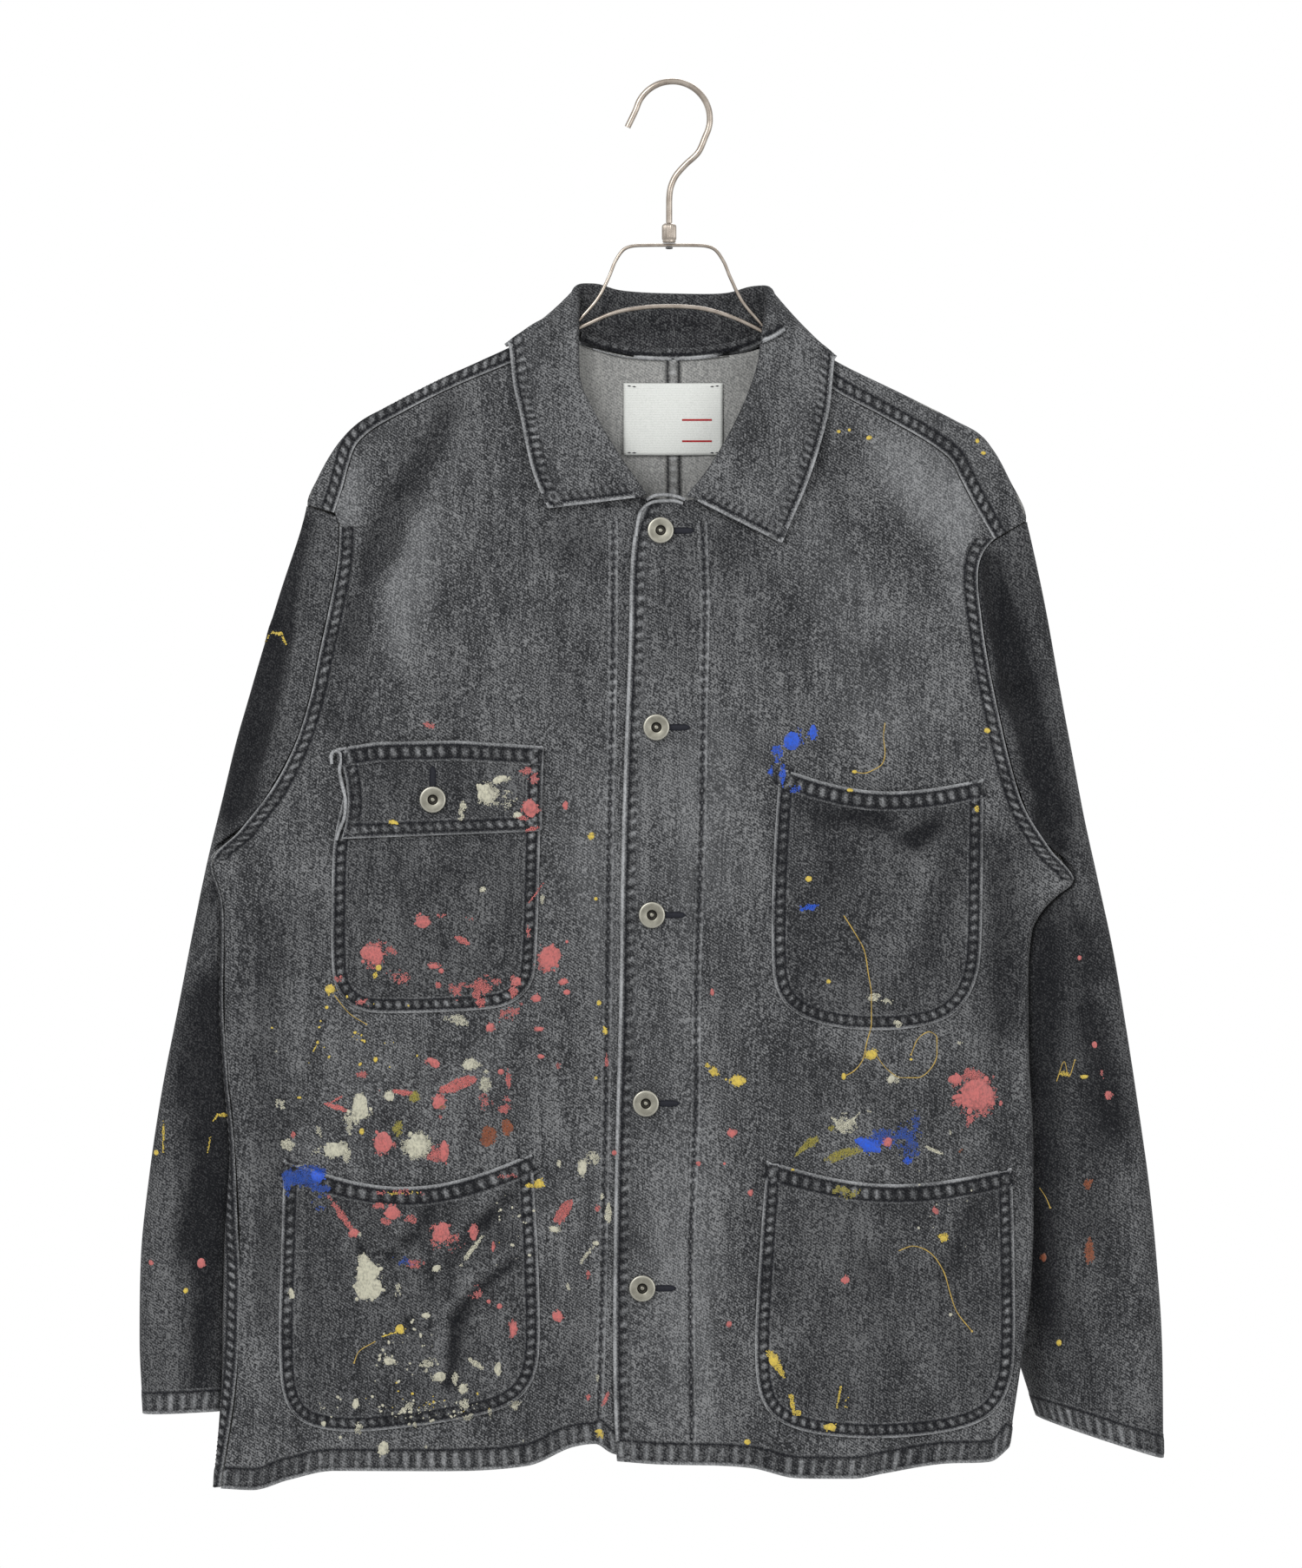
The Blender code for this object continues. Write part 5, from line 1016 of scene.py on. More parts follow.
def pocket_sides(pocket):
    """The outline as its mouth, right side, bottom and left side, each from left to right or downwards."""
    corners = pocket["corners"]
    if len(corners) == FLAP_CORNERS:
        return flap_sides(corners)
    first, second = np.array(corners[0], float), np.array(corners[1], float)
    rest = softened(corners[1:] + corners[:1])
    low = rest[:, 1].max()
    right = np.argmin(np.hypot(rest[:, 0] - rest[:, 0].max(), rest[:, 1] - low))
    left = np.argmin(np.hypot(rest[:, 0] - rest[:, 0].min(), rest[:, 1] - low))
    return np.array((first, second)), rest[: right + 1], rest[right : left + 1][::-1], rest[left:][::-1]


def flap_sides(corners):
    """The flap has square corners, a top that bows up, and an outer side that curls inwards."""
    outline = np.array(corners, float)
    top, low_right, low_left = outline[:4], outline[4], outline[5]
    share = np.linspace(0, 1, 12)[:, None]
    left = outline[0] + (low_left - outline[0]) * share
    left[:, 0] += FLAP_CURLS * np.sin(np.pi * share[:, 0]) ** 0.8
    return top, np.array((outline[3], low_right)), np.array((low_left, low_right)), left


def pocket_grid(pocket):
    """The pocket's outer face, and its flat shares across and down."""
    top, right, bottom, left = pocket_sides(pocket)
    wide, high = np.ptp(bottom[:, 0]), np.ptp(right[:, 1])
    u = two_ended(int((wide + POCKET_CURVED) / POCKET_STEP), 0.5)
    v = two_ended(int((high + POCKET_CURVED) / POCKET_STEP), 0.5)
    flat = coons(along(top, u), along(bottom, u), along(left, v), along(right, v))
    moved, stands = sagged(pocket, flat)
    off_edge = np.minimum(
        np.minimum(u, 1 - u)[None] * wide, np.minimum(v, 1 - v)[:, None] * high
    )
    full = rounded(off_edge / POCKET_EDGE_ROUND)
    lift = LAYER * pocket["layers"] - POCKET_EDGE_LOW * (1 - full)
    uneven = 0.35 * lattice(23.0, flat[..., 0], flat[..., 1], 71)
    sink = np.minimum(creased(POCKET_CREASES, moved[..., 0], moved[..., 1]), POCKET_DEEPEST)
    uneven = (uneven - sink) * full
    y = front_skin(flat[..., 0], flat[..., 1]) - lift - stands - uneven
    return stacked(moved[..., 0], moved[..., 1], y)


POCKET_DEEPEST = 1.5  # a pocket's crease goes no nearer the front than this
FLAP_CORNERS = 6
FLAP_CURLS = 6.0
UNDERLAP_COLUMNS = 14
UNDERLAP_FALL = 9.0
SHOULDER_COLUMNS = 12
LEAF_SWELL = 0.9
POCKET_CURVED = 30.0
POCKET_EDGE_ROUND = 1.8
POCKET_EDGE_LOW = 0.9

# ---------------------------------------------------------------- meshes


def merged(points, faces):
    """Points that meet are made one, and faces that lose a side become triangles."""
    _, first, index = np.unique(
        np.round(points / 0.02).astype(np.int64), axis=0, return_index=True, return_inverse=True
    )
    index = index.reshape(-1)
    kept = []
    for face in index[faces].tolist():
        loop = [a for a, b in zip(face, face[1:] + face[:1]) if a != b]
        if len(loop) > 2 and len(set(loop)) == len(loop):
            kept.append(loop)
    return points[first], kept, first


def grid_faces(rows, count, flip=False):
    a = (np.arange(rows - 1)[:, None] * count + np.arange(count - 1)).reshape(-1)
    quads = np.stack([a, a + count, a + count + 1, a + 1], axis=-1)
    return quads[:, ::-1] if flip else quads


def joined(grids, flip=False):
    """Points and faces of several grids, which share the points where they meet."""
    points = np.vstack([grid.reshape(-1, 3) for grid in grids])
    faces, first = [], 0
    for grid in grids:
        faces.append(grid_faces(*grid.shape[:2], flip) + first)
        first += grid.shape[0] * grid.shape[1]
    return merged(points, np.vstack(faces))


def mesh_object(name, points, faces, materials, smooth=True, looks=None):
    data = bpy.data.meshes.new(name)
    spots = np.stack([points[:, 0], points[:, 2], -points[:, 1]], axis=-1) * MM
    data.from_pydata(spots.tolist(), [], faces if isinstance(faces, list) else faces.tolist())
    for material in materials:
        data.materials.append(material)
    for look, values in (looks or {}).items():
        layer = data.attributes.new(look, "FLOAT", "POINT")
        layer.data.foreach_set("value", np.asarray(values, np.float32))
    if smooth:
        data.shade_smooth()
    data.update()
    made = bpy.data.objects.new(name, data)
    bpy.context.scene.collection.objects.link(made)
    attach(made, "root")
    return made


def thicken(made, thickness, offset, inside=0):
    wall = made.modifiers.new("wall", "SOLIDIFY")
    wall.thickness = thickness * MM
    wall.offset = offset
    wall.use_rim = True
    wall.material_offset = inside
    return made

# ---------------------------------------------------------------- faded places, dark places and painted shade
# Soft patches on the cloth, as (x, down, half width, half height, amount): above 0 is faded, below 0 is
# dark, and some of the dark patches are painted shade, as said at each table. The hidden side has its own,
# of the same kinds.

BASE_TONES = {
    "front": 0.0, "back": 0.0, "sleeve": -0.3, "collar": 0.02, "pocket": -0.36, "pocket_flap": -0.38,
}
# The three dark patches at down 296 to 300, under the collar's two ends and beside the first button, are the
# collar's painted shadow.
FRONT_TONES = (
    (-205, 430, 16, 100, -0.28), (-66, 300, 24, 22, -0.5), (37, 300, 22, 20, -0.4), (4, 296, 16, 20, -0.25),
    (208, 322, 11, 34, -0.45), (160, 262, 40, 40, 0.15), (110, 330, 60, 60, 0.05),
    (8, 345, 26, 60, -0.26), (20, 470, 22, 120, 0.10), (-52, 560, 22, 90, 0.10),
    (204, 590, 24, 70, -0.25), (208, 740, 22, 80, -0.28), (-66, 838, 14, 40, -0.3),
    (-236, 330, 14, 40, -0.12),
    (-268, 640, 14, 130, -0.18), (-150, 330, 60, 40, 0.04), (120, 420, 60, 30, 0.05),
    (14, 790, 26, 110, 0.12),
    (-120, 640, 40, 16, 0.06), (140, 665, 70, 26, -0.16), (70, 890, 50, 14, -0.08),
    (-168, 222, 34, 18, 0.05),
    (-248, 560, 16, 40, -0.12), (232, 500, 12, 60, -0.22), (-34, 350, 5, 60, -0.3), (36, 350, 14, 40, -0.12),
)
BACK_TONES = (
    (0, 240, 120, 30, 0.08), (-150, 300, 50, 60, 0.08), (150, 310, 50, 60, 0.08), (-190, 420, 30, 80, -0.2),
    (190, 430, 30, 80, -0.2), (-60, 560, 40, 140, 0.06), (80, 600, 44, 120, 0.05),
    (-230, 700, 30, 120, -0.16),
    (220, 700, 30, 120, -0.16), (0, 800, 90, 40, -0.06), (-120, 860, 60, 20, 0.08), (130, 850, 60, 20, 0.08),
)
# On each sleeve the patches of -0.3 and darker lie along its inner side, where it folds in beside the body,
# and are painted shade in that hollow.
SLEEVE_TONES_RIGHT = (
    (-262, 400, 12, 60, -0.42), (-250, 520, 12, 50, -0.3), (-262, 350, 6, 40, 0.12),
    (-276, 480, 10, 50, -0.3),
    (-292, 640, 12, 120, -0.62), (-306, 790, 13, 110, -0.68), (-330, 700, 12, 60, -0.06),
    (-340, 820, 10, 50, 0.05),
    (-290, 300, 12, 20, 0.05), (-285, 560, 18, 40, 0.04),
)
SLEEVE_TONES_LEFT = (
    (226, 380, 10, 70, -0.42), (244, 480, 9, 50, -0.3), (244, 590, 13, 80, -0.68),
    (246, 740, 14, 110, -0.66),
    (262, 420, 10, 70, 0.06), (284, 560, 14, 60, 0.06), (306, 700, 12, 80, 0.08), (316, 830, 12, 40, 0.1),
    (276, 700, 12, 90, -0.1),
)
# The thin dark patches at (124, 480), (90, 470), (-190, 722) and (150, 730), just below the pockets' mouths,
# are painted shadow under the mouths' edges.
POCKET_TONES = (
    (124, 480, 40, 9, -0.5), (90, 470, 20, 8, -0.3), (140, 560, 34, 30, 0.06), (-150, 540, 40, 34, 0.05),
    (-170, 790, 30, 30, 0.02), (-140, 760, 44, 12, -0.12), (130, 760, 60, 30, 0.06),
    (-190, 722, 50, 8, -0.15),
    (150, 730, 50, 8, -0.15), (176, 810, 26, 36, -0.1), (-160, 590, 40, 10, -0.1), (140, 604, 40, 10, -0.1),
)
# a pocket crease's valley is darkened as painted shade, and the ridge beside it is lightened, partly as wear
# and partly as a painted highlight
POCKET_CREST, POCKET_VALLEY_SHADE, POCKET_DEEP = 0.28, 0.55, 1.5
POCKET_DEEPENS = 1.5  # the power by which a pocket's valleys darken with painted shade
# how dark the painted shade inside the collar's stand is
STAND_SHADE = 0.62
STAND_TO, STAND_FADES = 0.55, 4.0  # the painted shade inside the stand reaches this share of the roll, fading over columns
HEADING_DARK, HEADING_COLUMNS = 0.12, 9  # the leaf's top is a little dark over these columns,
HEADING_IN, HEADING_OUT = 3.0, 6.0  # fading in and out over these
CREST_WORN, VALLEY_SHADE = 0.2, 0.6  # on a fold's crest, which is worn lighter, and in its valley, which is darkened as painted shade
CREST_FULL, VALLEY_FULL = 4.0, 4.0  # a fold this high or deep shows them in full


def tone_of(name, grid):
    """How faded (above 0) or dark (below 0) each point of a cloth surface is. The dark side includes painted
    shade in fold and crease valleys, under the collar's ends and the pockets' mouths, inside the collar's
    stand and in the sleeves' hollows; the light side includes a painted highlight on the pockets' ridges.
    """
    x, down = grid[..., 0], grid[..., 1]
    kind = name.split("_")[0]
    tables = {
        "front": (FRONT_TONES, FRONT_FOLDS + FRONT_CREASES), "back": (BACK_TONES, BACK_CREASES),
        "turn": (FRONT_TONES, ()), "shoulder": (FRONT_TONES, ()),
        "pocket": (POCKET_TONES, POCKET_CREASES + FRONT_CREASES), "collar": ((), ()),
        "sleeve": (
            (SLEEVE_TONES_RIGHT, SLEEVE_FOLDS_RIGHT + SLEEVE_CREASES_RIGHT) if name.endswith("right")
            else (SLEEVE_TONES_LEFT, SLEEVE_FOLDS_LEFT + SLEEVE_CREASES_LEFT)
        ),
    }
    patches, folds = tables[kind]
    tone = np.full(x.shape, BASE_TONES.get(name, BASE_TONES.get(kind, 0.0)))
    for at_x, at_down, half_x, half_down, amount in patches:
        tone += amount * np.exp(-(((x - at_x) / half_x) ** 2) - ((down - at_down) / half_down) ** 2)
    if folds:
        # a fold's crest is faded, and its valley gets painted shade
        sink = creased(folds, x, down)
        worn, dark = np.clip(-sink / CREST_FULL, 0, 1), np.clip(sink / VALLEY_FULL, 0, 1)
        tone += CREST_WORN * worn - VALLEY_SHADE * dark
    if kind == "pocket":
        # painted shade in the pocket creases' valleys, and their ridges lighter, as wear and as a painted
        # highlight
        sink = creased(POCKET_CREASES, x, down)
        worn, dark = np.clip(-sink, 0, 1), np.clip(sink / POCKET_DEEP, 0, 1) ** POCKET_DEEPENS
        tone += POCKET_CREST * worn - POCKET_VALLEY_SHADE * dark
    if kind == "collar":
        column = np.arange(grid.shape[1])[None, :]
        # the inside of the stand, seen through the neck, is darkened as painted shade
        inside = ease((STAND_COLUMNS + ROLL_COLUMNS * STAND_TO - column) / STAND_FADES)
        tone = tone - STAND_SHADE * inside
        leaf = STAND_COLUMNS + ROLL_COLUMNS
        heading = ease((column - leaf) / HEADING_IN) * ease((leaf + HEADING_COLUMNS - column) / HEADING_OUT)
        tone = tone - HEADING_DARK * heading
    return tone

# ---------------------------------------------------------------- seams, hems and their thread
# A band is a strip of doubled cloth along an edge or a seam, with its puckers and thread. Its style
# is in millimetres from the edge inwards: how wide it is, how high it stands, whether it wraps
# round a free edge, where its thread runs, where it puckers (from, to, high, pitch, slant), and
# where it is worn or dark (at, half width, strength).

SEEDS = {  # where each band's unevenness starts
    "placket": 141, "shoulder": 151, "side_right": 161, "side_left": 171, "centre_back": 181,
    "front_left_row": 191, "front_right_row": 201, "cuff": 211, "elbow": 221, "collar": 231,
    "collar_end_right": 241, "collar_end_left": 251, "pocket": 301, "neck": 351, "centre": 361,
    "cord": 391, "cord_worn": 392, "paint": 400, "paint_behind": 450, "label": 81,
}
FRONT_ARM_FROM, BACK_ARM_FROM = 12.0, 3.0  # the armhole's band starts this far below its tip
HEM_BELOW = 1000.0  # a level below every hem
SIDE_SEAM_FROM = 4.0  # below the underarm
CENTRE_SEAM_FROM = 180.0
BAND_STEP = 1.5
BAND_ACROSS = 1.15
WRAP_OUT, WRAP_DROP = 0.35, 1.1
STITCH_PITCH, STITCH_LONG, STITCH_HALF = 2.9, 2.5, 0.36
STITCH_FROM, STITCH_UP, STITCH_TALL, STITCH_SINK = 0.6, 0.12, 0.9, 0.3
STITCH_FACES = np.array([  # of its two ends and then the four corners of its waist
    (0, 2, 3), (0, 3, 4), (0, 4, 5), (0, 5, 2), (1, 3, 2), (1, 4, 3), (1, 5, 4), (1, 2, 5),
])
PUCKER_WORN, TROUGH_DARK, BAND_DARK = 0.6, 1.3, 0.2
PUCKER_DRIFT, PUCKER_DRIFT_LONG = 2.2, 31.0  # puckers drift out of step by these radians over this length
PUCKER_LEAST, PUCKER_VARIES, PUCKER_LONG = 0.72, 0.28, 17.0  # their strength, and what it varies over
PUCKER_SHARP = 1.3  # above 1 a pucker's crest is narrower than its trough
PUCKER_ENDS = 1.2  # a pucker and a band fade out over this
FLUSH_OUT, FLUSH_OVER = 0.5, 1.4  # a band that doesn't wrap rises from this far outside, over this
THREAD_SINK, THREAD_HALF = 0.22, 0.8  # a row of thread draws the band in this deep and this wide
EDGE_OUT, EDGE_IN = 0.1, -0.12  # the heights of its outer edge, up or down, and of its inner one
PATCHY_LEAST, PATCHY_VARIES, PATCHY_LONG = 0.75, 0.35, 9.0  # how unevenly puckers are worn
RUBBED_LEAST, RUBBED_VARIES, RUBBED_LONG = 0.8, 0.45, 14.0  # and edges
EDGE_WORN = 0.8
STYLES = {
    "hem": dict(
        trough=0.5,
        wide=16.0, rise=0.35, wrap=True, threads=(13.6,), puckers=(1.5, 13.0, 0.75, 8.2, 0.02),
        worn=((0.4, 1.2, 0.7), (15.4, 0.8, 0.4)), dark=((13.6, 1.2, 1.0), (2.6, 0.8, 0.35))),
    "cuff": dict(
        trough=0.5,
        wide=16.0, rise=0.35, wrap=True, threads=(13.8,), puckers=(1.5, 13.0, 0.7, 7.6, 0.02),
        worn=((0.4, 1.2, 0.8), (15.4, 0.8, 0.45)), dark=((13.8, 1.2, 1.0), (2.6, 0.8, 0.35))),
    "felled": dict(
        trough=0.75,
        wide=10.5, rise=0.75, wrap=True, threads=(1.7, 8.6), puckers=(2.4, 8.0, 0.6, 6.6, 0.16),
        worn=((0.1, 1.0, 1.0), (9.9, 0.7, 0.35)), dark=((2.1, 1.1, 1.0), (8.3, 1.2, 1.0))),
    "seam": dict(
        wide=9.5, rise=0.6, wrap=False, threads=(1.6, 8.0), puckers=(2.2, 7.6, 0.6, 6.4, 0.2),
        worn=((0.5, 0.7, 0.6), (9.0, 0.6, 0.3)), dark=((1.9, 1.1, 0.95), (7.8, 1.1, 0.95))),
    "placket": dict(
        trough=0.6,
        wide=12.0, rise=0.3, wrap=True, threads=(3.4,), puckers=(3.8, 9.6, 0.45, 7.4, 0.1),
        worn=((0.9, 1.5, 1.0), (10.4, 0.7, 0.35)), dark=((3.7, 1.2, 1.0), (11.2, 1.0, 0.45))),
    "row": dict(
        trough=0.3,
        wide=7.0, rise=0.12, wrap=False, threads=(3.5,), puckers=(0.8, 6.2, 0.35, 7.0, 0.1),
        worn=((5.5, 1.0, 0.5), (1.4, 0.8, 0.2)), dark=((3.4, 1.2, 1.0),)),
    "collar": dict(
        trough=0.6,
        wide=11.0, rise=0.15, wrap=True, threads=(2.6,), puckers=(3.0, 9.5, 0.5, 5.2, 0.0),
        worn=((0.5, 1.2, 1.0),), dark=((3.0, 1.1, 1.0),)),
    "pocket": dict(
        wide=10.5, rise=0.3, wrap=True, threads=(2.0, 8.4), puckers=(2.6, 7.8, 0.5, 6.8, 0.12),
        worn=((0.3, 1.0, 0.95), (9.6, 0.6, 0.25)), dark=((2.4, 1.1, 1.0), (8.2, 1.2, 1.0))),
    "neck": dict(
        trough=0.3,
        wide=8.0, rise=0.6, wrap=False, threads=(3.6,), puckers=(4.4, 7.2, 0.3, 7.4, 0.0),
        worn=((1.0, 1.5, 1.25),), dark=((3.4, 1.6, 1.0), (7.2, 1.2, 0.4))),
    "inside": dict(
        trough=0.15,
        wide=12.0, rise=0.35, wrap=False, threads=(2.2, 9.8), puckers=(2.6, 9.0, 0.2, 8.0, 0.0),
        worn=((6.0, 2.4, 0.2),), dark=((2.2, 1.3, 1.0), (9.8, 1.3, 1.0))),
    "mouth": dict(
        wide=13.0, rise=0.35, wrap=True, threads=(2.2, 10.8), puckers=(2.8, 10.2, 0.45, 7.6, 0.05),
        worn=((0.4, 1.2, 1.0), (12.0, 0.7, 0.3)), dark=((2.6, 1.1, 1.0), (10.6, 1.3, 1.0))),
}


class Shape:
    """Points, faces and looks gathered for one piece."""

    def __init__(self):
        self.points, self.faces, self.count = [], [], 0
        self.looks = {"worn": [], "dark": []}

    def add(self, points, faces, worn=0.0, dark=0.0):
        points = np.asarray(points, float).reshape(-1, 3)
        self.faces.extend((np.asarray(faces) + self.count).tolist())
        self.points.append(points)
        self.looks["worn"].append(np.broadcast_to(np.ravel(worn), len(points)))
        self.looks["dark"].append(np.broadcast_to(np.ravel(dark), len(points)))
        self.count += len(points)

    def made(self, name, material):
        looks = {look: np.concatenate(values) for look, values in self.looks.items()}
        return mesh_object(name, np.vstack(self.points), self.faces, [material], looks=looks)


class Skin:
    """The outer face of some cloth, met by a ray straight from the front or from the back."""

    def __init__(self, points, faces):
        self.tree = BVHTree.FromPolygons([(x, y, -down) for x, down, y in points.tolist()], faces)

    def y_at(self, x, down, ahead=-1.0):
        spots = np.stack(np.broadcast_arrays(x, down), axis=-1).reshape(-1, 2)
        found = [self.one(a, b, ahead) for a, b in spots.tolist()]
        return np.array(found).reshape(np.broadcast(x, down).shape)

    def one(self, x, down, ahead):
        hit = self.tree.ray_cast(Vector((x, 400.0 * ahead, -down)), Vector((0.0, -ahead, 0.0)))[0]
        if hit is None:
            hit = self.tree.find_nearest(Vector((x, 0.0, -down)))[0]
        return hit.y


def lengths_along(points):
    steps = np.linalg.norm(np.diff(points, axis=0), axis=1)
    return np.concatenate([[0.0], np.cumsum(steps)])


def resampled(points, step):
    """Points a step apart along a line, with its two ends kept."""
    at = lengths_along(points)
    count = max(int(at[-1] / step), 2)
    steps = np.linspace(0.0, at[-1], count + 1)
    return np.stack([np.interp(steps, at, values) for values in points.T], axis=-1)


def offsets_of(style):
    wide = style["wide"]
    inside = np.linspace(0.0, wide, int(wide / BAND_ACROSS) + 1)
    outside = [-WRAP_OUT, -WRAP_OUT * 0.8] if style["wrap"] else [-FLUSH_OUT]
    return np.concatenate([outside, inside])


def on_lines(lines, offsets):
    """Base points at these distances along each line, which runs inwards from an edge point.

    Lines that meet the edge at a slant are followed further, so that the band keeps its width.
    """
    lines = np.asarray(lines, float)
    edge = lines[:, 0]
    heading = np.gradient(edge, axis=0)
    heading /= np.linalg.norm(heading, axis=1)[:, None] + 1e-9
    base = np.zeros((len(lines), len(offsets), 3))
    for i, line in enumerate(lines):
        at = lengths_along(line)
        inward = line[min(4, len(line) - 1)] - line[0]
        inward = inward / (np.linalg.norm(inward) + 1e-9)
        across = math.sqrt(max(1 - float(inward @ heading[i]) ** 2, 0.12))
        near = np.clip(offsets / across, 0.0, at[-1])
        base[i] = np.stack([np.interp(near, at, values) for values in line.T], axis=-1)
        base[i] += np.outer(np.minimum(offsets, 0.0), inward)
    fine = lengths_along(edge)
    steps = np.linspace(0.0, fine[-1], max(int(fine[-1] / BAND_STEP), 2) + 1)
    flat = base.reshape(len(lines), -1)
    spread = np.stack([np.interp(steps, fine, values) for values in flat.T], axis=-1)
    return spread.reshape(len(steps), len(offsets), 3)


def on_skin(path, offsets, skin, ahead=-1.0, lift=0.0):
    """Base points beside a path of (x, down) points, met on the cloth. Positive offsets lie to the
    path's +X side where it runs downwards."""
    spots = resampled(np.array(path, float), BAND_STEP)
    heading = np.gradient(spots, axis=0)
    heading /= np.linalg.norm(heading, axis=1)[:, None] + 1e-9
    normal = np.stack([heading[:, 1], -heading[:, 0]], axis=-1)
    flat = spots[:, None] + offsets[None, :, None] * normal[:, None]
    y = skin.y_at(flat[..., 0], flat[..., 1], ahead) + ahead * lift
    return np.concatenate([flat, y[..., None]], axis=-1)


def outward_of(base, away):
    """Unit normals of a band's base, turned away from a point or along a direction."""
    n = np.cross(np.gradient(base, axis=0), np.gradient(base, axis=1))
    padded = np.pad(n, ((2, 2), (1, 1), (0, 0)), mode="edge")
    n = sum(padded[i : i + len(base), 1 : 1 + base.shape[1]] for i in range(5))
    n /= np.linalg.norm(n, axis=-1)[..., None] + 1e-9
    kind, value = away
    toward = base - np.array(value) if kind == "from" else np.broadcast_to(np.array(value), base.shape)
    return n if float((n * toward).sum()) > 0 else -n


def bell(x, at, half):
    return np.exp(-(((x - at) / half) ** 2))


def wavering(steps, size, seed):
    return lattice(size, steps, np.zeros(len(steps)), seed)


THREADS = {}


def add_band(shape, style_name, base, away, seed, thread="navy_thread", lift=0.0):
    """Raises a band over its base points and lays its thread."""
    style = STYLES[style_name]
    offsets = offsets_of(style)
    steps = lengths_along(base[:, 3])
    normal = outward_of(base, away)
    a, s = offsets[None, :], steps[:, None]
    first, last, high, pitch, slant = style["puckers"]
    drift = PUCKER_DRIFT * wavering(steps, PUCKER_DRIFT_LONG, seed)[:, None]
    phase = 2 * np.pi * s / pitch + drift + 2 * np.pi * slant * a / 2
    strength = PUCKER_LEAST + PUCKER_VARIES * wavering(steps, PUCKER_LONG, seed + 1)[:, None]
    pucker = (0.5 + 0.5 * np.cos(phase)) ** PUCKER_SHARP * strength
    between = np.clip((a - first) / PUCKER_ENDS, 0, 1) * np.clip((last - a) / PUCKER_ENDS, 0, 1)
    full = np.ones_like(a)
    if not style["wrap"]:
        full = np.clip((a + FLUSH_OUT) / FLUSH_OVER, 0.0, 1.0)
    full = full * np.clip((style["wide"] - a) / PUCKER_ENDS, 0.0, 1.0)
    height = style["rise"] * full + high * between * pucker
    for at in style["threads"]:
        height = height - THREAD_SINK * bell(a, at, THREAD_HALF)
    height = np.where(a < 0, EDGE_OUT if style["wrap"] else -EDGE_OUT, height)
    height = np.where(a >= style["wide"] - 0.01, EDGE_IN, height)
    if style["wrap"]:
        height[:, 0] = -WRAP_DROP - lift
    patchy = PATCHY_LEAST + PATCHY_VARIES * wavering(steps, PATCHY_LONG, seed + 2)[:, None]
    rubbed = RUBBED_LEAST + RUBBED_VARIES * wavering(steps, RUBBED_LONG, seed + 3)[:, None]
    rubbed = EDGE_WORN * rubbed
    worn = sum(power * bell(a, at, 0.8 * half) for at, half, power in style["worn"]) * rubbed
    worn = worn + PUCKER_WORN * between * np.clip(pucker * 1.5 - 0.45, 0, 1) * patchy
    dark = sum(power * bell(a, at, half) for at, half, power in style["dark"])
    dark = dark + BAND_DARK * np.clip((a - 1.2) / 1.0, 0, 1) * np.clip((style["wide"] - a) / 2.0, 0, 1)
    dark = dark + TROUGH_DARK * style.get("trough", 1.0) * between * np.clip(0.6 - pucker, 0, 1)
    dark = dark * np.clip(1.2 - 1.6 * worn, 0, 1)
    rows, count = base.shape[:2]
    points = base + normal * (height[..., None] + lift)
    faces = grid_faces(rows, count)
    face_normal = np.cross(points[1, 4] - points[0, 4], points[0, 5] - points[0, 4])
    if float(face_normal @ normal[0, 4]) < 0:
        faces = faces[:, ::-1]
    shape.add(points, faces, np.clip(worn, 0, 1), np.clip(dark, 0, 1))
    for at in style["threads"]:
        line = np.stack([
            np.array([np.interp(at, offsets, row) for row in points[..., k]]) for k in range(3)
        ], axis=-1)
        near = int(np.argmin(np.abs(offsets - at)))
        add_stitches(THREADS.setdefault(thread, Shape()), line, normal[:, near])


def band_on_lines(shape, style, lines, away, seed, lift=0.0):
    """A band of one style along the starts of these grid lines."""
    add_band(shape, style, on_lines(lines, offsets_of(STYLES[style])), away, seed, lift=lift)


def band_on_skin(shape, style, path, skin, seed, lift=0.0, above=0.0):
    """A band of one style along a path laid on a skin, and perhaps above it."""
    base = on_skin(path, offsets_of(STYLES[style]), skin, lift=above)
    add_band(shape, style, base, AHEAD, seed, lift=lift)


def smoothed(path, steps_of):
    """A smooth line through a path's points, with how far along it each new point is."""
    rough = np.array(path, float)
    at = lengths_along(rough)
    steps = np.linspace(0.0, at[-1], steps_of(at[-1]))
    return np.stack([Curve(zip(at, values))(steps) for values in rough.T], axis=-1), steps


def add_stitches(shape, line, normal, pitch=STITCH_PITCH, long=STITCH_LONG, half=STITCH_HALF):
    """A row of thread, one small lozenge a stitch, half sunk in the cloth."""
    at = lengths_along(line)
    starts = np.arange(STITCH_FROM, at[-1] - long, pitch)
    if not len(starts):
        return

    def here(values, where):
        return np.stack([np.interp(where, at, column) for column in values.T], axis=-1)

    up = here(normal, starts + long / 2)
    up /= np.linalg.norm(up, axis=1)[:, None] + 1e-9
    first, last = here(line, starts), here(line, starts + long)
    centre = (first + last) / 2 + up * STITCH_UP
    axis = last - first
    axis /= np.linalg.norm(axis, axis=1)[:, None] + 1e-9
    side = np.cross(axis, up)
    wide, tall = half, half * STITCH_TALL
    ring = [centre + side * wide, centre + up * tall, centre - side * wide, centre - up * tall]
    ends = [centre - axis * long / 2 - up * STITCH_SINK, centre + axis * long / 2 - up * STITCH_SINK]
    points = np.stack(ends + ring, axis=1)
    faces = (STITCH_FACES[None] + points.shape[1] * np.arange(len(starts))[:, None, None]).reshape(-1, 3)
    shape.add(points.reshape(-1, 3), faces)


AHEAD = ("along", (0.0, 0.0, -1.0))  # the front's outside, as x, down, y
ASTERN = ("along", (0.0, 0.0, 1.0))


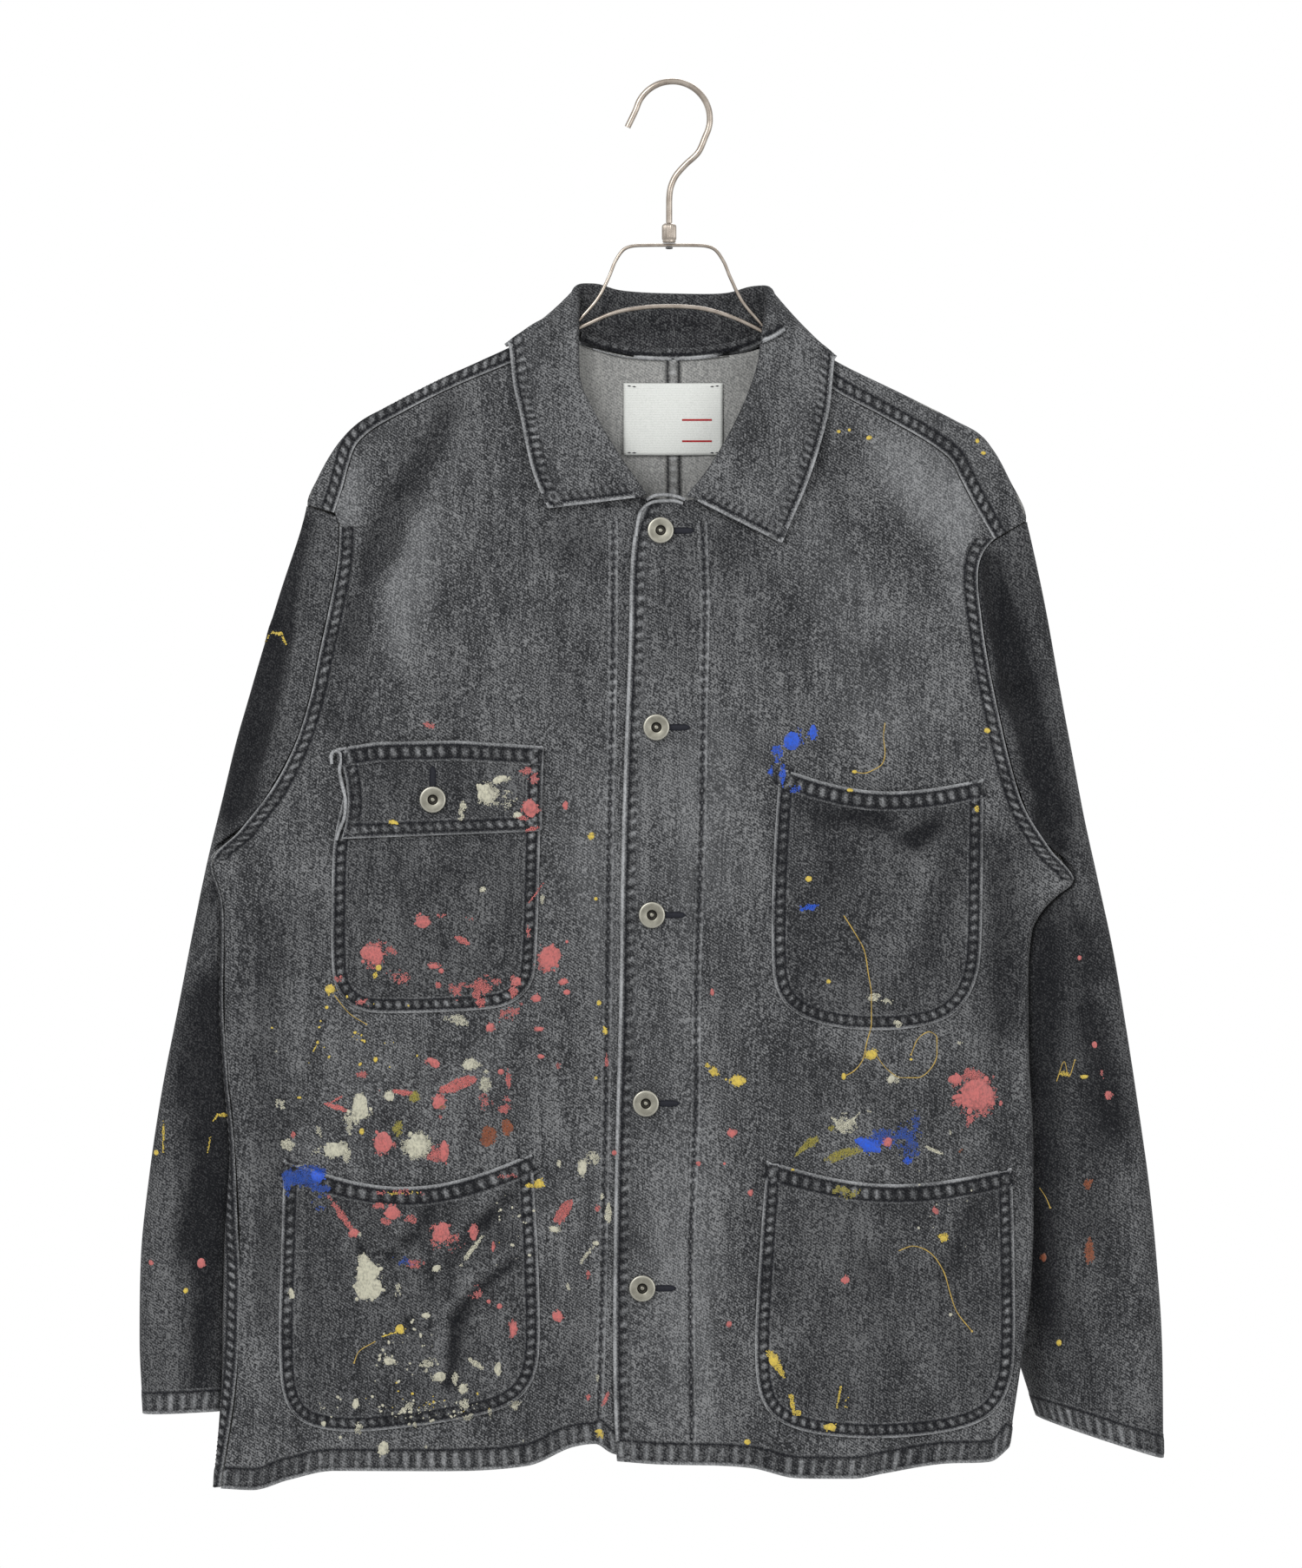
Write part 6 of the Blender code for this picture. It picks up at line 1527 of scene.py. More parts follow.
def smooth_points(rows, step=3.0):
    """A smooth (x, down) path through (down, x) rows."""
    curve = Curve(rows)
    downs = np.arange(rows[0][0], rows[-1][0] + step / 2, step)
    return np.stack([curve(downs), downs], axis=-1)


def rows_inside(grid, first, last, depth=14, from_end=False):
    """Lines inwards from a side edge of a grid, for its rows between two levels."""
    edge = grid[:, -1 if from_end else 0]
    rows = np.where((edge[:, 1] >= first) & (edge[:, 1] <= last))[0]
    cut = grid[rows][:, ::-1] if from_end else grid[rows]
    return cut[:, : depth + 10]


def columns_inside(grid, depth=9):
    """Lines up from the bottom edge of a grid."""
    return grid[::-1][:depth].transpose(1, 0, 2)


def body_seams(grids):
    """The bands on each body panel, by the piece that they lie on."""
    shapes = {name: Shape() for name in ("front_right", "front_left", "back_right", "back_left")}
    for name, side, facing in (
        ("front_right", RIGHT, AHEAD), ("front_left", LEFT, AHEAD),
        ("back_right", RIGHT, ASTERN), ("back_left", LEFT, ASTERN),
    ):
        shape, grid, seed = shapes[name], grids[name], 100 + len(shapes) + 7 * len(name)
        tip = side.armhole_rows[0] + (FRONT_ARM_FROM if facing is AHEAD else BACK_ARM_FROM)
        band_on_lines(shape, "felled", rows_inside(grid, tip, side.underarm), facing, seed)
        band_on_lines(shape, "hem", columns_inside(grid), facing, seed + 3)
    lines = rows_inside(grids["front_left"], FRONT_TOP, HEM_BELOW, from_end=True)
    band_on_lines(shapes["front_left"], "placket", lines, AHEAD, SEEDS["placket"])
    for name, key in (("back_right", "shoulder_right"), ("back_left", "shoulder_left")):
        band_on_lines(shapes[name], "felled", grids[key][:, ::-1], AHEAD, SEEDS["shoulder"])
    band_on_lines(shapes["back_right"], "seam", grids["turn_right"][:, ::-1], AHEAD, SEEDS["side_right"])
    lines = rows_inside(grids["back_left"], LEFT.underarm + SIDE_SEAM_FROM, HEM_BELOW)
    band_on_lines(shapes["back_left"], "seam", lines, ASTERN, SEEDS["side_left"])
    lines = rows_inside(grids["back_right"], CENTRE_SEAM_FROM, HEM_BELOW, from_end=True)
    band_on_lines(shapes["back_right"], "seam", lines, ASTERN, SEEDS["centre_back"])
    return shapes


PLACKET_LINE = (  # the left front's inner row of thread, as (down, x)
    (286.9, 19.7), (341.1, 21.4), (408.9, 20.2), (485.3, 19.1), (599.9, 15.7), (666.6, 15.4),
    (777.1, 11.7), (896.0, 12.8),
)
UNDER_LINE = (  # the right front's, beside the other's free edge
    (286.9, -38.5), (386.1, -39.0), (499.0, -41.3), (599.9, -42.5), (708.7, -44.2), (818.2, -46.5),
    (874.6, -48.2),
)


def front_rows(shapes, skins):
    for name, rows in (("front_left", PLACKET_LINE), ("front_right", UNDER_LINE)):
        path = smooth_points(rows)
        path[:, 0] -= STYLES["row"]["threads"][0]
        band_on_skin(shapes[name], "row", path, skins[name], SEEDS[name + "_row"])
    for path in (TOP_CORD, UPPER_CORD):
        add_cord(shapes["front_left"], path, skins["front_left"])


ELBOW_SEAM_FROM, ELBOW_SEAM_AT = 0.10, 0.36  # shares of the sleeve's rows and of its back columns
ELBOW_SEAM_COLUMNS = 12
CUFF_CENTRE_UP = 6.0  # the cuff's band faces away from a point this far inside the opening


def sleeve_seams(grid):
    shape = Shape()
    front, back, _ = SLEEVE_SHARES
    middle_x, middle_down, middle_y = (grid[-1, :, axis].mean() for axis in range(3))
    around = ("from", (middle_x, float(middle_down) - CUFF_CENTRE_UP, middle_y))
    band_on_lines(shape, "cuff", columns_inside(grid), around, SEEDS["cuff"])
    start = int(len(grid) * ELBOW_SEAM_FROM)
    column = front + int(back * ELBOW_SEAM_AT)
    lines = grid[start:-4, column : column + ELBOW_SEAM_COLUMNS]
    band_on_lines(shape, "seam", lines, ASTERN, SEEDS["elbow"])
    return shape


NECK_CENTRE = (0.0, 215.0, 2.0)  # the collar's outer edge faces away from here, as (x, down, y)
COLLAR_EDGE_COLUMNS, COLLAR_END_ROWS = 14, 30


def collar_seams(grid):
    """Bands along the collar's outer edge and its two ends."""
    shape = Shape()
    lift = COLLAR_CLOTH / 2
    lines = grid[:, ::-1][:, :COLLAR_EDGE_COLUMNS]
    band_on_lines(shape, "collar", lines, ("from", NECK_CENTRE), SEEDS["collar"], lift)
    first = STAND_COLUMNS + ROLL_COLUMNS
    for rows, end in ((grid, "collar_end_right"), (grid[::-1], "collar_end_left")):
        lines = rows[:COLLAR_END_ROWS, first:].transpose(1, 0, 2)
        band_on_lines(shape, "collar", lines, AHEAD, SEEDS[end], lift)
    return shape


def pocket_path(pocket, sides):
    """The outline's sides, in order, as they hang."""
    top, right, bottom, left = pocket_sides(pocket)
    loops = {"mouth": top, "round": np.vstack([left, bottom[1:], right[::-1][1:]])}
    flat = resampled(loops[sides], 2.0)
    return sagged(pocket, flat)[0]


def pocket_seams(name, pocket, skin, seed):
    shape = Shape()
    flap = name == "pocket_flap"
    band_on_skin(shape, "felled" if flap else "pocket", pocket_path(pocket, "round"), skin, seed)
    lift = FLAP_TOP_LIFT if flap else 0.0
    band_on_skin(shape, "mouth", pocket_path(pocket, "mouth")[::-1], skin, seed + 5, lift)
    if flap:
        add_cord(shape, FLAP_CORD, skin)
    return shape


FLAP_TOP_LIFT = 0.6
CORD_RADIUS, CORD_WORN = 1.15, 0.75
CORD_STEP, CORD_SIDES = 0.8, 8
CORD_LEVELS = 7  # the cord's height over the cloth is averaged over this many steps
FLAP_CORD = (  # the flap's outer edge, rolled inwards, with a loop at its corner, as (x, down)
    (-222.6, 446.0), (-223.0, 441.0), (-220.6, 437.4), (-217.4, 438.6), (-216.4, 443.0), (-217.6, 449.5),
    (-215.8, 459.5), (-213.6, 470.0), (-214.4, 481.0), (-217.6, 489.0), (-219.6, 495.6),
)
TOP_CORD = (  # the left front's top edge, which goes on down its free edge
    (7.0, 275.4), (0.0, 273.6), (-8.0, 273.8), (-15.6, 275.6), (-20.4, 280.4), (-22.6, 288.0),
    (-23.8, 297.0),
)
UPPER_CORD = ((8.4, 272.8), (2.0, 270.6), (-6.0, 269.6), (-12.0, 270.4), (-17.0, 273.0))


def add_cord(shape, path, skin, radius=CORD_RADIUS, lift=0.6):
    """A rolled edge: a round cord of cloth laid along a path of (x, down) points."""
    flat, steps = smoothed(path, lambda long: max(int(long / CORD_STEP), 8))
    y = skin.y_at(flat[:, 0], flat[:, 1]) - lift
    share = np.full(CORD_LEVELS, 1 / CORD_LEVELS)
    y = np.convolve(np.pad(y, CORD_LEVELS // 2, mode="edge"), share, mode="valid")
    line = np.column_stack([flat, y])
    heading = np.gradient(flat, axis=0)
    heading /= np.linalg.norm(heading, axis=1)[:, None] + 1e-9
    turns = np.linspace(0, 2 * np.pi, CORD_SIDES + 1)
    uneven = 1 + 0.12 * wavering(steps, 3.0, SEEDS["cord"])
    ring = np.zeros((len(steps), len(turns), 3))
    for column, turn in enumerate(turns):
        off = radius * uneven
        ring[:, column, 0] = line[:, 0] + heading[:, 1] * off * math.cos(turn)
        ring[:, column, 1] = line[:, 1] - heading[:, 0] * off * math.cos(turn)
        ring[:, column, 2] = line[:, 2] + off * math.sin(turn)
    patchy = CORD_WORN * (0.8 + 0.3 * wavering(steps, 6.0, SEEDS["cord_worn"]))
    worn = np.broadcast_to(patchy[:, None], ring.shape[:2]) * (0.6 - 0.4 * np.sin(turns))[None, :]
    shape.add(ring, grid_faces(*ring.shape[:2]), np.clip(worn, 0, 1))


NECK_LINE = (  # the neck seam on the back's inner face, as (x, down)
    (-62.0, 169.0), (-50.0, 173.6), (-36.0, 177.4), (-20.0, 179.4), (-2.0, 180.0), (14.0, 179.6),
    (34.0, 177.2), (48.0, 173.8), (60.0, 169.6), (68.0, 165.8), (74.0, 161.6),
)
NECK_STEPS = 60
NECK_LIFT = 2.6  # over the cloth's outer face, so that it lies on the inner one
CENTRE_SEAM = ((0.5, 180.0), (0.8, 240.0), (1.2, 300.0))
CENTRE_LIFT = 1.35


def inner_seams(skin):
    """The neck's seam and the centre back's, on the inside of the back."""
    neck, centre = Shape(), Shape()
    path, _ = smoothed(NECK_LINE, lambda long: NECK_STEPS)
    band_on_skin(neck, "neck", path, skin, SEEDS["neck"], above=NECK_LIFT)
    path = np.array(CENTRE_SEAM)
    path[:, 0] -= STYLES["inside"]["wide"] / 2
    band_on_skin(centre, "inside", path, skin, SEEDS["centre"], above=CENTRE_LIFT)
    return neck, centre

# ---------------------------------------------------------------- paint
# Marks in millimetres, as (kind, x, down, ...). A blot is solid and uneven: half width, half
# height and perhaps a heading in degrees. A dry patch is broken over the weave: half sizes, how
# much it covers, and perhaps a heading. A streak is one brushed from a point to another: its
# width and cover. Specks lie within half sizes, and a thread of paint runs along points.

PAINT = {
    "pink": (
        ("dry", -158, 421, 5.5, 2.6, 0.5), ("dry", -96, 450, 5, 4, 0.5), ("dry", -91, 455, 4, 6, 0.42),
        ("blot", -93, 475, 4.8, 5.2), ("dry", -97, 481, 4, 2, 0.5),
        ("streak", -96, 490, -86, 487, 3.2, 0.95), ("blot", -70, 473, 1.7, 2.7),
        ("streak", -94, 537, -83, 522, 1.4, 0.9), ("blot", -163, 549, 4.6, 4.2),
        ("dry", -151, 545, 6, 2, 0.4), ("dry", -133, 547, 4, 2, 0.3),
        ("streak", -143, 558, -130, 565, 4, 0.7), ("dry", -94, 556, 1.8, 5, 0.45),
        ("blot", -196, 570, 6, 6.6), ("dry", -189, 567, 9, 7.5, 0.5), ("blot", -80, 572, 6.6, 7.6, 45),
        ("blot", -69, 562, 1, 1), ("blot", -71, 588, 2.6, 1.8), ("blot", -69, 595, 2.3, 1.8),
        ("blot", -89, 599, 2.7, 2.7), ("blot", -87, 619, 2.6, 1.5), ("blot", -86, 637, 2.3, 1.5),
        ("dry", -75, 643, 2.4, 3.4, 0.55), ("blot", -156, 578, 3.2, 1.8), ("blot", -151, 581, 1.7, 1.8),
        ("dry", -153, 590, 2.3, 2.6, 0.6), ("dry", -126, 592, 9, 8, 0.58), ("dry", -119, 587, 8, 6, 0.38),
        ("dry", -140, 593, 9, 8, 0.3), ("dry", -179, 585, 10, 6, 0.3), ("blot", -102, 588, 3, 3),
        ("dry", -104, 595, 3.4, 4, 0.6), ("dry", -125, 601, 3.6, 4, 0.65), ("dry", -218, 586, 5, 3, 0.42),
        ("dry", -203, 601, 5, 3, 0.42), ("dry", -198, 603, 3.6, 3, 0.42), ("blot", -119, 618, 2.6, 2.8),
        ("dry", -108, 609, 10, 5, 0.45, -30), ("dry", -99, 605, 2.6, 3, 0.5),
        ("blot", -156, 641, 4.6, 2.6, 35), ("streak", -152, 660, -128, 651, 8.5, 0.95),
        ("blot", -112, 647, 2, 2), ("dry", -107, 653, 2.4, 9, 0.5), ("dry", -110, 670, 4.4, 8, 0.5),
        ("dry", -122, 666, 7, 6, 0.32), ("streak", -184, 660, -171, 661, 4, 0.95),
        ("blot", -153, 667, 3.8, 4), ("dry", -151, 676, 3.6, 2.2, 0.55), ("dry", -203, 649, 4, 2.6, 0.42),
        ("dry", -192, 658, 1.8, 7, 0.4), ("streak", -226, 668, -211, 673, 3.6, 0.9),
        ("streak", -223, 667, -216, 663, 1.4, 0.8), ("blot", -189, 693, 5.8, 6.6),
        ("dry", -248, 688, 1.8, 3.2, 0.6), ("dry", -156, 699, 7, 7, 0.62), ("blot", -149, 699, 2.8, 7),
        ("blot", -38, 700, 1.6, 1.8), ("dry", -43, 640, 1.3, 5, 0.45), ("dry", -181, 726, 20, 2.6, 0.38),
        ("dry", -108, 715, 7, 2, 0.35), ("blot", -183, 739, 4.6, 4.4), ("dry", -171, 743, 5, 4, 0.5),
        ("dry", -191, 734, 9, 2.6, 0.6), ("dry", -186, 744, 6, 3, 0.42),
        ("streak", -224, 729, -207, 753, 5.5, 0.62), ("blot", -208, 752, 3, 2.6),
        ("blot", -151, 752, 5.4, 6.4), ("dry", -148, 758, 12, 8, 0.4), ("blot", -130, 752, 2.6, 5),
        ("blot", -117, 761, 1.2, 3), ("streak", -76, 746, -67, 732, 7.5, 0.9),
        ("dry", -49, 737, 2.3, 4, 0.5), ("dry", -168, 772, 9, 4, 0.35), ("blot", -120, 797, 1.4, 1.4),
        ("blot", -113, 800, 1.8, 1.8), ("blot", -104, 815, 2.2, 5), ("blot", -75, 807, 2.9, 4, -20),
        ("dry", -55, 780, 1.6, 4, 0.42), ("dry", -130, 791, 6, 5, 0.32),
        ("streak", -46, 866, -41, 855, 2.8, 0.9), ("dry", -55, 860, 1.4, 2.2, 0.7),
        ("blot", 199, 662, 10.5, 10), ("blot", 185, 652, 3.8, 3.6), ("dry", 196, 651, 8, 9, 0.6),
        ("dry", 198, 662, 16, 14, 0.5), ("dry", 194, 678, 3.6, 6, 0.5), ("blot", 215, 668, 1.2, 1.8),
        ("blot", 141, 693, 3, 2.8), ("blot", 39, 687, 3.1, 2.6, -30), ("blot", 26, 595, 1.2, 2.4, -20),
        ("blot", 17, 707, 1.6, 1.6), ("blot", 34, 707, 0.9, 0.9), ("blot", 277, 630, 1.8, 2.2),
        ("blot", 286, 663, 2.2, 2.6), ("blot", 267, 573, 1.4, 1.6), ("blot", -342, 773, 1.6, 1.8),
        ("blot", -309, 773, 2.6, 3.2, 20), ("blot", 51, 726, 2, 2), ("blot", 113, 783, 2.6, 2.4),
        ("blot", 37, 812, 2, 2), ("blot", 172, 738, 2.6, 1.6, 30), ("dry", 282, 651, 3, 6, 0.3),
    ),
    "cream": (
        ("blot", -113, 456, 4.6, 2.4, -25), ("blot", -122, 465, 5.2, 6.4, -45),
        ("dry", -119, 468, 8, 8, 0.55), ("dry", -106, 463, 9, 9, 0.33), ("dry", -112, 474, 13, 4, 0.36),
        ("dry", -137, 473, 2.6, 4, 0.75), ("dry", -138, 479, 3, 5, 0.6), ("blot", -101, 479, 2.6, 1.8),
        ("dry", -124, 528, 2.1, 2.1, 0.9), ("dry", -85, 535, 1.5, 3.5, 0.7),
        ("dry", -142, 614, 10, 4.5, 0.36), ("blot", -133, 642, 4.2, 3, -45), ("dry", -132, 642, 7, 6, 0.45),
        ("dry", -122, 653, 4.4, 9, 0.56), ("blot", -204, 670, 6.2, 7), ("dry", -210, 677, 6, 6, 0.6),
        ("dry", -211, 683, 3, 5, 0.6), ("blot", -185, 663, 3.3, 3), ("dry", -255, 669, 6, 4.4, 0.45),
        ("dry", -251, 694, 6.4, 5, 0.6), ("blot", -221, 698, 8, 4), ("dry", -213, 700, 3.4, 7.5, 0.7),
        ("dry", -231, 687, 3.4, 5, 0.45), ("dry", -232, 701, 6, 3, 0.5), ("blot", -167, 695, 6.6, 7.2),
        ("dry", -167, 695, 10, 11, 0.55), ("blot", -59, 710, 2.8, 4.8, 20), ("dry", -52, 704, 6, 6, 0.62),
        ("dry", -74, 707, 1.8, 3.2, 0.7), ("dry", -259, 634, 2.6, 1.2, 0.6), ("blot", -199, 788, 8.2, 8.4),
        ("blot", -199, 778, 6.6, 7.6, 20), ("blot", -202, 771, 3, 4.5, 10),
        ("blot", -154, 775, 2.8, 1.9, -20), ("streak", -136, 770, -123, 753, 3.6, 0.85),
        ("dry", -139, 773, 3, 2, 0.5), ("dry", -207, 754, 4.4, 3, 0.42), ("blot", -249, 792, 1.9, 3.1, -20),
        ("dry", -179, 790, 3, 5, 0.4), ("blot", -161, 806, 3, 1.7), ("blot", -185, 836, 3.6, 2.3),
        ("dry", -160, 837, 7, 4, 0.48), ("blot", -152, 846, 4, 3.2),
        ("streak", -132, 835, -123, 841, 4.2, 0.85), ("blot", -114, 841, 2.3, 4.2),
        ("dry", -142, 846, 2.5, 5.5, 0.6), ("blot", -137, 854, 2.5, 3.2), ("blot", -207, 864, 2.1, 3.2),
        ("blot", -196, 859, 1, 1), ("streak", -181, 872, -169, 863, 4, 0.75), ("blot", -228, 877, 1.6, 1.8),
        ("dry", -230, 866, 6, 6, 0.3), ("dry", -205, 880, 3, 4.5, 0.6), ("blot", -189, 893, 3.3, 4.6),
        ("dry", -168, 877, 2, 3, 0.5), ("dry", -135, 864, 5.5, 4, 0.45), ("dry", -134, 872, 4.4, 3, 0.5),
        ("dry", -119, 869, 2.6, 3, 0.6), ("dry", -103, 863, 4.4, 5, 0.4), ("dry", -98, 888, 2, 2, 0.5),
        ("blot", -161, 892, 1, 1.1), ("blot", -217, 886, 1.2, 1.1), ("blot", -77, 750, 3, 1.7),
        ("streak", -60, 772, -50, 759, 3, 0.8), ("blot", -50, 759, 2.3, 1.4),
        ("dry", -42, 741, 2.4, 11, 0.75), ("dry", -46, 728, 1.3, 3, 0.6), ("dry", -68, 788, 2.4, 4.4, 0.36),
        ("dry", -49, 847, 1.1, 3, 0.7), ("specks", -176, 829, 26, 22, 34), ("specks", -171, 868, 52, 9, 64),
        ("specks", -110, 743, 20, 30, 18), ("dry", 132, 598, 5, 3, 0.72), ("dry", 140, 600, 4.6, 4, 0.5),
        ("dry", 147, 616, 3.6, 2.8, 0.8), ("blot", 143, 652, 1.9, 3.2, 45), ("dry", 144, 652, 4, 3.4, 0.5),
        ("dry", 113, 680, 9, 9, 0.42), ("streak", 103, 675, 113, 687, 4.4, 0.85),
        ("streak", 123, 673, 114, 683, 3.2, 0.75), ("dry", 128, 673, 3, 1.1, 0.6),
        ("streak", 165, 696, 177, 701, 2.4, 0.85), ("dry", 182, 687, 1.1, 2.6, 0.5),
        ("dry", 188, 628, 2.8, 1.5, 0.5), ("blot", 182, 806, 1.2, 1.2), ("specks", 180, 742, 26, 30, 10),
    ),
    "yellow": (
        ("blot", -182, 484, 3, 1.4, 10), ("blot", -53, 493, 2, 2.4), ("blot", -50, 534, 1.2, 1.2),
        ("blot", -192, 579, 2, 2), ("dry", -194, 584, 1.5, 2.2, 0.7), ("blot", -224, 593, 3, 3),
        ("blot", -226, 605, 1.2, 1.1), ("blot", -230, 614, 0.6, 0.7), ("blot", -231, 618, 0.8, 0.8),
        ("blot", -232, 628, 1, 1.1), ("streak", -235, 634, -233, 630, 1.2, 0.95),
        ("blot", -194, 639, 1.4, 1.8), ("specks", -204, 624, 5, 3, 7), ("blot", -48, 602, 1.5, 1.8, 20),
        ("blot", -44, 620, 1.2, 2.4, -20), ("blot", -50, 651, 1, 1.1), ("blot", -203, 686, 1.7, 2.1),
        ("dry", -244, 664, 1.6, 0.9, 0.8), ("blot", -87, 720, 3, 3), ("dry", -93, 721, 3, 1.6, 0.8),
        ("blot", -178, 815, 2.9, 3.1), ("streak", -190, 820, -181, 817, 1.2, 0.9),
        ("blot", -48, 882, 2.4, 1.5), ("dry", -47, 884, 3, 3, 0.45), ("dry", -113, 758, 0.9, 2, 0.7),
        ("dry", -174, 726, 13, 1.6, 0.45), ("blot", 206, 424, 2, 1.8), ("blot", 119, 451, 1.6, 1.2),
        ("blot", 116, 463, 2, 1.3), ("dry", 199, 475, 1.5, 2.6, 0.8), ("blot", 89, 521, 2.2, 1.9),
        ("blot", 102, 588, 1.5, 1.4), ("blot", 130, 636, 3.8, 3.1), ("blot", 112, 650, 1.5, 2.3),
        ("blot", 27, 647, 3.1, 2.5, 45), ("dry", 23, 643, 1.8, 2, 0.6), ("blot", 43, 653, 4.8, 3.2),
        ("blot", 35, 652, 0.8, 0.8), ("blot", 156, 639, 1, 0.8), ("dry", 79, 711, 2.2, 1.1, 0.6),
        ("streak", -268, 368, -265, 361, 1.6, 0.8), ("dry", -261, 360, 6.5, 1.8, 0.7),
        ("streak", -256, 362, -253, 368, 1.8, 0.75), ("blot", 129, 232, 1.8, 1.6),
        ("blot", 109, 228, 1.4, 1.1), ("blot", 116, 227, 1, 1), ("blot", 200, 234, 1.4, 1.5),
        ("blot", 204, 242, 1.6, 1.2), ("blot", 270, 651, 2.4, 1.4), ("dry", 257, 649, 5, 1.5, 0.4),
        ("blot", 254, 826, 1.8, 2), ("dry", 177, 756, 4, 3.6, 0.75), ("blot", 177, 756, 2, 1.6),
        ("streak", 62, 829, 73, 846, 5, 0.7), ("blot", 66, 835, 3, 4, 20),
        ("streak", 77, 856, 80, 872, 3.8, 0.75), ("dry", 82, 870, 4, 2, 0.6),
        ("streak", 111, 849, 107, 869, 1.8, 0.7), ("blot", 103, 879, 3.8, 2.4), ("blot", 49, 889, 2.2, 1.8),
        ("dry", 114, 862, 3, 8, 0.3), ("streak", -301, 680, -298, 675, 1.6, 0.8),
        ("dry", -294, 676, 4, 1.6, 0.7), ("streak", -302, 685, -305, 702, 1.4, 0.6),
        ("blot", -339, 701, 1.7, 1.8), ("dry", -334, 693, 0.9, 12, 0.5), ("blot", -319, 791, 1.6, 1.8),
        ("specks", -164, 862, 50, 12, 18), ("specks", -202, 628, 60, 30, 12),
    ),
    "ochre": (
        ("streak", 81, 701, 93, 690, 3.6, 0.75), ("dry", 90, 693, 6, 4, 0.55),
        ("streak", 101, 704, 125, 698, 7.5, 0.75), ("dry", 111, 726, 13, 5, 0.55),
        ("dry", -169, 663, 3.6, 4.4, 0.7), ("dry", -179, 683, 4, 6.4, 0.7), ("dry", -151, 668, 6, 5, 0.25),
        ("dry", 104, 684, 2.4, 2, 0.6),
    ),
    "blue": (
        ("blot", 78, 431, 5.2, 5.8), ("blot", 92, 425, 2.2, 5), ("dry", 86, 426, 8, 6, 0.45),
        ("dry", 69, 439, 5, 6, 0.5), ("dry", 65, 450, 2.8, 4.4, 0.42), ("dry", 72, 453, 2.2, 9, 0.5),
        ("dry", 80, 465, 4.4, 8, 0.34), ("streak", 82, 542, 95, 538, 2.8, 0.8),
        ("dry", 91, 539, 8, 2.6, 0.4), ("blot", 128, 695, 8, 3.8, 22), ("dry", 131, 695, 12, 6, 0.5),
        ("dry", 154, 705, 3.6, 3.2, 0.65), ("blot", -232, 715, 4.4, 4.0),
    ),
    "deep_blue": (
        ("dry", 152, 691, 13, 14, 0.52), ("dry", 138, 688, 9, 6, 0.45), ("dry", -234, 730, 11, 12, 0.3),
        ("dry", -174, 769, 9, 5, 0.3), ("dry", 159, 679, 3, 9, 0.4), ("dry", -241, 715, 16, 7, 0.8),
        ("dry", -252, 720, 3.0, 8.5, 0.8), ("dry", -231, 723, 8, 3, 0.6),
    ),
    "rust": (
        ("dry", -120, 689, 6.2, 7, 0.8, 20), ("dry", -108, 683, 4.2, 5.8, 0.8),
        ("dry", 188, 699, 2.2, 1.7, 0.5), ("dry", 273, 721, 3.4, 4.4, 0.75), ("dry", 274, 765, 3.6, 9, 0.7),
        ("blot", 244, 770, 1.8, 2.6),
    ),
    "gold": (
       
        ("thread", ((139, 419), (138, 428), (139, 438), (137, 446), (131, 450), (125, 452),
            (119, 451)), 0.8),
        ("thread", ((112, 545), (119, 556), (125, 567), (128, 583), (130, 597), (130, 615), (127, 628),
            (124, 640), (118, 647), (112, 650)), 0.9),
        ("thread", ((133, 636), (140, 645), (150, 651), (160, 651), (169, 645), (173, 635), (173, 625),
            (168, 621), (161, 625), (156, 636)), 0.8),
        ("thread", ((-221, 597), (-211, 609), (-200, 616)), 0.7),
        ("thread", ((-194, 823), (-205, 830), (-208, 837)), 0.8),
        ("thread", ((148, 764), (157, 761), (168, 765), (177, 777), (182, 793), (186, 804),
            (196, 817)), 0.9),
        ("thread", ((241, 724), (245, 730), (248, 737)), 0.8),
        ("thread", ((252, 654), (257, 641), (260, 651), (264, 640)), 0.7),
    ),
}
BACK_PAINT = {
    "pink": (("blot", 96, 402, 2.2, 2.6), ("blot", 168, 700, 4.4, 4), ("dry", 168, 702, 7, 6, 0.5),
             ("blot", -122, 566, 1.8, 1.6), ("blot", 210, 610, 2, 2), ("dry", 120, 650, 5, 9, 0.4)),
    "cream": (("dry", -212, 662, 7, 9, 0.6), ("blot", -210, 664, 3, 4), ("blot", 60, 782, 2.4, 2.2),
              ("specks", -170, 840, 30, 22, 26), ("streak", 150, 806, 172, 790, 3, 0.8)),
    "yellow": (("blot", -64, 330, 1.8, 1.6), ("blot", 132, 842, 2.6, 2.2), ("specks", 150, 560, 18, 40, 12)),
    "blue": (("dry", 196, 806, 8, 5, 0.6), ("blot", -238, 470, 1.8, 1.6)),
}
PAINT_THICK = 0.34
PAINT_LIFT = 0.12
THREAD_THIN = 0.72  # a string of paint draws out thinner than its ends
LEAST_COVER = 0.43  # broken paint with less cover than this leaves nothing
THINNEST = 0.5  # how much of the cloth shows through the driest paint
HAZE = 1.45  # thin paint reaches this many times as far as a thick blot,
HAZE_COVER = 0.42  # and covers this much
SMALL_RIM, LARGE_RIM = (20, 0.1), (44, 0.15)  # the sides of a blot's rim, and how ragged it is
DROP_SIDES, DROP_RAGGED = 10, 0.14  # and of the drops round it
SPECK_SIDES = 8
BROKEN_FROM, BROKEN_TO = 0.30, 0.62  # shares of a cell that a corner of broken paint reaches
MOST_THIN = 0.85
RIM_THIN = 0.4  # and through the rim of a thick blot
CELL = 0.7  # broken paint lies in cells of about this size, like the weave's knots
CELL_THICK = 0.08
SMALL_BLOT = 2.4


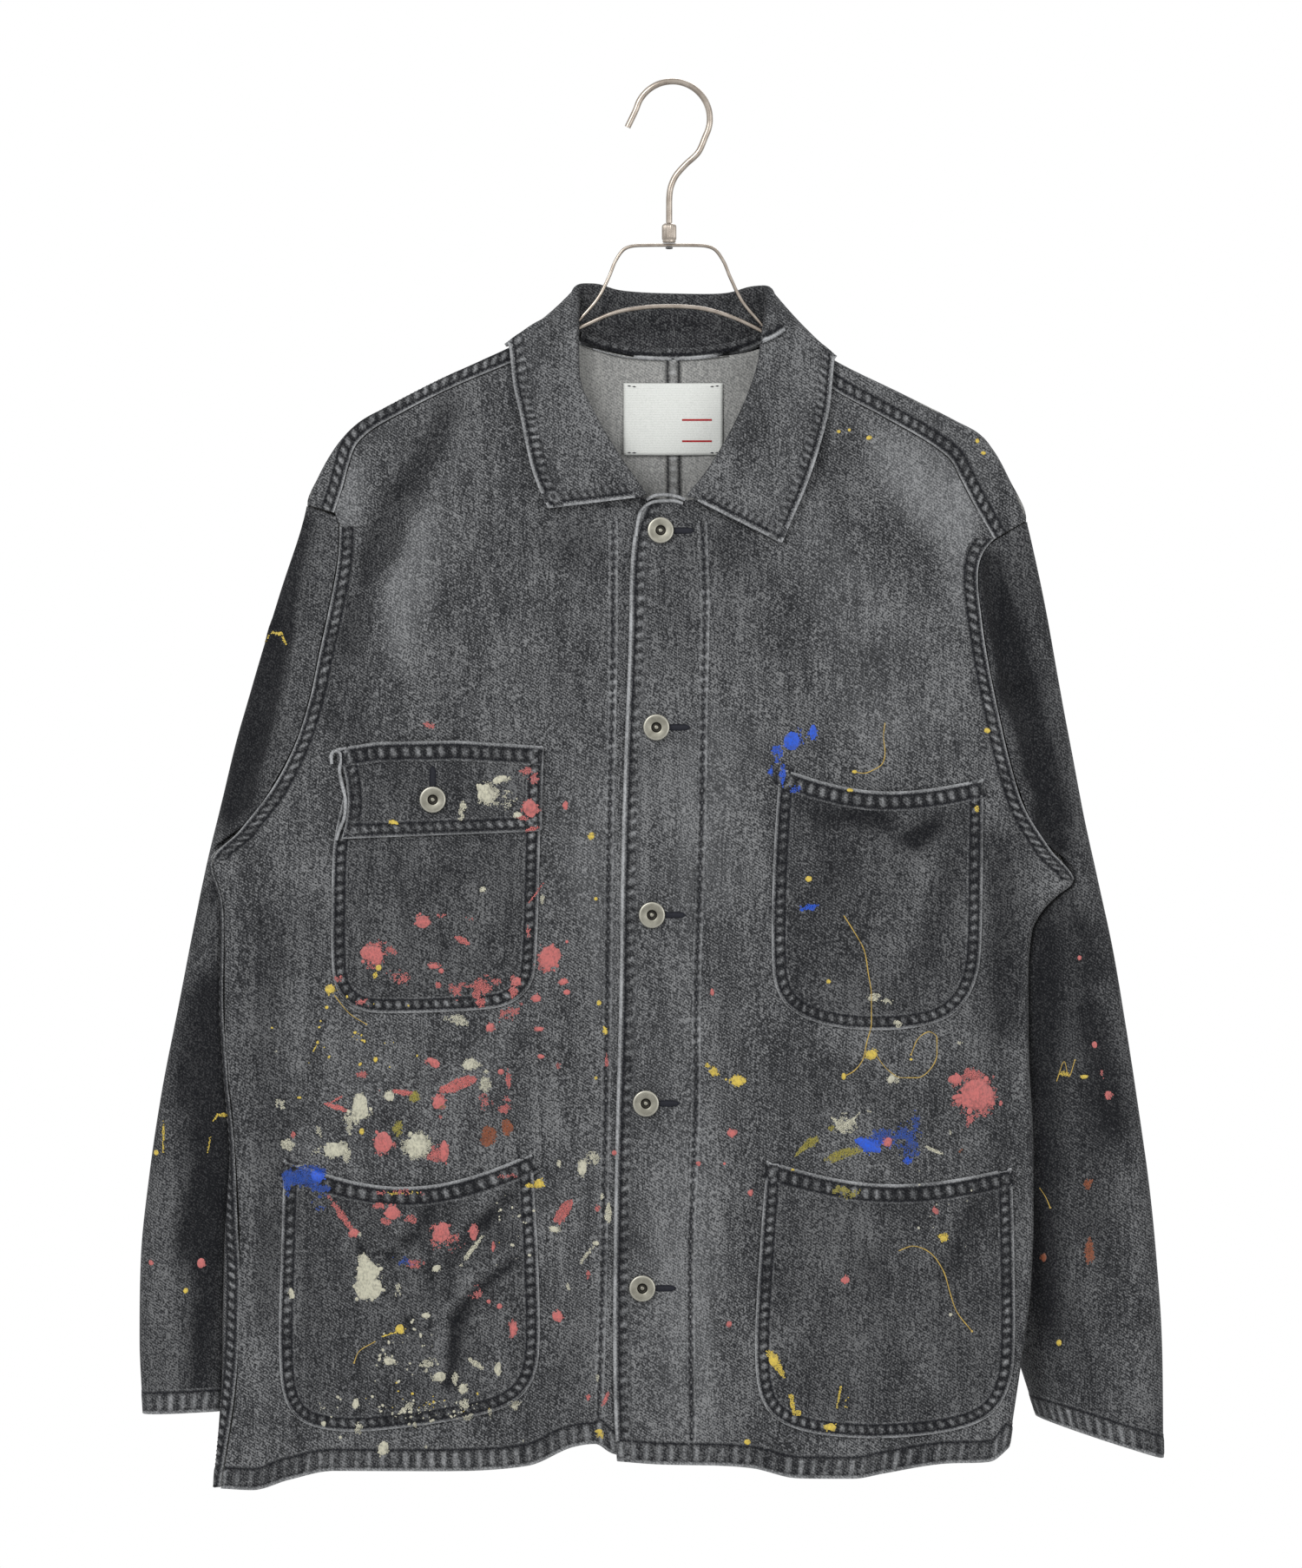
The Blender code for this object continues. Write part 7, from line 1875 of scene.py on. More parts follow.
class Marks:
    """Flat islands of one colour, as (x, down, height above the cloth)."""

    def __init__(self, seed):
        self.rng = np.random.default_rng(seed)
        self.spots, self.thin, self.faces, self.count = [], [], [], 0

    def add(self, points, faces, thin=0.0):
        self.spots.append(points)
        self.thin.append(np.broadcast_to(thin, len(points)))
        self.faces.extend((np.asarray(faces) + self.count).tolist())
        self.count += len(points)

    def island(self, x, down, half_wide, half_high, sides=12, ragged=0.1, heading=0.0):
        """A low dome with an uneven rim."""
        turn = np.linspace(0, 2 * np.pi, sides, endpoint=False)
        rim = np.ones(sides)
        for wave in (2, 3, 5, 8, 13):
            if wave < sides / 2:
                high = ragged * self.rng.normal() / wave**0.8
                rim += high * np.cos(wave * turn + self.rng.uniform(0, 6.3))
        rim = np.clip(rim, 0.6, 1.4)
        size = min(half_wide, half_high)
        levels = ((1.0, -0.1), (0.84, 0.8), (0.45, 1.0)) if size > 1.0 else ((1.0, 0.1),)
        thick = min(PAINT_THICK, 0.2 * size + 0.03)
        cos, sin = math.cos(heading), math.sin(heading)
        rings = []
        for share, height in levels:
            a, b = rim * share * half_wide * np.cos(turn), rim * share * half_high * np.sin(turn)
            spots = x + a * cos - b * sin, down + a * sin + b * cos, np.full(sides, height * thick)
            rings.append(np.stack(spots, -1))
        rings.append(np.array([[x, down, thick]]))
        faces = []
        for ring in range(len(levels)):
            start, after = ring * sides, (ring + 1) * sides
            for i in range(sides):
                j = (i + 1) % sides
                if ring == len(levels) - 1:
                    faces.append((start + i, start + j, after, after))
                else:
                    faces.append((start + i, start + j, after + j, after + i))
        thin = [RIM_THIN] + [0.5 * RIM_THIN] * (len(levels) - 1)
        patchy = self.rng.uniform(0.0, 0.3, len(levels) * sides + 1)
        self.add(np.vstack(rings), faces, np.append(np.repeat(thin, sides), 0.0) + patchy)

    def blot(self, x, down, half_wide, half_high, heading=0.0):
        heading = math.radians(heading)
        small = max(half_wide, half_high) < SMALL_BLOT
        sides, ragged = SMALL_RIM if small else LARGE_RIM
        self.island(x, down, half_wide, half_high, sides, ragged, heading)
        if small:
            return
        self.dry(x, down, HAZE * half_wide, HAZE * half_high, HAZE_COVER, math.degrees(heading))
        for _ in range(int(3 + half_wide / 2)):
            turn, away = self.rng.uniform(0, 6.3), self.rng.uniform(0.85, 1.3)
            size = self.rng.uniform(0.06, 0.22) * min(half_wide, half_high)
            self.island(
                x + away * half_wide * math.cos(turn), down + away * half_high * math.sin(turn),
                size * self.rng.uniform(1, 1.6), size, DROP_SIDES, DROP_RAGGED, turn,
            )

    def dry(self, x, down, half_wide, half_high, cover, heading=0.0):
        """Paint that caught on the high threads only, thinner towards its rim."""
        heading = math.radians(heading)
        grown = 1.12
        a = np.arange(-half_wide * grown, half_wide * grown + CELL, CELL)
        b = np.arange(-half_high * grown, half_high * grown + CELL, CELL)
        a, b = (side.ravel() for side in np.meshgrid(a, b))
        a = a + self.rng.uniform(-0.3, 0.3, a.shape) * CELL
        b = b + self.rng.uniform(-0.3, 0.3, b.shape) * CELL
        far = (a / half_wide) ** 2 + (b / half_high) ** 2
        seed = int(self.rng.integers(1, 10000))
        chance = cover * (1.15 - 0.85 * far) + 0.30 * lattice(4.6, a * 0.6, b, seed)
        chance += 0.22 * lattice(1.7, a, b, seed + 1) + 0.12 * self.rng.uniform(-1, 1, a.shape)
        kept = (chance > LEAST_COVER) & (far < 1.25)
        a, b = a[kept], b[kept]
        cos, sin = math.cos(heading), math.sin(heading)
        u, v = x + a * cos - b * sin, down + a * sin + b * cos
        corners = []
        for left, top in ((-1, -1), (-1, 1), (1, 1), (1, -1)):
            wide = CELL * self.rng.uniform(BROKEN_FROM, BROKEN_TO, u.shape)
            high = CELL * self.rng.uniform(BROKEN_FROM, BROKEN_TO, u.shape)
            corners.append(np.stack([u + left * wide, v + top * high, np.full(u.shape, CELL_THICK)], -1))
        points = np.stack(corners, axis=1).reshape(-1, 3)
        thin = THINNEST * (1 - cover) + 0.6 * np.clip(0.7 - chance[kept], 0, 1) + 0.12 * far[kept]
        if len(points):
            faces = np.arange(len(points)).reshape(-1, 4)[:, ::-1]
            self.add(points, faces, np.repeat(np.clip(thin, 0, MOST_THIN), 4))

    def streak(self, x, down, to_x, to_down, wide, cover):
        length = math.hypot(to_x - x, to_down - down)
        heading = math.degrees(math.atan2(to_down - down, to_x - x))
        self.dry((x + to_x) / 2, (down + to_down) / 2, length / 2 + wide * 0.3, wide / 2, cover, heading)

    def specks(self, x, down, half_wide, half_high, number):
        for _ in range(number):
            u = x + half_wide * float(np.clip(self.rng.normal() * 0.5, -1, 1))
            v = down + half_high * float(np.clip(self.rng.normal() * 0.5, -1, 1))
            size = 0.3 + 0.75 * self.rng.uniform() ** 2
            long = size * self.rng.uniform(1, 1.6)
            self.island(u, v, long, size, SPECK_SIDES, DROP_RAGGED, self.rng.uniform(0, 3))

    def thread(self, points, wide):
        """A string of paint, rounded over and uneven in width."""
        line, steps = smoothed(points, lambda long: max(int(long / 0.9), 6))
        heading = np.gradient(line, axis=0)
        heading /= np.linalg.norm(heading, axis=1)[:, None]
        normal = np.stack([-heading[:, 1], heading[:, 0]], axis=-1)
        uneven = lattice(5.0, steps, steps * 0, int(self.rng.integers(1, 9999)))
        half = THREAD_THIN * wide / 2 * (1 + 0.35 * uneven)
        rows = [
            np.column_stack([line + normal * (half * off)[:, None], half * high])
            for off, high in ((-1, -0.3), (-0.55, 0.7), (0, 1.0), (0.55, 0.7), (1, -0.3))
        ]
        grid = np.stack(rows, axis=1)
        self.add(grid.reshape(-1, 3), grid_faces(*grid.shape[:2]))
        self.island(*line[-1], wide * 0.9, wide * 0.8, 12)


def build_paint(marks_of, skin, ahead, seed):
    """All the marks of one colour, laid on the cloth that shows from the front or the back."""
    marks = Marks(seed)
    for kind, *sizes in marks_of:
        getattr(marks, kind)(*sizes)
    spots = np.vstack(marks.spots)
    y = skin.y_at(spots[:, 0], spots[:, 1], ahead) + ahead * (PAINT_LIFT + spots[:, 2])
    points = stacked(spots[:, 0], spots[:, 1], y)
    faces = [tuple(dict.fromkeys(face)) for face in marks.faces]
    return points, [face[::-1] for face in faces] if ahead < 0 else faces, np.concatenate(marks.thin)

# ---------------------------------------------------------------- buttons, label and hanger

BUTTON_FACE = (  # radius and height, as shares of half the width and of the thickness
    (0.0, 0.0), (0.80, 0.0), (0.93, 0.10), (0.985, 0.30), (1.0, 0.50), (0.99, 0.68), (0.965, 0.80),
    (0.93, 0.87), (0.88, 0.90), (0.80, 0.91), (0.70, 0.90), (0.60, 0.87), (0.50, 0.83), (0.44, 0.80),
    (0.40, 0.76), (0.365, 0.66), (0.335, 0.50), (0.31, 0.38), (0.27, 0.33), (0.22, 0.33), (0.18, 0.38),
    (0.15, 0.46), (0.12, 0.52), (0.08, 0.55), (0.0, 0.56),
)
BUTTON_SIDES = 56
BUTTON_DARK_IN, BUTTON_DARK_OUT = 0.16, 0.40
BUTTON_RIM, BUTTON_RIM_WIDE = 0.84, 0.1  # the worn rim starts at this share of the radius
BUTTON_TOP_RING = 5  # of BUTTON_FACE, from where its upper side is seen
HOLE_LONG, HOLE_WIDE = 13.0, 3.0
HOLE_STITCHES, HOLE_LONG_STEPS, HOLE_WIDE_STEPS = 64, 19, 7
HOLE_END, HOLE_END_TURNS = 0.86, 5  # stitches fan round the hole's ends past this share of its length
HOLE_STITCH = 1.3  # how long each reaches outwards
HOLE_THREAD = dict(pitch=99.0, half=0.42)  # a pitch longer than the line lays one stitch
HOLE_LIFT = 0.55
FERRULE_RIBS, RIB_SIDES, RIB_DEEP = 26, 6, 0.28
RIVET_SIDES = 40
FERRULE_FACE = (
    (0.0, 0.0), (0.82, 0.0), (0.90, 0.04), (0.91, 0.09), (0.90, 0.14), (0.94, 0.17), (1.0, 0.20),
    (1.0, 0.36), (1.0, 0.52), (1.0, 0.68), (1.0, 0.82), (0.94, 0.90), (0.80, 0.95), (0.62, 1.0), (0.0, 1.0),
)
RIVET_FACE = (
    (0.0, 0.12), (0.55, 0.05), (0.8, 0.2), (0.95, 0.45), (1.0, 0.7), (0.96, 0.95), (0.8, 1.0), (0.0, 1.0),
)
LABEL_BARS = ((0.59, 0.89, 0.51), (0.59, 0.89, 0.805))  # two plain bars: from and to across, and down
BAR_HIGH = 1.5


def turned(profile, wide, thick, sides, ribs=0, deep=0.0):
    """Points in millimetres, faces and radius shares of a solid turned about its own Z axis."""
    points, shares, rings = [], [], []
    for radius, height in profile:
        start = len(points)
        count = 1 if radius == 0.0 else sides
        for i in range(count):
            turn = 2 * math.pi * i / sides
            reach = radius * wide / 2
            if ribs and radius > 0.93:
                reach -= deep * (0.5 + 0.5 * math.cos(ribs * turn))
            points.append((reach * math.cos(turn), reach * math.sin(turn), height * thick))
            shares.append(radius)
        rings.append((start, count))
    faces = []
    for (low, low_count), (high, high_count) in zip(rings, rings[1:]):
        for i in range(sides):
            j = (i + 1) % sides
            if low_count == 1:
                faces.append((low, high + j, high + i))
            elif high_count == 1:
                faces.append((low + i, low + j, high))
            else:
                faces.append((low + i, low + j, high + j, high + i))
    return np.array(points), faces, np.array(shares)


def placed(points, middle_point, outward):
    """Turned points with their Z axis along `outward`, at a point given as x, down, y."""
    turn = np.array(Vector(outward).to_track_quat("Z", "Y").to_matrix())
    spots = points @ turn.T
    return np.stack([spots[:, 0], -spots[:, 2], spots[:, 1]], axis=-1) + np.array(middle_point)


def slope_at(x, down, step=SLOPE_STEP):
    across = float(front_y(x + step, down) - front_y(x - step, down)) / (2 * step)
    downwards = float(front_y(x, down + step) - front_y(x, down - step)) / (2 * step)
    return Vector((across, -1.0, -downwards)).normalized()


def build_button(name, x, down, material):
    lift = FLAP_BUTTON_LIFT if name == "button_flap" else BUTTON_LIFT
    points, faces, shares = turned(BUTTON_FACE, BUTTON_WIDE, BUTTON_THICK, BUTTON_SIDES)
    points = placed(points, (x, down, float(front_y(x, down)) - lift), slope_at(x, down))
    ring = (shares > BUTTON_DARK_IN) & (shares < BUTTON_DARK_OUT)
    rim = np.clip((shares - BUTTON_RIM) / BUTTON_RIM_WIDE, 0, 1)
    index = np.cumsum([0] + [1 if radius == 0 else BUTTON_SIDES for radius, _ in BUTTON_FACE])
    top = np.arange(len(points)) >= index[BUTTON_TOP_RING]
    made = mesh_object(
        name + "_metal", points, faces, [material], looks={"worn": rim * top, "dark": ring * top}
    )
    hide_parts(name)
    return made


def add_buttonhole(shape, x, down, skin, upright=False):
    """Thread worked round a slit, from under the button outwards."""
    turn = np.linspace(0, 2 * np.pi, HOLE_STITCHES, endpoint=False)
    half, wide = HOLE_LONG / 2, HOLE_WIDE / 2
    a, b = half * np.cos(turn), wide * 0.62 * np.sin(turn)
    past_end = np.maximum(np.abs(np.cos(turn)) - HOLE_END, 0)
    out_a, out_b = np.sign(np.cos(turn)) * past_end * HOLE_END_TURNS, np.sin(turn)
    size = np.hypot(out_a, out_b) + 1e-9
    out_a, out_b = out_a / size, out_b / size
    middle_a = BUTTON_WIDE / 2 + half - 1.0
    run, across = np.linspace(-1, 1, HOLE_LONG_STEPS), np.linspace(-1, 1, HOLE_WIDE_STEPS)
    run, across = np.meshgrid(run, across, indexing="ij")
    narrow = np.sqrt(np.clip(1 - run**8, 0, 1))
    u, v = run * (half + 0.6) + middle_a, across * narrow * wide * 1.15
    spots = (x + u, down + v) if not upright else (x + v, down - u)
    y = skin.y_at(*spots) - HOLE_LIFT * (1 - 0.7 * across**2) * narrow
    shape.add(stacked(*spots, y), grid_faces(*run.shape, not upright))
    for u, v, du, dv in zip(a, b, out_a, out_b):
        inner, outer = (u + middle_a, v), (u + middle_a + du * HOLE_STITCH, v + dv * HOLE_STITCH)
        ends = [(x + p, down + q) if not upright else (x + q, down - p) for p, q in (inner, outer)]
        spots = np.array([(p, q, float(skin.one(p, q, -1.0)) - 0.15) for p, q in ends])
        normal = np.tile((0.0, 0.0, -1.0), (2, 1))
        spread = spots[1] - spots[0]
        line = np.array([spots[0] - spread * 0.6, spots[1] + spread * 0.3])
        long = float(np.linalg.norm(line[1] - line[0])) - 0.7
        add_stitches(shape, line, normal, long=long, **HOLE_THREAD)


LABEL_STEPS = (34, 26)
LABEL_SIZE = (66, 47)  # its width and height, to measure how near its edge a point is
LABEL_BOW = 0.5  # its middle stands off the cloth by this
LABEL_WAVE, LABEL_WAVE_LONG = 0.35, 21.0
LABEL_CURL, LABEL_CURL_WIDE = 0.25, 1.2  # and its edge turns back by this, over this width
BAR_STEPS = 30
BAR_RISE = (-0.05, 0.14, 0.18, 0.14, -0.05)  # a bar's height over the label, from side to side
LABEL_THREAD = dict(pitch=3.3, long=3.0, half=0.42)


def build_label(materials):
    cloth, red = materials
    inside = CLOTH + LABEL_CLEAR + LABEL_CLOTH
    x = np.linspace(LABEL["left"], LABEL["right"], LABEL_STEPS[0])
    down = np.linspace(LABEL["top"], LABEL["bottom"], LABEL_STEPS[1])
    grid_x, grid_down = np.meshgrid(x, down)
    u, v = (grid_x - x[0]) / (x[-1] - x[0]), (grid_down - down[0]) / (down[-1] - down[0])
    edge = np.minimum(np.minimum(u, 1 - u) * LABEL_SIZE[0], np.minimum(v, 1 - v) * LABEL_SIZE[1])
    bowed = LABEL_BOW * np.sin(np.pi * u) * np.sin(np.pi * v)
    bowed = bowed + LABEL_WAVE * lattice(LABEL_WAVE_LONG, grid_x, grid_down, SEEDS["label"])
    y = back_y(grid_x, grid_down) - inside - bowed + LABEL_CURL * (1 - rounded(edge / LABEL_CURL_WIDE))
    grid = stacked(grid_x, grid_down, y)
    points, faces, _ = joined([grid])
    made = mesh_object("neck_label_cloth", points, faces, [cloth])
    thicken(made, LABEL_CLOTH, -1)
    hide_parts("neck_label")
    bars = Shape()
    skin = Skin(points, faces)
    for first, last, at in LABEL_BARS:
        bar_x = np.linspace(x[0] + first * (x[-1] - x[0]), x[0] + last * (x[-1] - x[0]), BAR_STEPS)
        bar_down = np.linspace(-BAR_HIGH / 2, BAR_HIGH / 2, len(BAR_RISE))
        a, b = np.meshgrid(bar_x, down[0] + at * (down[-1] - down[0]) + bar_down)
        rise = np.array(BAR_RISE)[:, None]
        bars.add(stacked(a, b, skin.y_at(a, b) - rise), grid_faces(*a.shape))
    printed = bars.made("neck_label_bars", red)
    corner = THREADS.setdefault("navy_thread", Shape())
    for corner_x, across in ((x[0] + 1.6, 1.0), (x[-1] - 1.6, -1.0)):
        for corner_down, downwards in ((down[0] + 1.6, 1.0), (down[-1] - 1.8, 0.2)):
            ends = ((corner_x, corner_down), (corner_x + 7.4 * across, corner_down + 0.9 * downwards))
            line = np.array([(p, q, skin.one(p, q, -1.0) - 0.25) for p, q in ends])
            add_stitches(corner, line, np.tile((0.0, 0.0, -1.0), (2, 1)), **LABEL_THREAD)
    return made, printed


def wire(name, node, points, diameter, material, step=1.2):
    """A round wire along a smooth line through these (x, down) points, in the plane y = 0."""
    spots = np.array(points, float)
    at = lengths_along(spots)
    steps = np.linspace(0, at[-1], int(at[-1] / step) + 1)
    across, down = (Curve(zip(at, values))(steps) for values in spots.T)
    data = bpy.data.curves.new(name, "CURVE")
    data.dimensions = "3D"
    data.bevel_depth = diameter / 2 * MM
    data.bevel_resolution = 5
    data.use_fill_caps = True
    spline = data.splines.new("POLY")
    spline.points.add(len(steps) - 1)
    for point, x, level in zip(spline.points, across, down):
        point.co = (x * MM, 0.0, -level * MM, 1.0)
    spline.use_smooth = True
    data.materials.append(material)
    made = bpy.data.objects.new(name, data)
    bpy.context.scene.collection.objects.link(made)
    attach(made, "root")
    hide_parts(node)
    return made


def hook_points():
    """The free end, the circle whose crown's underside is the origin, and the neck."""
    centre_down = HOOK_RADIUS - HOOK_WIRE / 2
    turns = np.radians(np.linspace(HOOK_FROM, HOOK_TO, HOOK_STEPS))
    circle = [(HOOK_RADIUS * math.cos(a), centre_down - HOOK_RADIUS * math.sin(a)) for a in turns]
    return [HOOK_TIP] + circle + list(HOOK_NECK)


def arm_points():
    """The shoulder wire: just under each shoulder's fold, and arching across the neck."""
    inside = CLOTH + ARM_CLEAR + ARM_WIRE / 2
    points = []
    for side, limit in ((RIGHT, ARM_END_RIGHT), (LEFT, ARM_END_LEFT)):
        folds = [(x, down) for down, x in side.fold_points if abs(x) > ARM_STARTS]
        run = []
        for (x0, d0), (x1, d1) in zip(folds, folds[1:]):
            direction = np.array((x1 - x0, d1 - d0)) / math.hypot(x1 - x0, d1 - d0)
            normal = np.array((-direction[1], direction[0])) * (1 if side.out > 0 else -1)
            spot = np.array((x0, d0)) + normal * inside
            if abs(spot[0]) < abs(limit):
                run.append(tuple(spot))
        points.append(run)
    right, left = points
    return right[::-1] + list(ARCH_ROUTE) + left


def build_hanger(steel, dark):
    wire("hook_wire", "hanger_hook", hook_points(), HOOK_WIRE, steel)
    wire("frame_wire", "hanger_frame", FRAME_ROUTE, FRAME_WIRE, steel)
    wire("arms_wire", "hanger_arms", arm_points(), ARM_WIRE, steel)
    high = FERRULE_BOTTOM - FERRULE_TOP
    sides = FERRULE_RIBS * RIB_SIDES
    points, faces, _ = turned(FERRULE_FACE, FERRULE_WIDE, high, sides, ribs=FERRULE_RIBS, deep=RIB_DEEP)
    points = placed(points, (STEM_X, FERRULE_BOTTOM, 0.0), (0.0, 0.0, 1.0))
    made = mesh_object("ferrule_metal", points, faces, [steel])
    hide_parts("hanger_ferrule")
    points, faces, _ = turned(RIVET_FACE, RIVET_WIDE, RIVET_HIGH, RIVET_SIDES)
    foot = BAR_DOWN + FRAME_WIRE / 2 + GAP + RIVET_HIGH
    points = placed(points, (STEM_X, foot, 0.0), (0.0, 0.0, 1.0))
    made = mesh_object("rivet_metal", points, faces, [dark])
    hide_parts("hanger_rivet")

# ---------------------------------------------------------------- materials


def srgb(*values):
    """A colour given as 0 to 255 in sRGB, as the linear one that shaders take."""
    shares = [value / 255 for value in values]
    return tuple(v / 12.92 if v <= 0.04045 else ((v + 0.055) / 1.055) ** 2.4 for v in shares)


class Nodes:
    """Small helpers round one material's node tree."""

    def __init__(self, name, roughness, metallic=0.0):
        self.material = bpy.data.materials.new(name)
        self.material.use_nodes = True
        self.tree = self.material.node_tree
        self.shader = self.tree.nodes["Principled BSDF"]
        self.shader.inputs["Roughness"].default_value = roughness
        self.shader.inputs["Metallic"].default_value = metallic
        self.space = self.tree.nodes.new("ShaderNodeTexCoord").outputs["Object"]

    def new(self, kind, inputs=(), **settings):
        node = self.tree.nodes.new(kind)
        for key, value in settings.items():
            setattr(node, key, value)
        for key, value in dict(inputs).items():
            if isinstance(value, bpy.types.NodeSocket):
                self.tree.links.new(value, node.inputs[key])
            else:
                node.inputs[key].default_value = value
        return node

    def noise(self, scale, detail=2.0, roughness=0.55):
        """Noise whose features are 1/scale metres, with a scale for each axis."""
        spread = self.new("ShaderNodeMapping", {"Vector": self.space, "Scale": scale})
        return self.new(
            "ShaderNodeTexNoise",
            {"Vector": spread.outputs[0], "Scale": 1.0, "Detail": detail, "Roughness": roughness},
        ).outputs[0]

    def twill(self, pitch, turn, rough=1.2):
        """Diagonal ribs `pitch` metres apart."""
        spread = self.new(
            "ShaderNodeMapping", {"Vector": self.space, "Rotation": (0.0, turn, 0.0)}
        )
        return self.new(
            "ShaderNodeTexWave",
            {"Vector": spread.outputs[0], "Scale": 0.314159 / pitch, "Distortion": rough, "Detail": 1.0,
             "Detail Scale": 2.0},
            bands_direction="X",
        ).outputs["Fac"]

    def ramp(self, value, stops):
        node = self.new("ShaderNodeValToRGB", {"Fac": value})
        band = node.color_ramp
        while len(band.elements) < len(stops):
            band.elements.new(0.5)
        for element, (at, colour) in zip(band.elements, stops):
            element.position = at
            element.color = (*colour, 1.0)
        return node.outputs["Color"]

    def sum_of(self, parts):
        """A weighted sum: (socket, weight) pairs."""
        total = None
        for socket, weight in parts:
            if total is None:
                total = self.new("ShaderNodeMath", {0: socket, 1: weight}, operation="MULTIPLY").outputs[0]
            else:
                total = self.new(
                    "ShaderNodeMath", {0: socket, 1: weight, 2: total}, operation="MULTIPLY_ADD"
                ).outputs[0]
        return total

    def times(self, a, b):
        return self.new("ShaderNodeMath", {0: a, 1: b}, operation="MULTIPLY", use_clamp=True).outputs[0]

    def look(self, name):
        return self.new("ShaderNodeAttribute", attribute_name=name).outputs["Fac"]

    def mix(self, factor, a, b):
        node = self.new("ShaderNodeMix", data_type="RGBA")
        self.tree.links.new(factor, node.inputs[0])
        for index, value in ((6, a), (7, b)):
            if isinstance(value, bpy.types.NodeSocket):
                self.tree.links.new(value, node.inputs[index])
            else:
                node.inputs[index].default_value = (*value, 1.0)
        return node.outputs[2]

    def shine(self, level):
        self.shader.inputs["Specular IOR Level"].default_value = level

    def colour(self, socket):
        self.tree.links.new(socket, self.shader.inputs["Base Color"])

    def bump(self, height, strength, distance):
        node = self.new("ShaderNodeBump", {"Height": height, "Strength": strength, "Distance": distance})
        self.tree.links.new(node.outputs[0], self.shader.inputs["Normal"])


DENIM_WORN, DENIM_DEEP = (192, 194, 196), (16, 17, 21)  # sRGB, as every colour here; DENIM_DEEP is also the colour of the painted shade, and DENIM_WORN of the painted highlight on the pockets' ridges
DENIM_PARTS = (0.44, 0.12, 0.12, 0.10, 0.15, 0.07)  # of grain, flecks, slubs, streaks, clouds, twill
DENIM_SPREAD = 0.078  # from the middle tone to the darkest and to the lightest
TWILL_PITCH, TWILL_TURN = 0.0016, 58.0  # metres and degrees
OUTSIDE = ((36, 37, 39), (74, 75, 77), (128, 129, 130))  # the denim's dark, middle and light tones
WRONG_SIDE = ((118, 119, 118), (147, 147, 145), (172, 172, 169))
WRONG_SIDE_CONTRAST = 0.8
CLOTH_UNDER_PAINT = (74, 75, 78)
NAVY, RED = (26, 28, 38), (188, 40, 44)
PEWTER = ((124, 122, 112), (146, 144, 133), 0.42, (176, 174, 163), (52, 50, 46))
SATIN_NICKEL = ((148, 138, 128), (170, 161, 151), 0.3)
DARK_STEEL = ((30, 30, 30), (58, 56, 54), 0.45)


def denim(name, dark, mid, light, worn=DENIM_WORN, deep=DENIM_DEEP, contrast=1.0):
    """Faded denim: slubs that run downwards, grain, clouds, a twill, and worn and dark places. The dark
    places include painted shade, and the worn ones a painted highlight on the pockets' ridges.
    """
    made = Nodes(name, 0.92)
    grain = made.noise((1000.0, 1000.0, 800.0), 1.0)
    flecks = made.noise((540.0, 540.0, 480.0), 1.0)
    slubs = made.noise((700.0, 700.0, 70.0), 2.0)
    streaks = made.noise((150.0, 150.0, 12.0), 3.0)
    clouds = made.noise((26.0, 26.0, 18.0), 3.0)
    twill = made.twill(TWILL_PITCH, math.radians(TWILL_TURN))
    blend = made.sum_of(list(zip((grain, flecks, slubs, streaks, clouds, twill), DENIM_PARTS)))
    spread = DENIM_SPREAD / contrast
    cloth = made.ramp(blend, (
        (0.5 - spread, srgb(*dark)), (0.5, srgb(*mid)), (0.5 + spread, srgb(*light)),
    ))
    # the worn look lightens towards DENIM_WORN: worn cloth, and a painted highlight on the pockets' ridges
    rubbed = made.ramp(made.sum_of(((grain, 0.6), (flecks, 0.4))), ((0.38, (0.7,) * 3), (0.58, (1.0,) * 3)))
    cloth = made.mix(made.times(made.look("worn"), rubbed), cloth, srgb(*worn))
    # the dark look darkens towards DENIM_DEEP: darker cloth at seams and bands, and painted shade in fold
    # valleys, pocket creases, inside the collar's stand, under the collar's ends and the pockets' mouths and
    # in the sleeves' hollows
    sunk = made.ramp(grain, ((0.3, (1.0,) * 3), (0.7, (0.82,) * 3)))
    cloth = made.mix(made.times(made.look("dark"), sunk), cloth, srgb(*deep))
    made.colour(cloth)
    made.bump(made.sum_of(((twill, 0.25), (grain, 0.5), (flecks, 0.15), (slubs, 0.1))), 0.6, 0.0007)
    made.shader.inputs["Sheen Weight"].default_value = 0.03
    made.shader.inputs["Sheen Roughness"].default_value = 0.6
    made.shine(0.15)
    return made.material


def thread_material(name, colour, roughness=0.7):
    made = Nodes(name, roughness)
    fibre = made.noise((1500.0, 1500.0, 1500.0), 1.0)
    darker = tuple(value * 0.55 for value in srgb(*colour))
    made.colour(made.ramp(fibre, ((0.3, darker), (0.7, srgb(*colour)))))
    made.bump(fibre, 0.4, 0.0002)
    made.shine(0.3)
    return made.material


def paint_material(name, colour, roughness=0.5):
    """Dried paint, thin over the weave, a little uneven in colour."""
    made = Nodes(name, roughness)
    weave = made.noise((820.0, 820.0, 560.0), 2.0)
    clouds = made.noise((160.0, 160.0, 160.0), 2.0)
    full = srgb(*colour)
    thin = tuple(value * 0.62 for value in full)
    solid = made.ramp(made.sum_of(((weave, 0.6), (clouds, 0.4))), ((0.34, thin), (0.52, full)))
    through = made.times(made.look("thin"), made.ramp(weave, ((0.3, (1.0,) * 3), (0.62, (0.45,) * 3))))
    made.colour(made.mix(through, solid, srgb(*CLOTH_UNDER_PAINT)))
    made.bump(weave, 0.5, 0.0003)
    made.shine(0.4)
    return made.material


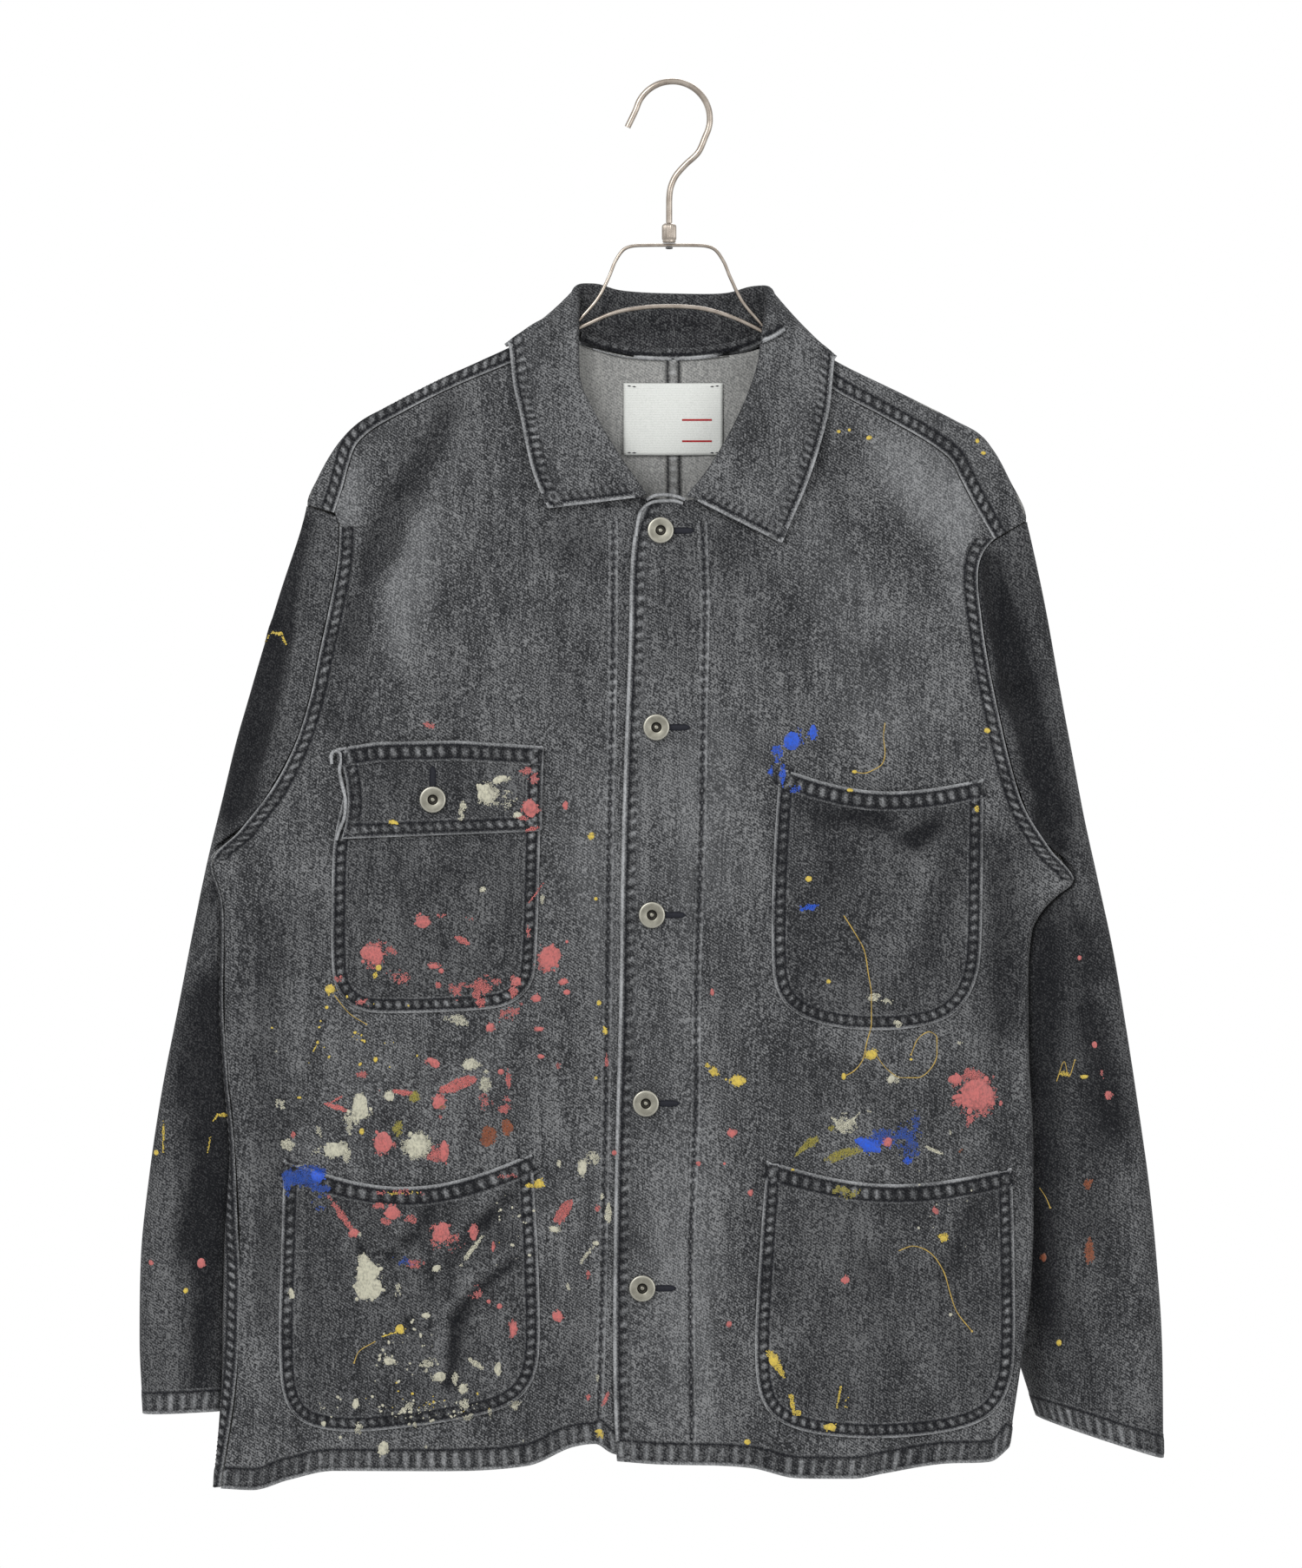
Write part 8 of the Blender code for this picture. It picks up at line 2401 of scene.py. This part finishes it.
def metal(name, dark, light, roughness, worn=None, deep=None):
    made = Nodes(name, roughness, 1.0)
    clouds = made.noise((160.0, 160.0, 160.0), 2.0)
    face = made.ramp(clouds, ((0.36, srgb(*dark)), (0.64, srgb(*light))))
    if worn:
        face = made.mix(made.look("worn"), face, srgb(*worn))
        face = made.mix(made.look("dark"), face, srgb(*deep))
    made.colour(face)
    made.bump(made.noise((1400.0, 1400.0, 1400.0), 1.0), 0.12, 0.00008)
    return made.material


def label_material():
    made = Nodes("woven_label", 0.7)
    ribs = made.twill(0.0009, math.radians(90.0), 0.2)
    grain = made.noise((1200.0, 1200.0, 1200.0), 1.0)
    value = made.sum_of(((ribs, 0.35), (grain, 0.65)))
    made.colour(made.ramp(value, ((0.25, srgb(206, 209, 204)), (0.6, srgb(231, 233, 229)))))
    made.bump(value, 0.4, 0.0003)
    return made.material


PAINT_COLOURS = {
    "pink": (202, 108, 104), "cream": (205, 202, 180), "yellow": (224, 196, 78),
    "ochre": (156, 146, 58), "blue": (10, 86, 216), "deep_blue": (16, 68, 158), "rust": (142, 76, 42),
    "gold": (196, 166, 84),
}

# ---------------------------------------------------------------- the whole model


def all_grids():
    """Every cloth surface, by name. Some pieces have more than one."""
    hem_right, hem_left, hem_back = Curve(HEM_RIGHT), Curve(HEM_LEFT), Curve(HEM_BACK)
    grids = {
        "front_right": front_grid(RIGHT, front_right_row, hem_right),
        "front_left": front_grid(LEFT, front_left_row, hem_left),
        "turn_left": turn_grid(LEFT, LEFT.edge, hem_left, back_skin),
        "back_right": back_grid(RIGHT, CENTRE_BACK_X - GAP / 2, hem_back),
        "back_left": back_grid(LEFT, CENTRE_BACK_X + GAP / 2, hem_back),
        "shoulder_right": shoulder_grid(RIGHT),
        "shoulder_left": shoulder_grid(LEFT),
        "turn_right": turn_grid(RIGHT, RIGHT.edge_back, hem_back, front_skin),
        "sleeve_right": sleeve_grid(RIGHT, SLEEVE_RIGHT, SLEEVE_FOLDS_RIGHT + SLEEVE_CREASES_RIGHT),
        "sleeve_left": sleeve_grid(LEFT, SLEEVE_LEFT, SLEEVE_FOLDS_LEFT + SLEEVE_CREASES_LEFT),
        "collar": collar_grid(),
    }
    for name, pocket in POCKETS.items():
        grids[name] = pocket_grid(pocket)
    return grids


PIECES = {  # the grids of each piece, with a minus sign where the columns run back, and its facing
    "front_right": (("front_right",), False),
    "front_left": (("front_left", "-turn_left"), True),
    "back_right": (("-back_right", "shoulder_right", "turn_right"), False),
    "back_left": (("-back_left", "shoulder_left"), True),
    "sleeve_right": (("sleeve_right",), True),
    "sleeve_left": (("sleeve_left",), False),
    "collar": (("collar",), False),
}


def build_cloth(name, parts, grids, flip, materials, thickness, offset):
    """One cloth piece of the grids named; a minus sign turns a grid's columns the other way."""
    taken, tones = [], []
    for part in parts:
        key = part.lstrip("-")
        tone = tone_of(key, grids[key])
        turned_round = slice(None, None, -1 if part[0] == "-" else 1)
        taken.append(grids[key][:, turned_round])
        tones.append(tone[:, turned_round].reshape(-1))
    points, faces, first = joined(taken, flip)
    tone = np.concatenate(tones)[first]
    # tone above 0 becomes the worn look and below 0 the dark look, so these carry painted shade and a
    # painted highlight as well as wear and darker cloth
    looks = {"worn": np.clip(tone, 0, 1), "dark": np.clip(-tone, 0, 1)}
    made = mesh_object(name + "_cloth", points, faces, materials, looks=looks)
    thicken(made, thickness, offset, len(materials) - 1)
    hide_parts(name)
    return made, Skin(points, faces), (points, faces)


def main():
    outside = denim("worn_denim", *OUTSIDE)
    inside = denim("denim_wrong_side", *WRONG_SIDE, contrast=WRONG_SIDE_CONTRAST)
    grids = all_grids()
    made, skins, outer = {}, {}, {}
    for name, (parts, flip) in PIECES.items():
        cloth = [outside] if name == "collar" else [outside, inside]
        wall = (COLLAR_CLOTH, 0) if name == "collar" else (CLOTH, -1)
        made[name], skins[name], outer[name] = build_cloth(name, parts, grids, flip, cloth, *wall)
    for name in POCKETS:
        made[name], skins[name], outer[name] = build_cloth(name, (name,), grids, False, [outside], CLOTH, -1)

    shapes = body_seams(grids)
    front_rows(shapes, skins)
    for name in ("sleeve_right", "sleeve_left"):
        shapes[name] = sleeve_seams(grids[name])
    shapes["collar"] = collar_seams(grids["collar"])
    for number, (name, pocket) in enumerate(POCKETS.items()):
        shapes[name] = pocket_seams(name, pocket, skins[name], SEEDS["pocket"] + 10 * number)
    neck, centre = inner_seams(joined_skin(("back_right", "back_left", "collar"), outer, {}))
    neck_seam = neck.made("neck_seam", outside)
    centre_seam = centre.made("centre_back_seam", inside)
    trims = {}
    for name, shape in shapes.items():
        trims[name] = shape.made(name + "_seams", outside)

    navy = thread_material("navy_thread", NAVY)
    holes = Shape()
    for name, x, down in BUTTONS:
        flap = name == "button_flap"
        add_buttonhole(holes, x, down, skins["pocket_flap" if flap else "front_left"], flap)
    threads = [holes.made("buttonhole_thread", navy)]

    pewter = metal("pewter", *PEWTER)
    for name, x, down in BUTTONS:
        build_button(name, x, down, pewter)
    red = thread_material("red_weave", RED)
    label = build_label((label_material(), red))
    nickel = metal("satin_nickel", *SATIN_NICKEL)
    dark_steel = metal("dark_steel", *DARK_STEEL)
    build_hanger(nickel, dark_steel)
    for name, shape in THREADS.items():
        threads.append(shape.made(name + "_stitches", navy))

    everything = joined_skin(outer, outer, shapes)
    painted = []
    for number, (colour, marks) in enumerate(PAINT.items()):
        points, faces, thin = build_paint(marks, everything, -1.0, SEEDS["paint"] + number)
        if colour in BACK_PAINT:
            behind = build_paint(BACK_PAINT[colour], everything, 1.0, SEEDS["paint_behind"] + number)
            more, more_faces, more_thin = behind
            faces += [tuple(index + len(points) for index in face) for face in more_faces]
            points, thin = np.vstack([points, more]), np.concatenate([thin, more_thin])
        paint = paint_material("paint_" + colour, PAINT_COLOURS[colour])
        painted.append(mesh_object("paint_" + colour, points, faces, [paint], looks={"thin": thin}))
    declare_sheets(trims, painted, threads, (neck_seam, centre_seam))
    stage_and_camera()


SHEETS = {  # each piece's cut: width and length, its area in square metres, and what it rests on
    "front_right": ((0.320, 0.755), 0.195, ("arms_wire", "back_right_cloth")),
    "front_left": ((0.310, 0.752), 0.192, ("arms_wire", "back_left_cloth")),
    "back_right": ((0.330, 0.780), 0.216, ("arms_wire",)),
    "back_left": ((0.290, 0.765), 0.178, ("arms_wire",)),
    "sleeve_right": ((0.300, 0.640), 0.142, ("back_right_cloth",)),
    "sleeve_left": ((0.300, 0.640), 0.138, ("back_left_cloth",)),
    "collar": ((0.460, 0.100), 0.040, ("back_right_cloth", "back_left_cloth")),
    "pocket_chest_right": ((0.139, 0.156), 0.0212, ("front_right_cloth",)),
    "pocket_flap": ((0.137, 0.064), 0.0083, ("pocket_chest_right_cloth",)),
    "pocket_chest_left": ((0.141, 0.174), 0.0222, ("front_left_cloth",)),
    "pocket_lower_right": ((0.173, 0.184), 0.0288, ("front_right_cloth",)),
    "pocket_lower_left": ((0.173, 0.184), 0.0290, ("front_left_cloth",)),
}


def declare_sheets(trims, painted, threads, inner):
    """Lists, for every piece of cloth, what is sewn or painted on it; nothing further is done with the
    lists.
    """
    for name, (flat, area, rests_on) in SHEETS.items():
        on_it = [trims[name]]
        if name == "front_right":
            on_it += painted
        if name == "front_left":
            on_it += threads
        if name == "back_right":
            on_it += inner


def joined_skin(names, outer, shapes):
    """One skin of these pieces with their bands, for what lies on whatever shows."""
    points, faces, count = [], [], 0
    for name in names:
        layers = [outer[name]]
        if name in shapes:
            layers.append((np.vstack(shapes[name].points), shapes[name].faces))
        for spots, sides in layers:
            points.append(spots)
            faces.extend([[index + count for index in face] for face in sides])
            count += len(spots)
    return Skin(np.vstack(points), faces)


def look_at(made, target):
    made.rotation_euler = (Vector(target) - made.location).to_track_quat("-Z", "Y").to_euler()


def area_light(name, place, target, size, power):
    data = bpy.data.lights.new(name, "AREA")
    data.shape = "RECTANGLE"
    data.size, data.size_y, data.energy = size, size, power
    made = bpy.data.objects.new(name, data)
    made.location = place
    look_at(made, target)
    bpy.context.scene.collection.objects.link(made)
    return made


CAMERA_AWAY = 5.0  # metres
VIEW_HIGH = 1.029
VIEW_CENTRE = (-0.014, 0.0, -0.459)
SENSOR = 36.0
LIGHTS = {  # place and size in metres, and power in watts
    "key": ((-1.5, -2.4, 1.3), 1.3, 53.0), "fill": ((2.2, -2.4, -0.2), 1.8, 23.0),
    "rim": ((0.4, 2.0, 1.4), 1.4, 26.0),
}
AMBIENT = 0.52


def stage_and_camera():
    bpy.context.scene.view_settings.view_transform = "Standard"
    data = bpy.data.cameras.new("camera")
    data.sensor_width = SENSOR
    data.sensor_fit = "VERTICAL"
    data.sensor_height = SENSOR
    data.lens = SENSOR * CAMERA_AWAY / VIEW_HIGH
    camera = bpy.data.objects.new("camera", data)
    camera.location = (VIEW_CENTRE[0], -CAMERA_AWAY, VIEW_CENTRE[2])
    look_at(camera, VIEW_CENTRE)
    bpy.context.scene.collection.objects.link(camera)
    bpy.context.scene.camera = camera
    for name, (place, size, power) in LIGHTS.items():
        area_light(name, place, VIEW_CENTRE, size, power)
    studio_world(AMBIENT)
    floor()


def studio_world(ambient):
    """White where the camera and reflections look, and softer as light on the cloth."""
    world = bpy.data.worlds.new("studio")
    bpy.context.scene.world = world
    world.use_nodes = True
    nodes, links = world.node_tree.nodes, world.node_tree.links
    seen = nodes["Background"]
    seen.inputs["Color"].default_value = (1.0, 1.0, 1.0, 1.0)
    seen.inputs["Strength"].default_value = 1.0
    lit = nodes.new("ShaderNodeBackground")
    lit.inputs["Color"].default_value = (1.0, 1.0, 1.0, 1.0)
    lit.inputs["Strength"].default_value = ambient
    path = nodes.new("ShaderNodeLightPath")
    either = nodes.new("ShaderNodeMath")
    either.operation = "MAXIMUM"
    links.new(path.outputs["Is Camera Ray"], either.inputs[0])
    links.new(path.outputs["Is Glossy Ray"], either.inputs[1])
    any_of = nodes.new("ShaderNodeMath")
    any_of.operation = "MAXIMUM"
    links.new(either.outputs[0], any_of.inputs[0])
    links.new(path.outputs["Is Transmission Ray"], any_of.inputs[1])
    mixed = nodes.new("ShaderNodeMixShader")
    links.new(any_of.outputs[0], mixed.inputs[0])
    links.new(lit.outputs[0], mixed.inputs[1])
    links.new(seen.outputs[0], mixed.inputs[2])
    links.new(mixed.outputs[0], nodes["World Output"].inputs["Surface"])


FLOOR_BELOW = 0.55  # metres under the hem
FLOOR_HALF = 3.0


def floor():
    low = min(corner[2] for corner in size_at_start) - FLOOR_BELOW
    data = bpy.data.meshes.new("floor")
    half = FLOOR_HALF
    data.from_pydata(
        [(-half, -half, low), (half, -half, low), (half, half, low), (-half, half, low)], [], [(0, 1, 2, 3)]
    )
    data.materials.append(Nodes("pale_floor", 0.8).material)
    made = bpy.data.objects.new("floor", data)
    bpy.context.scene.collection.objects.link(made)


main()
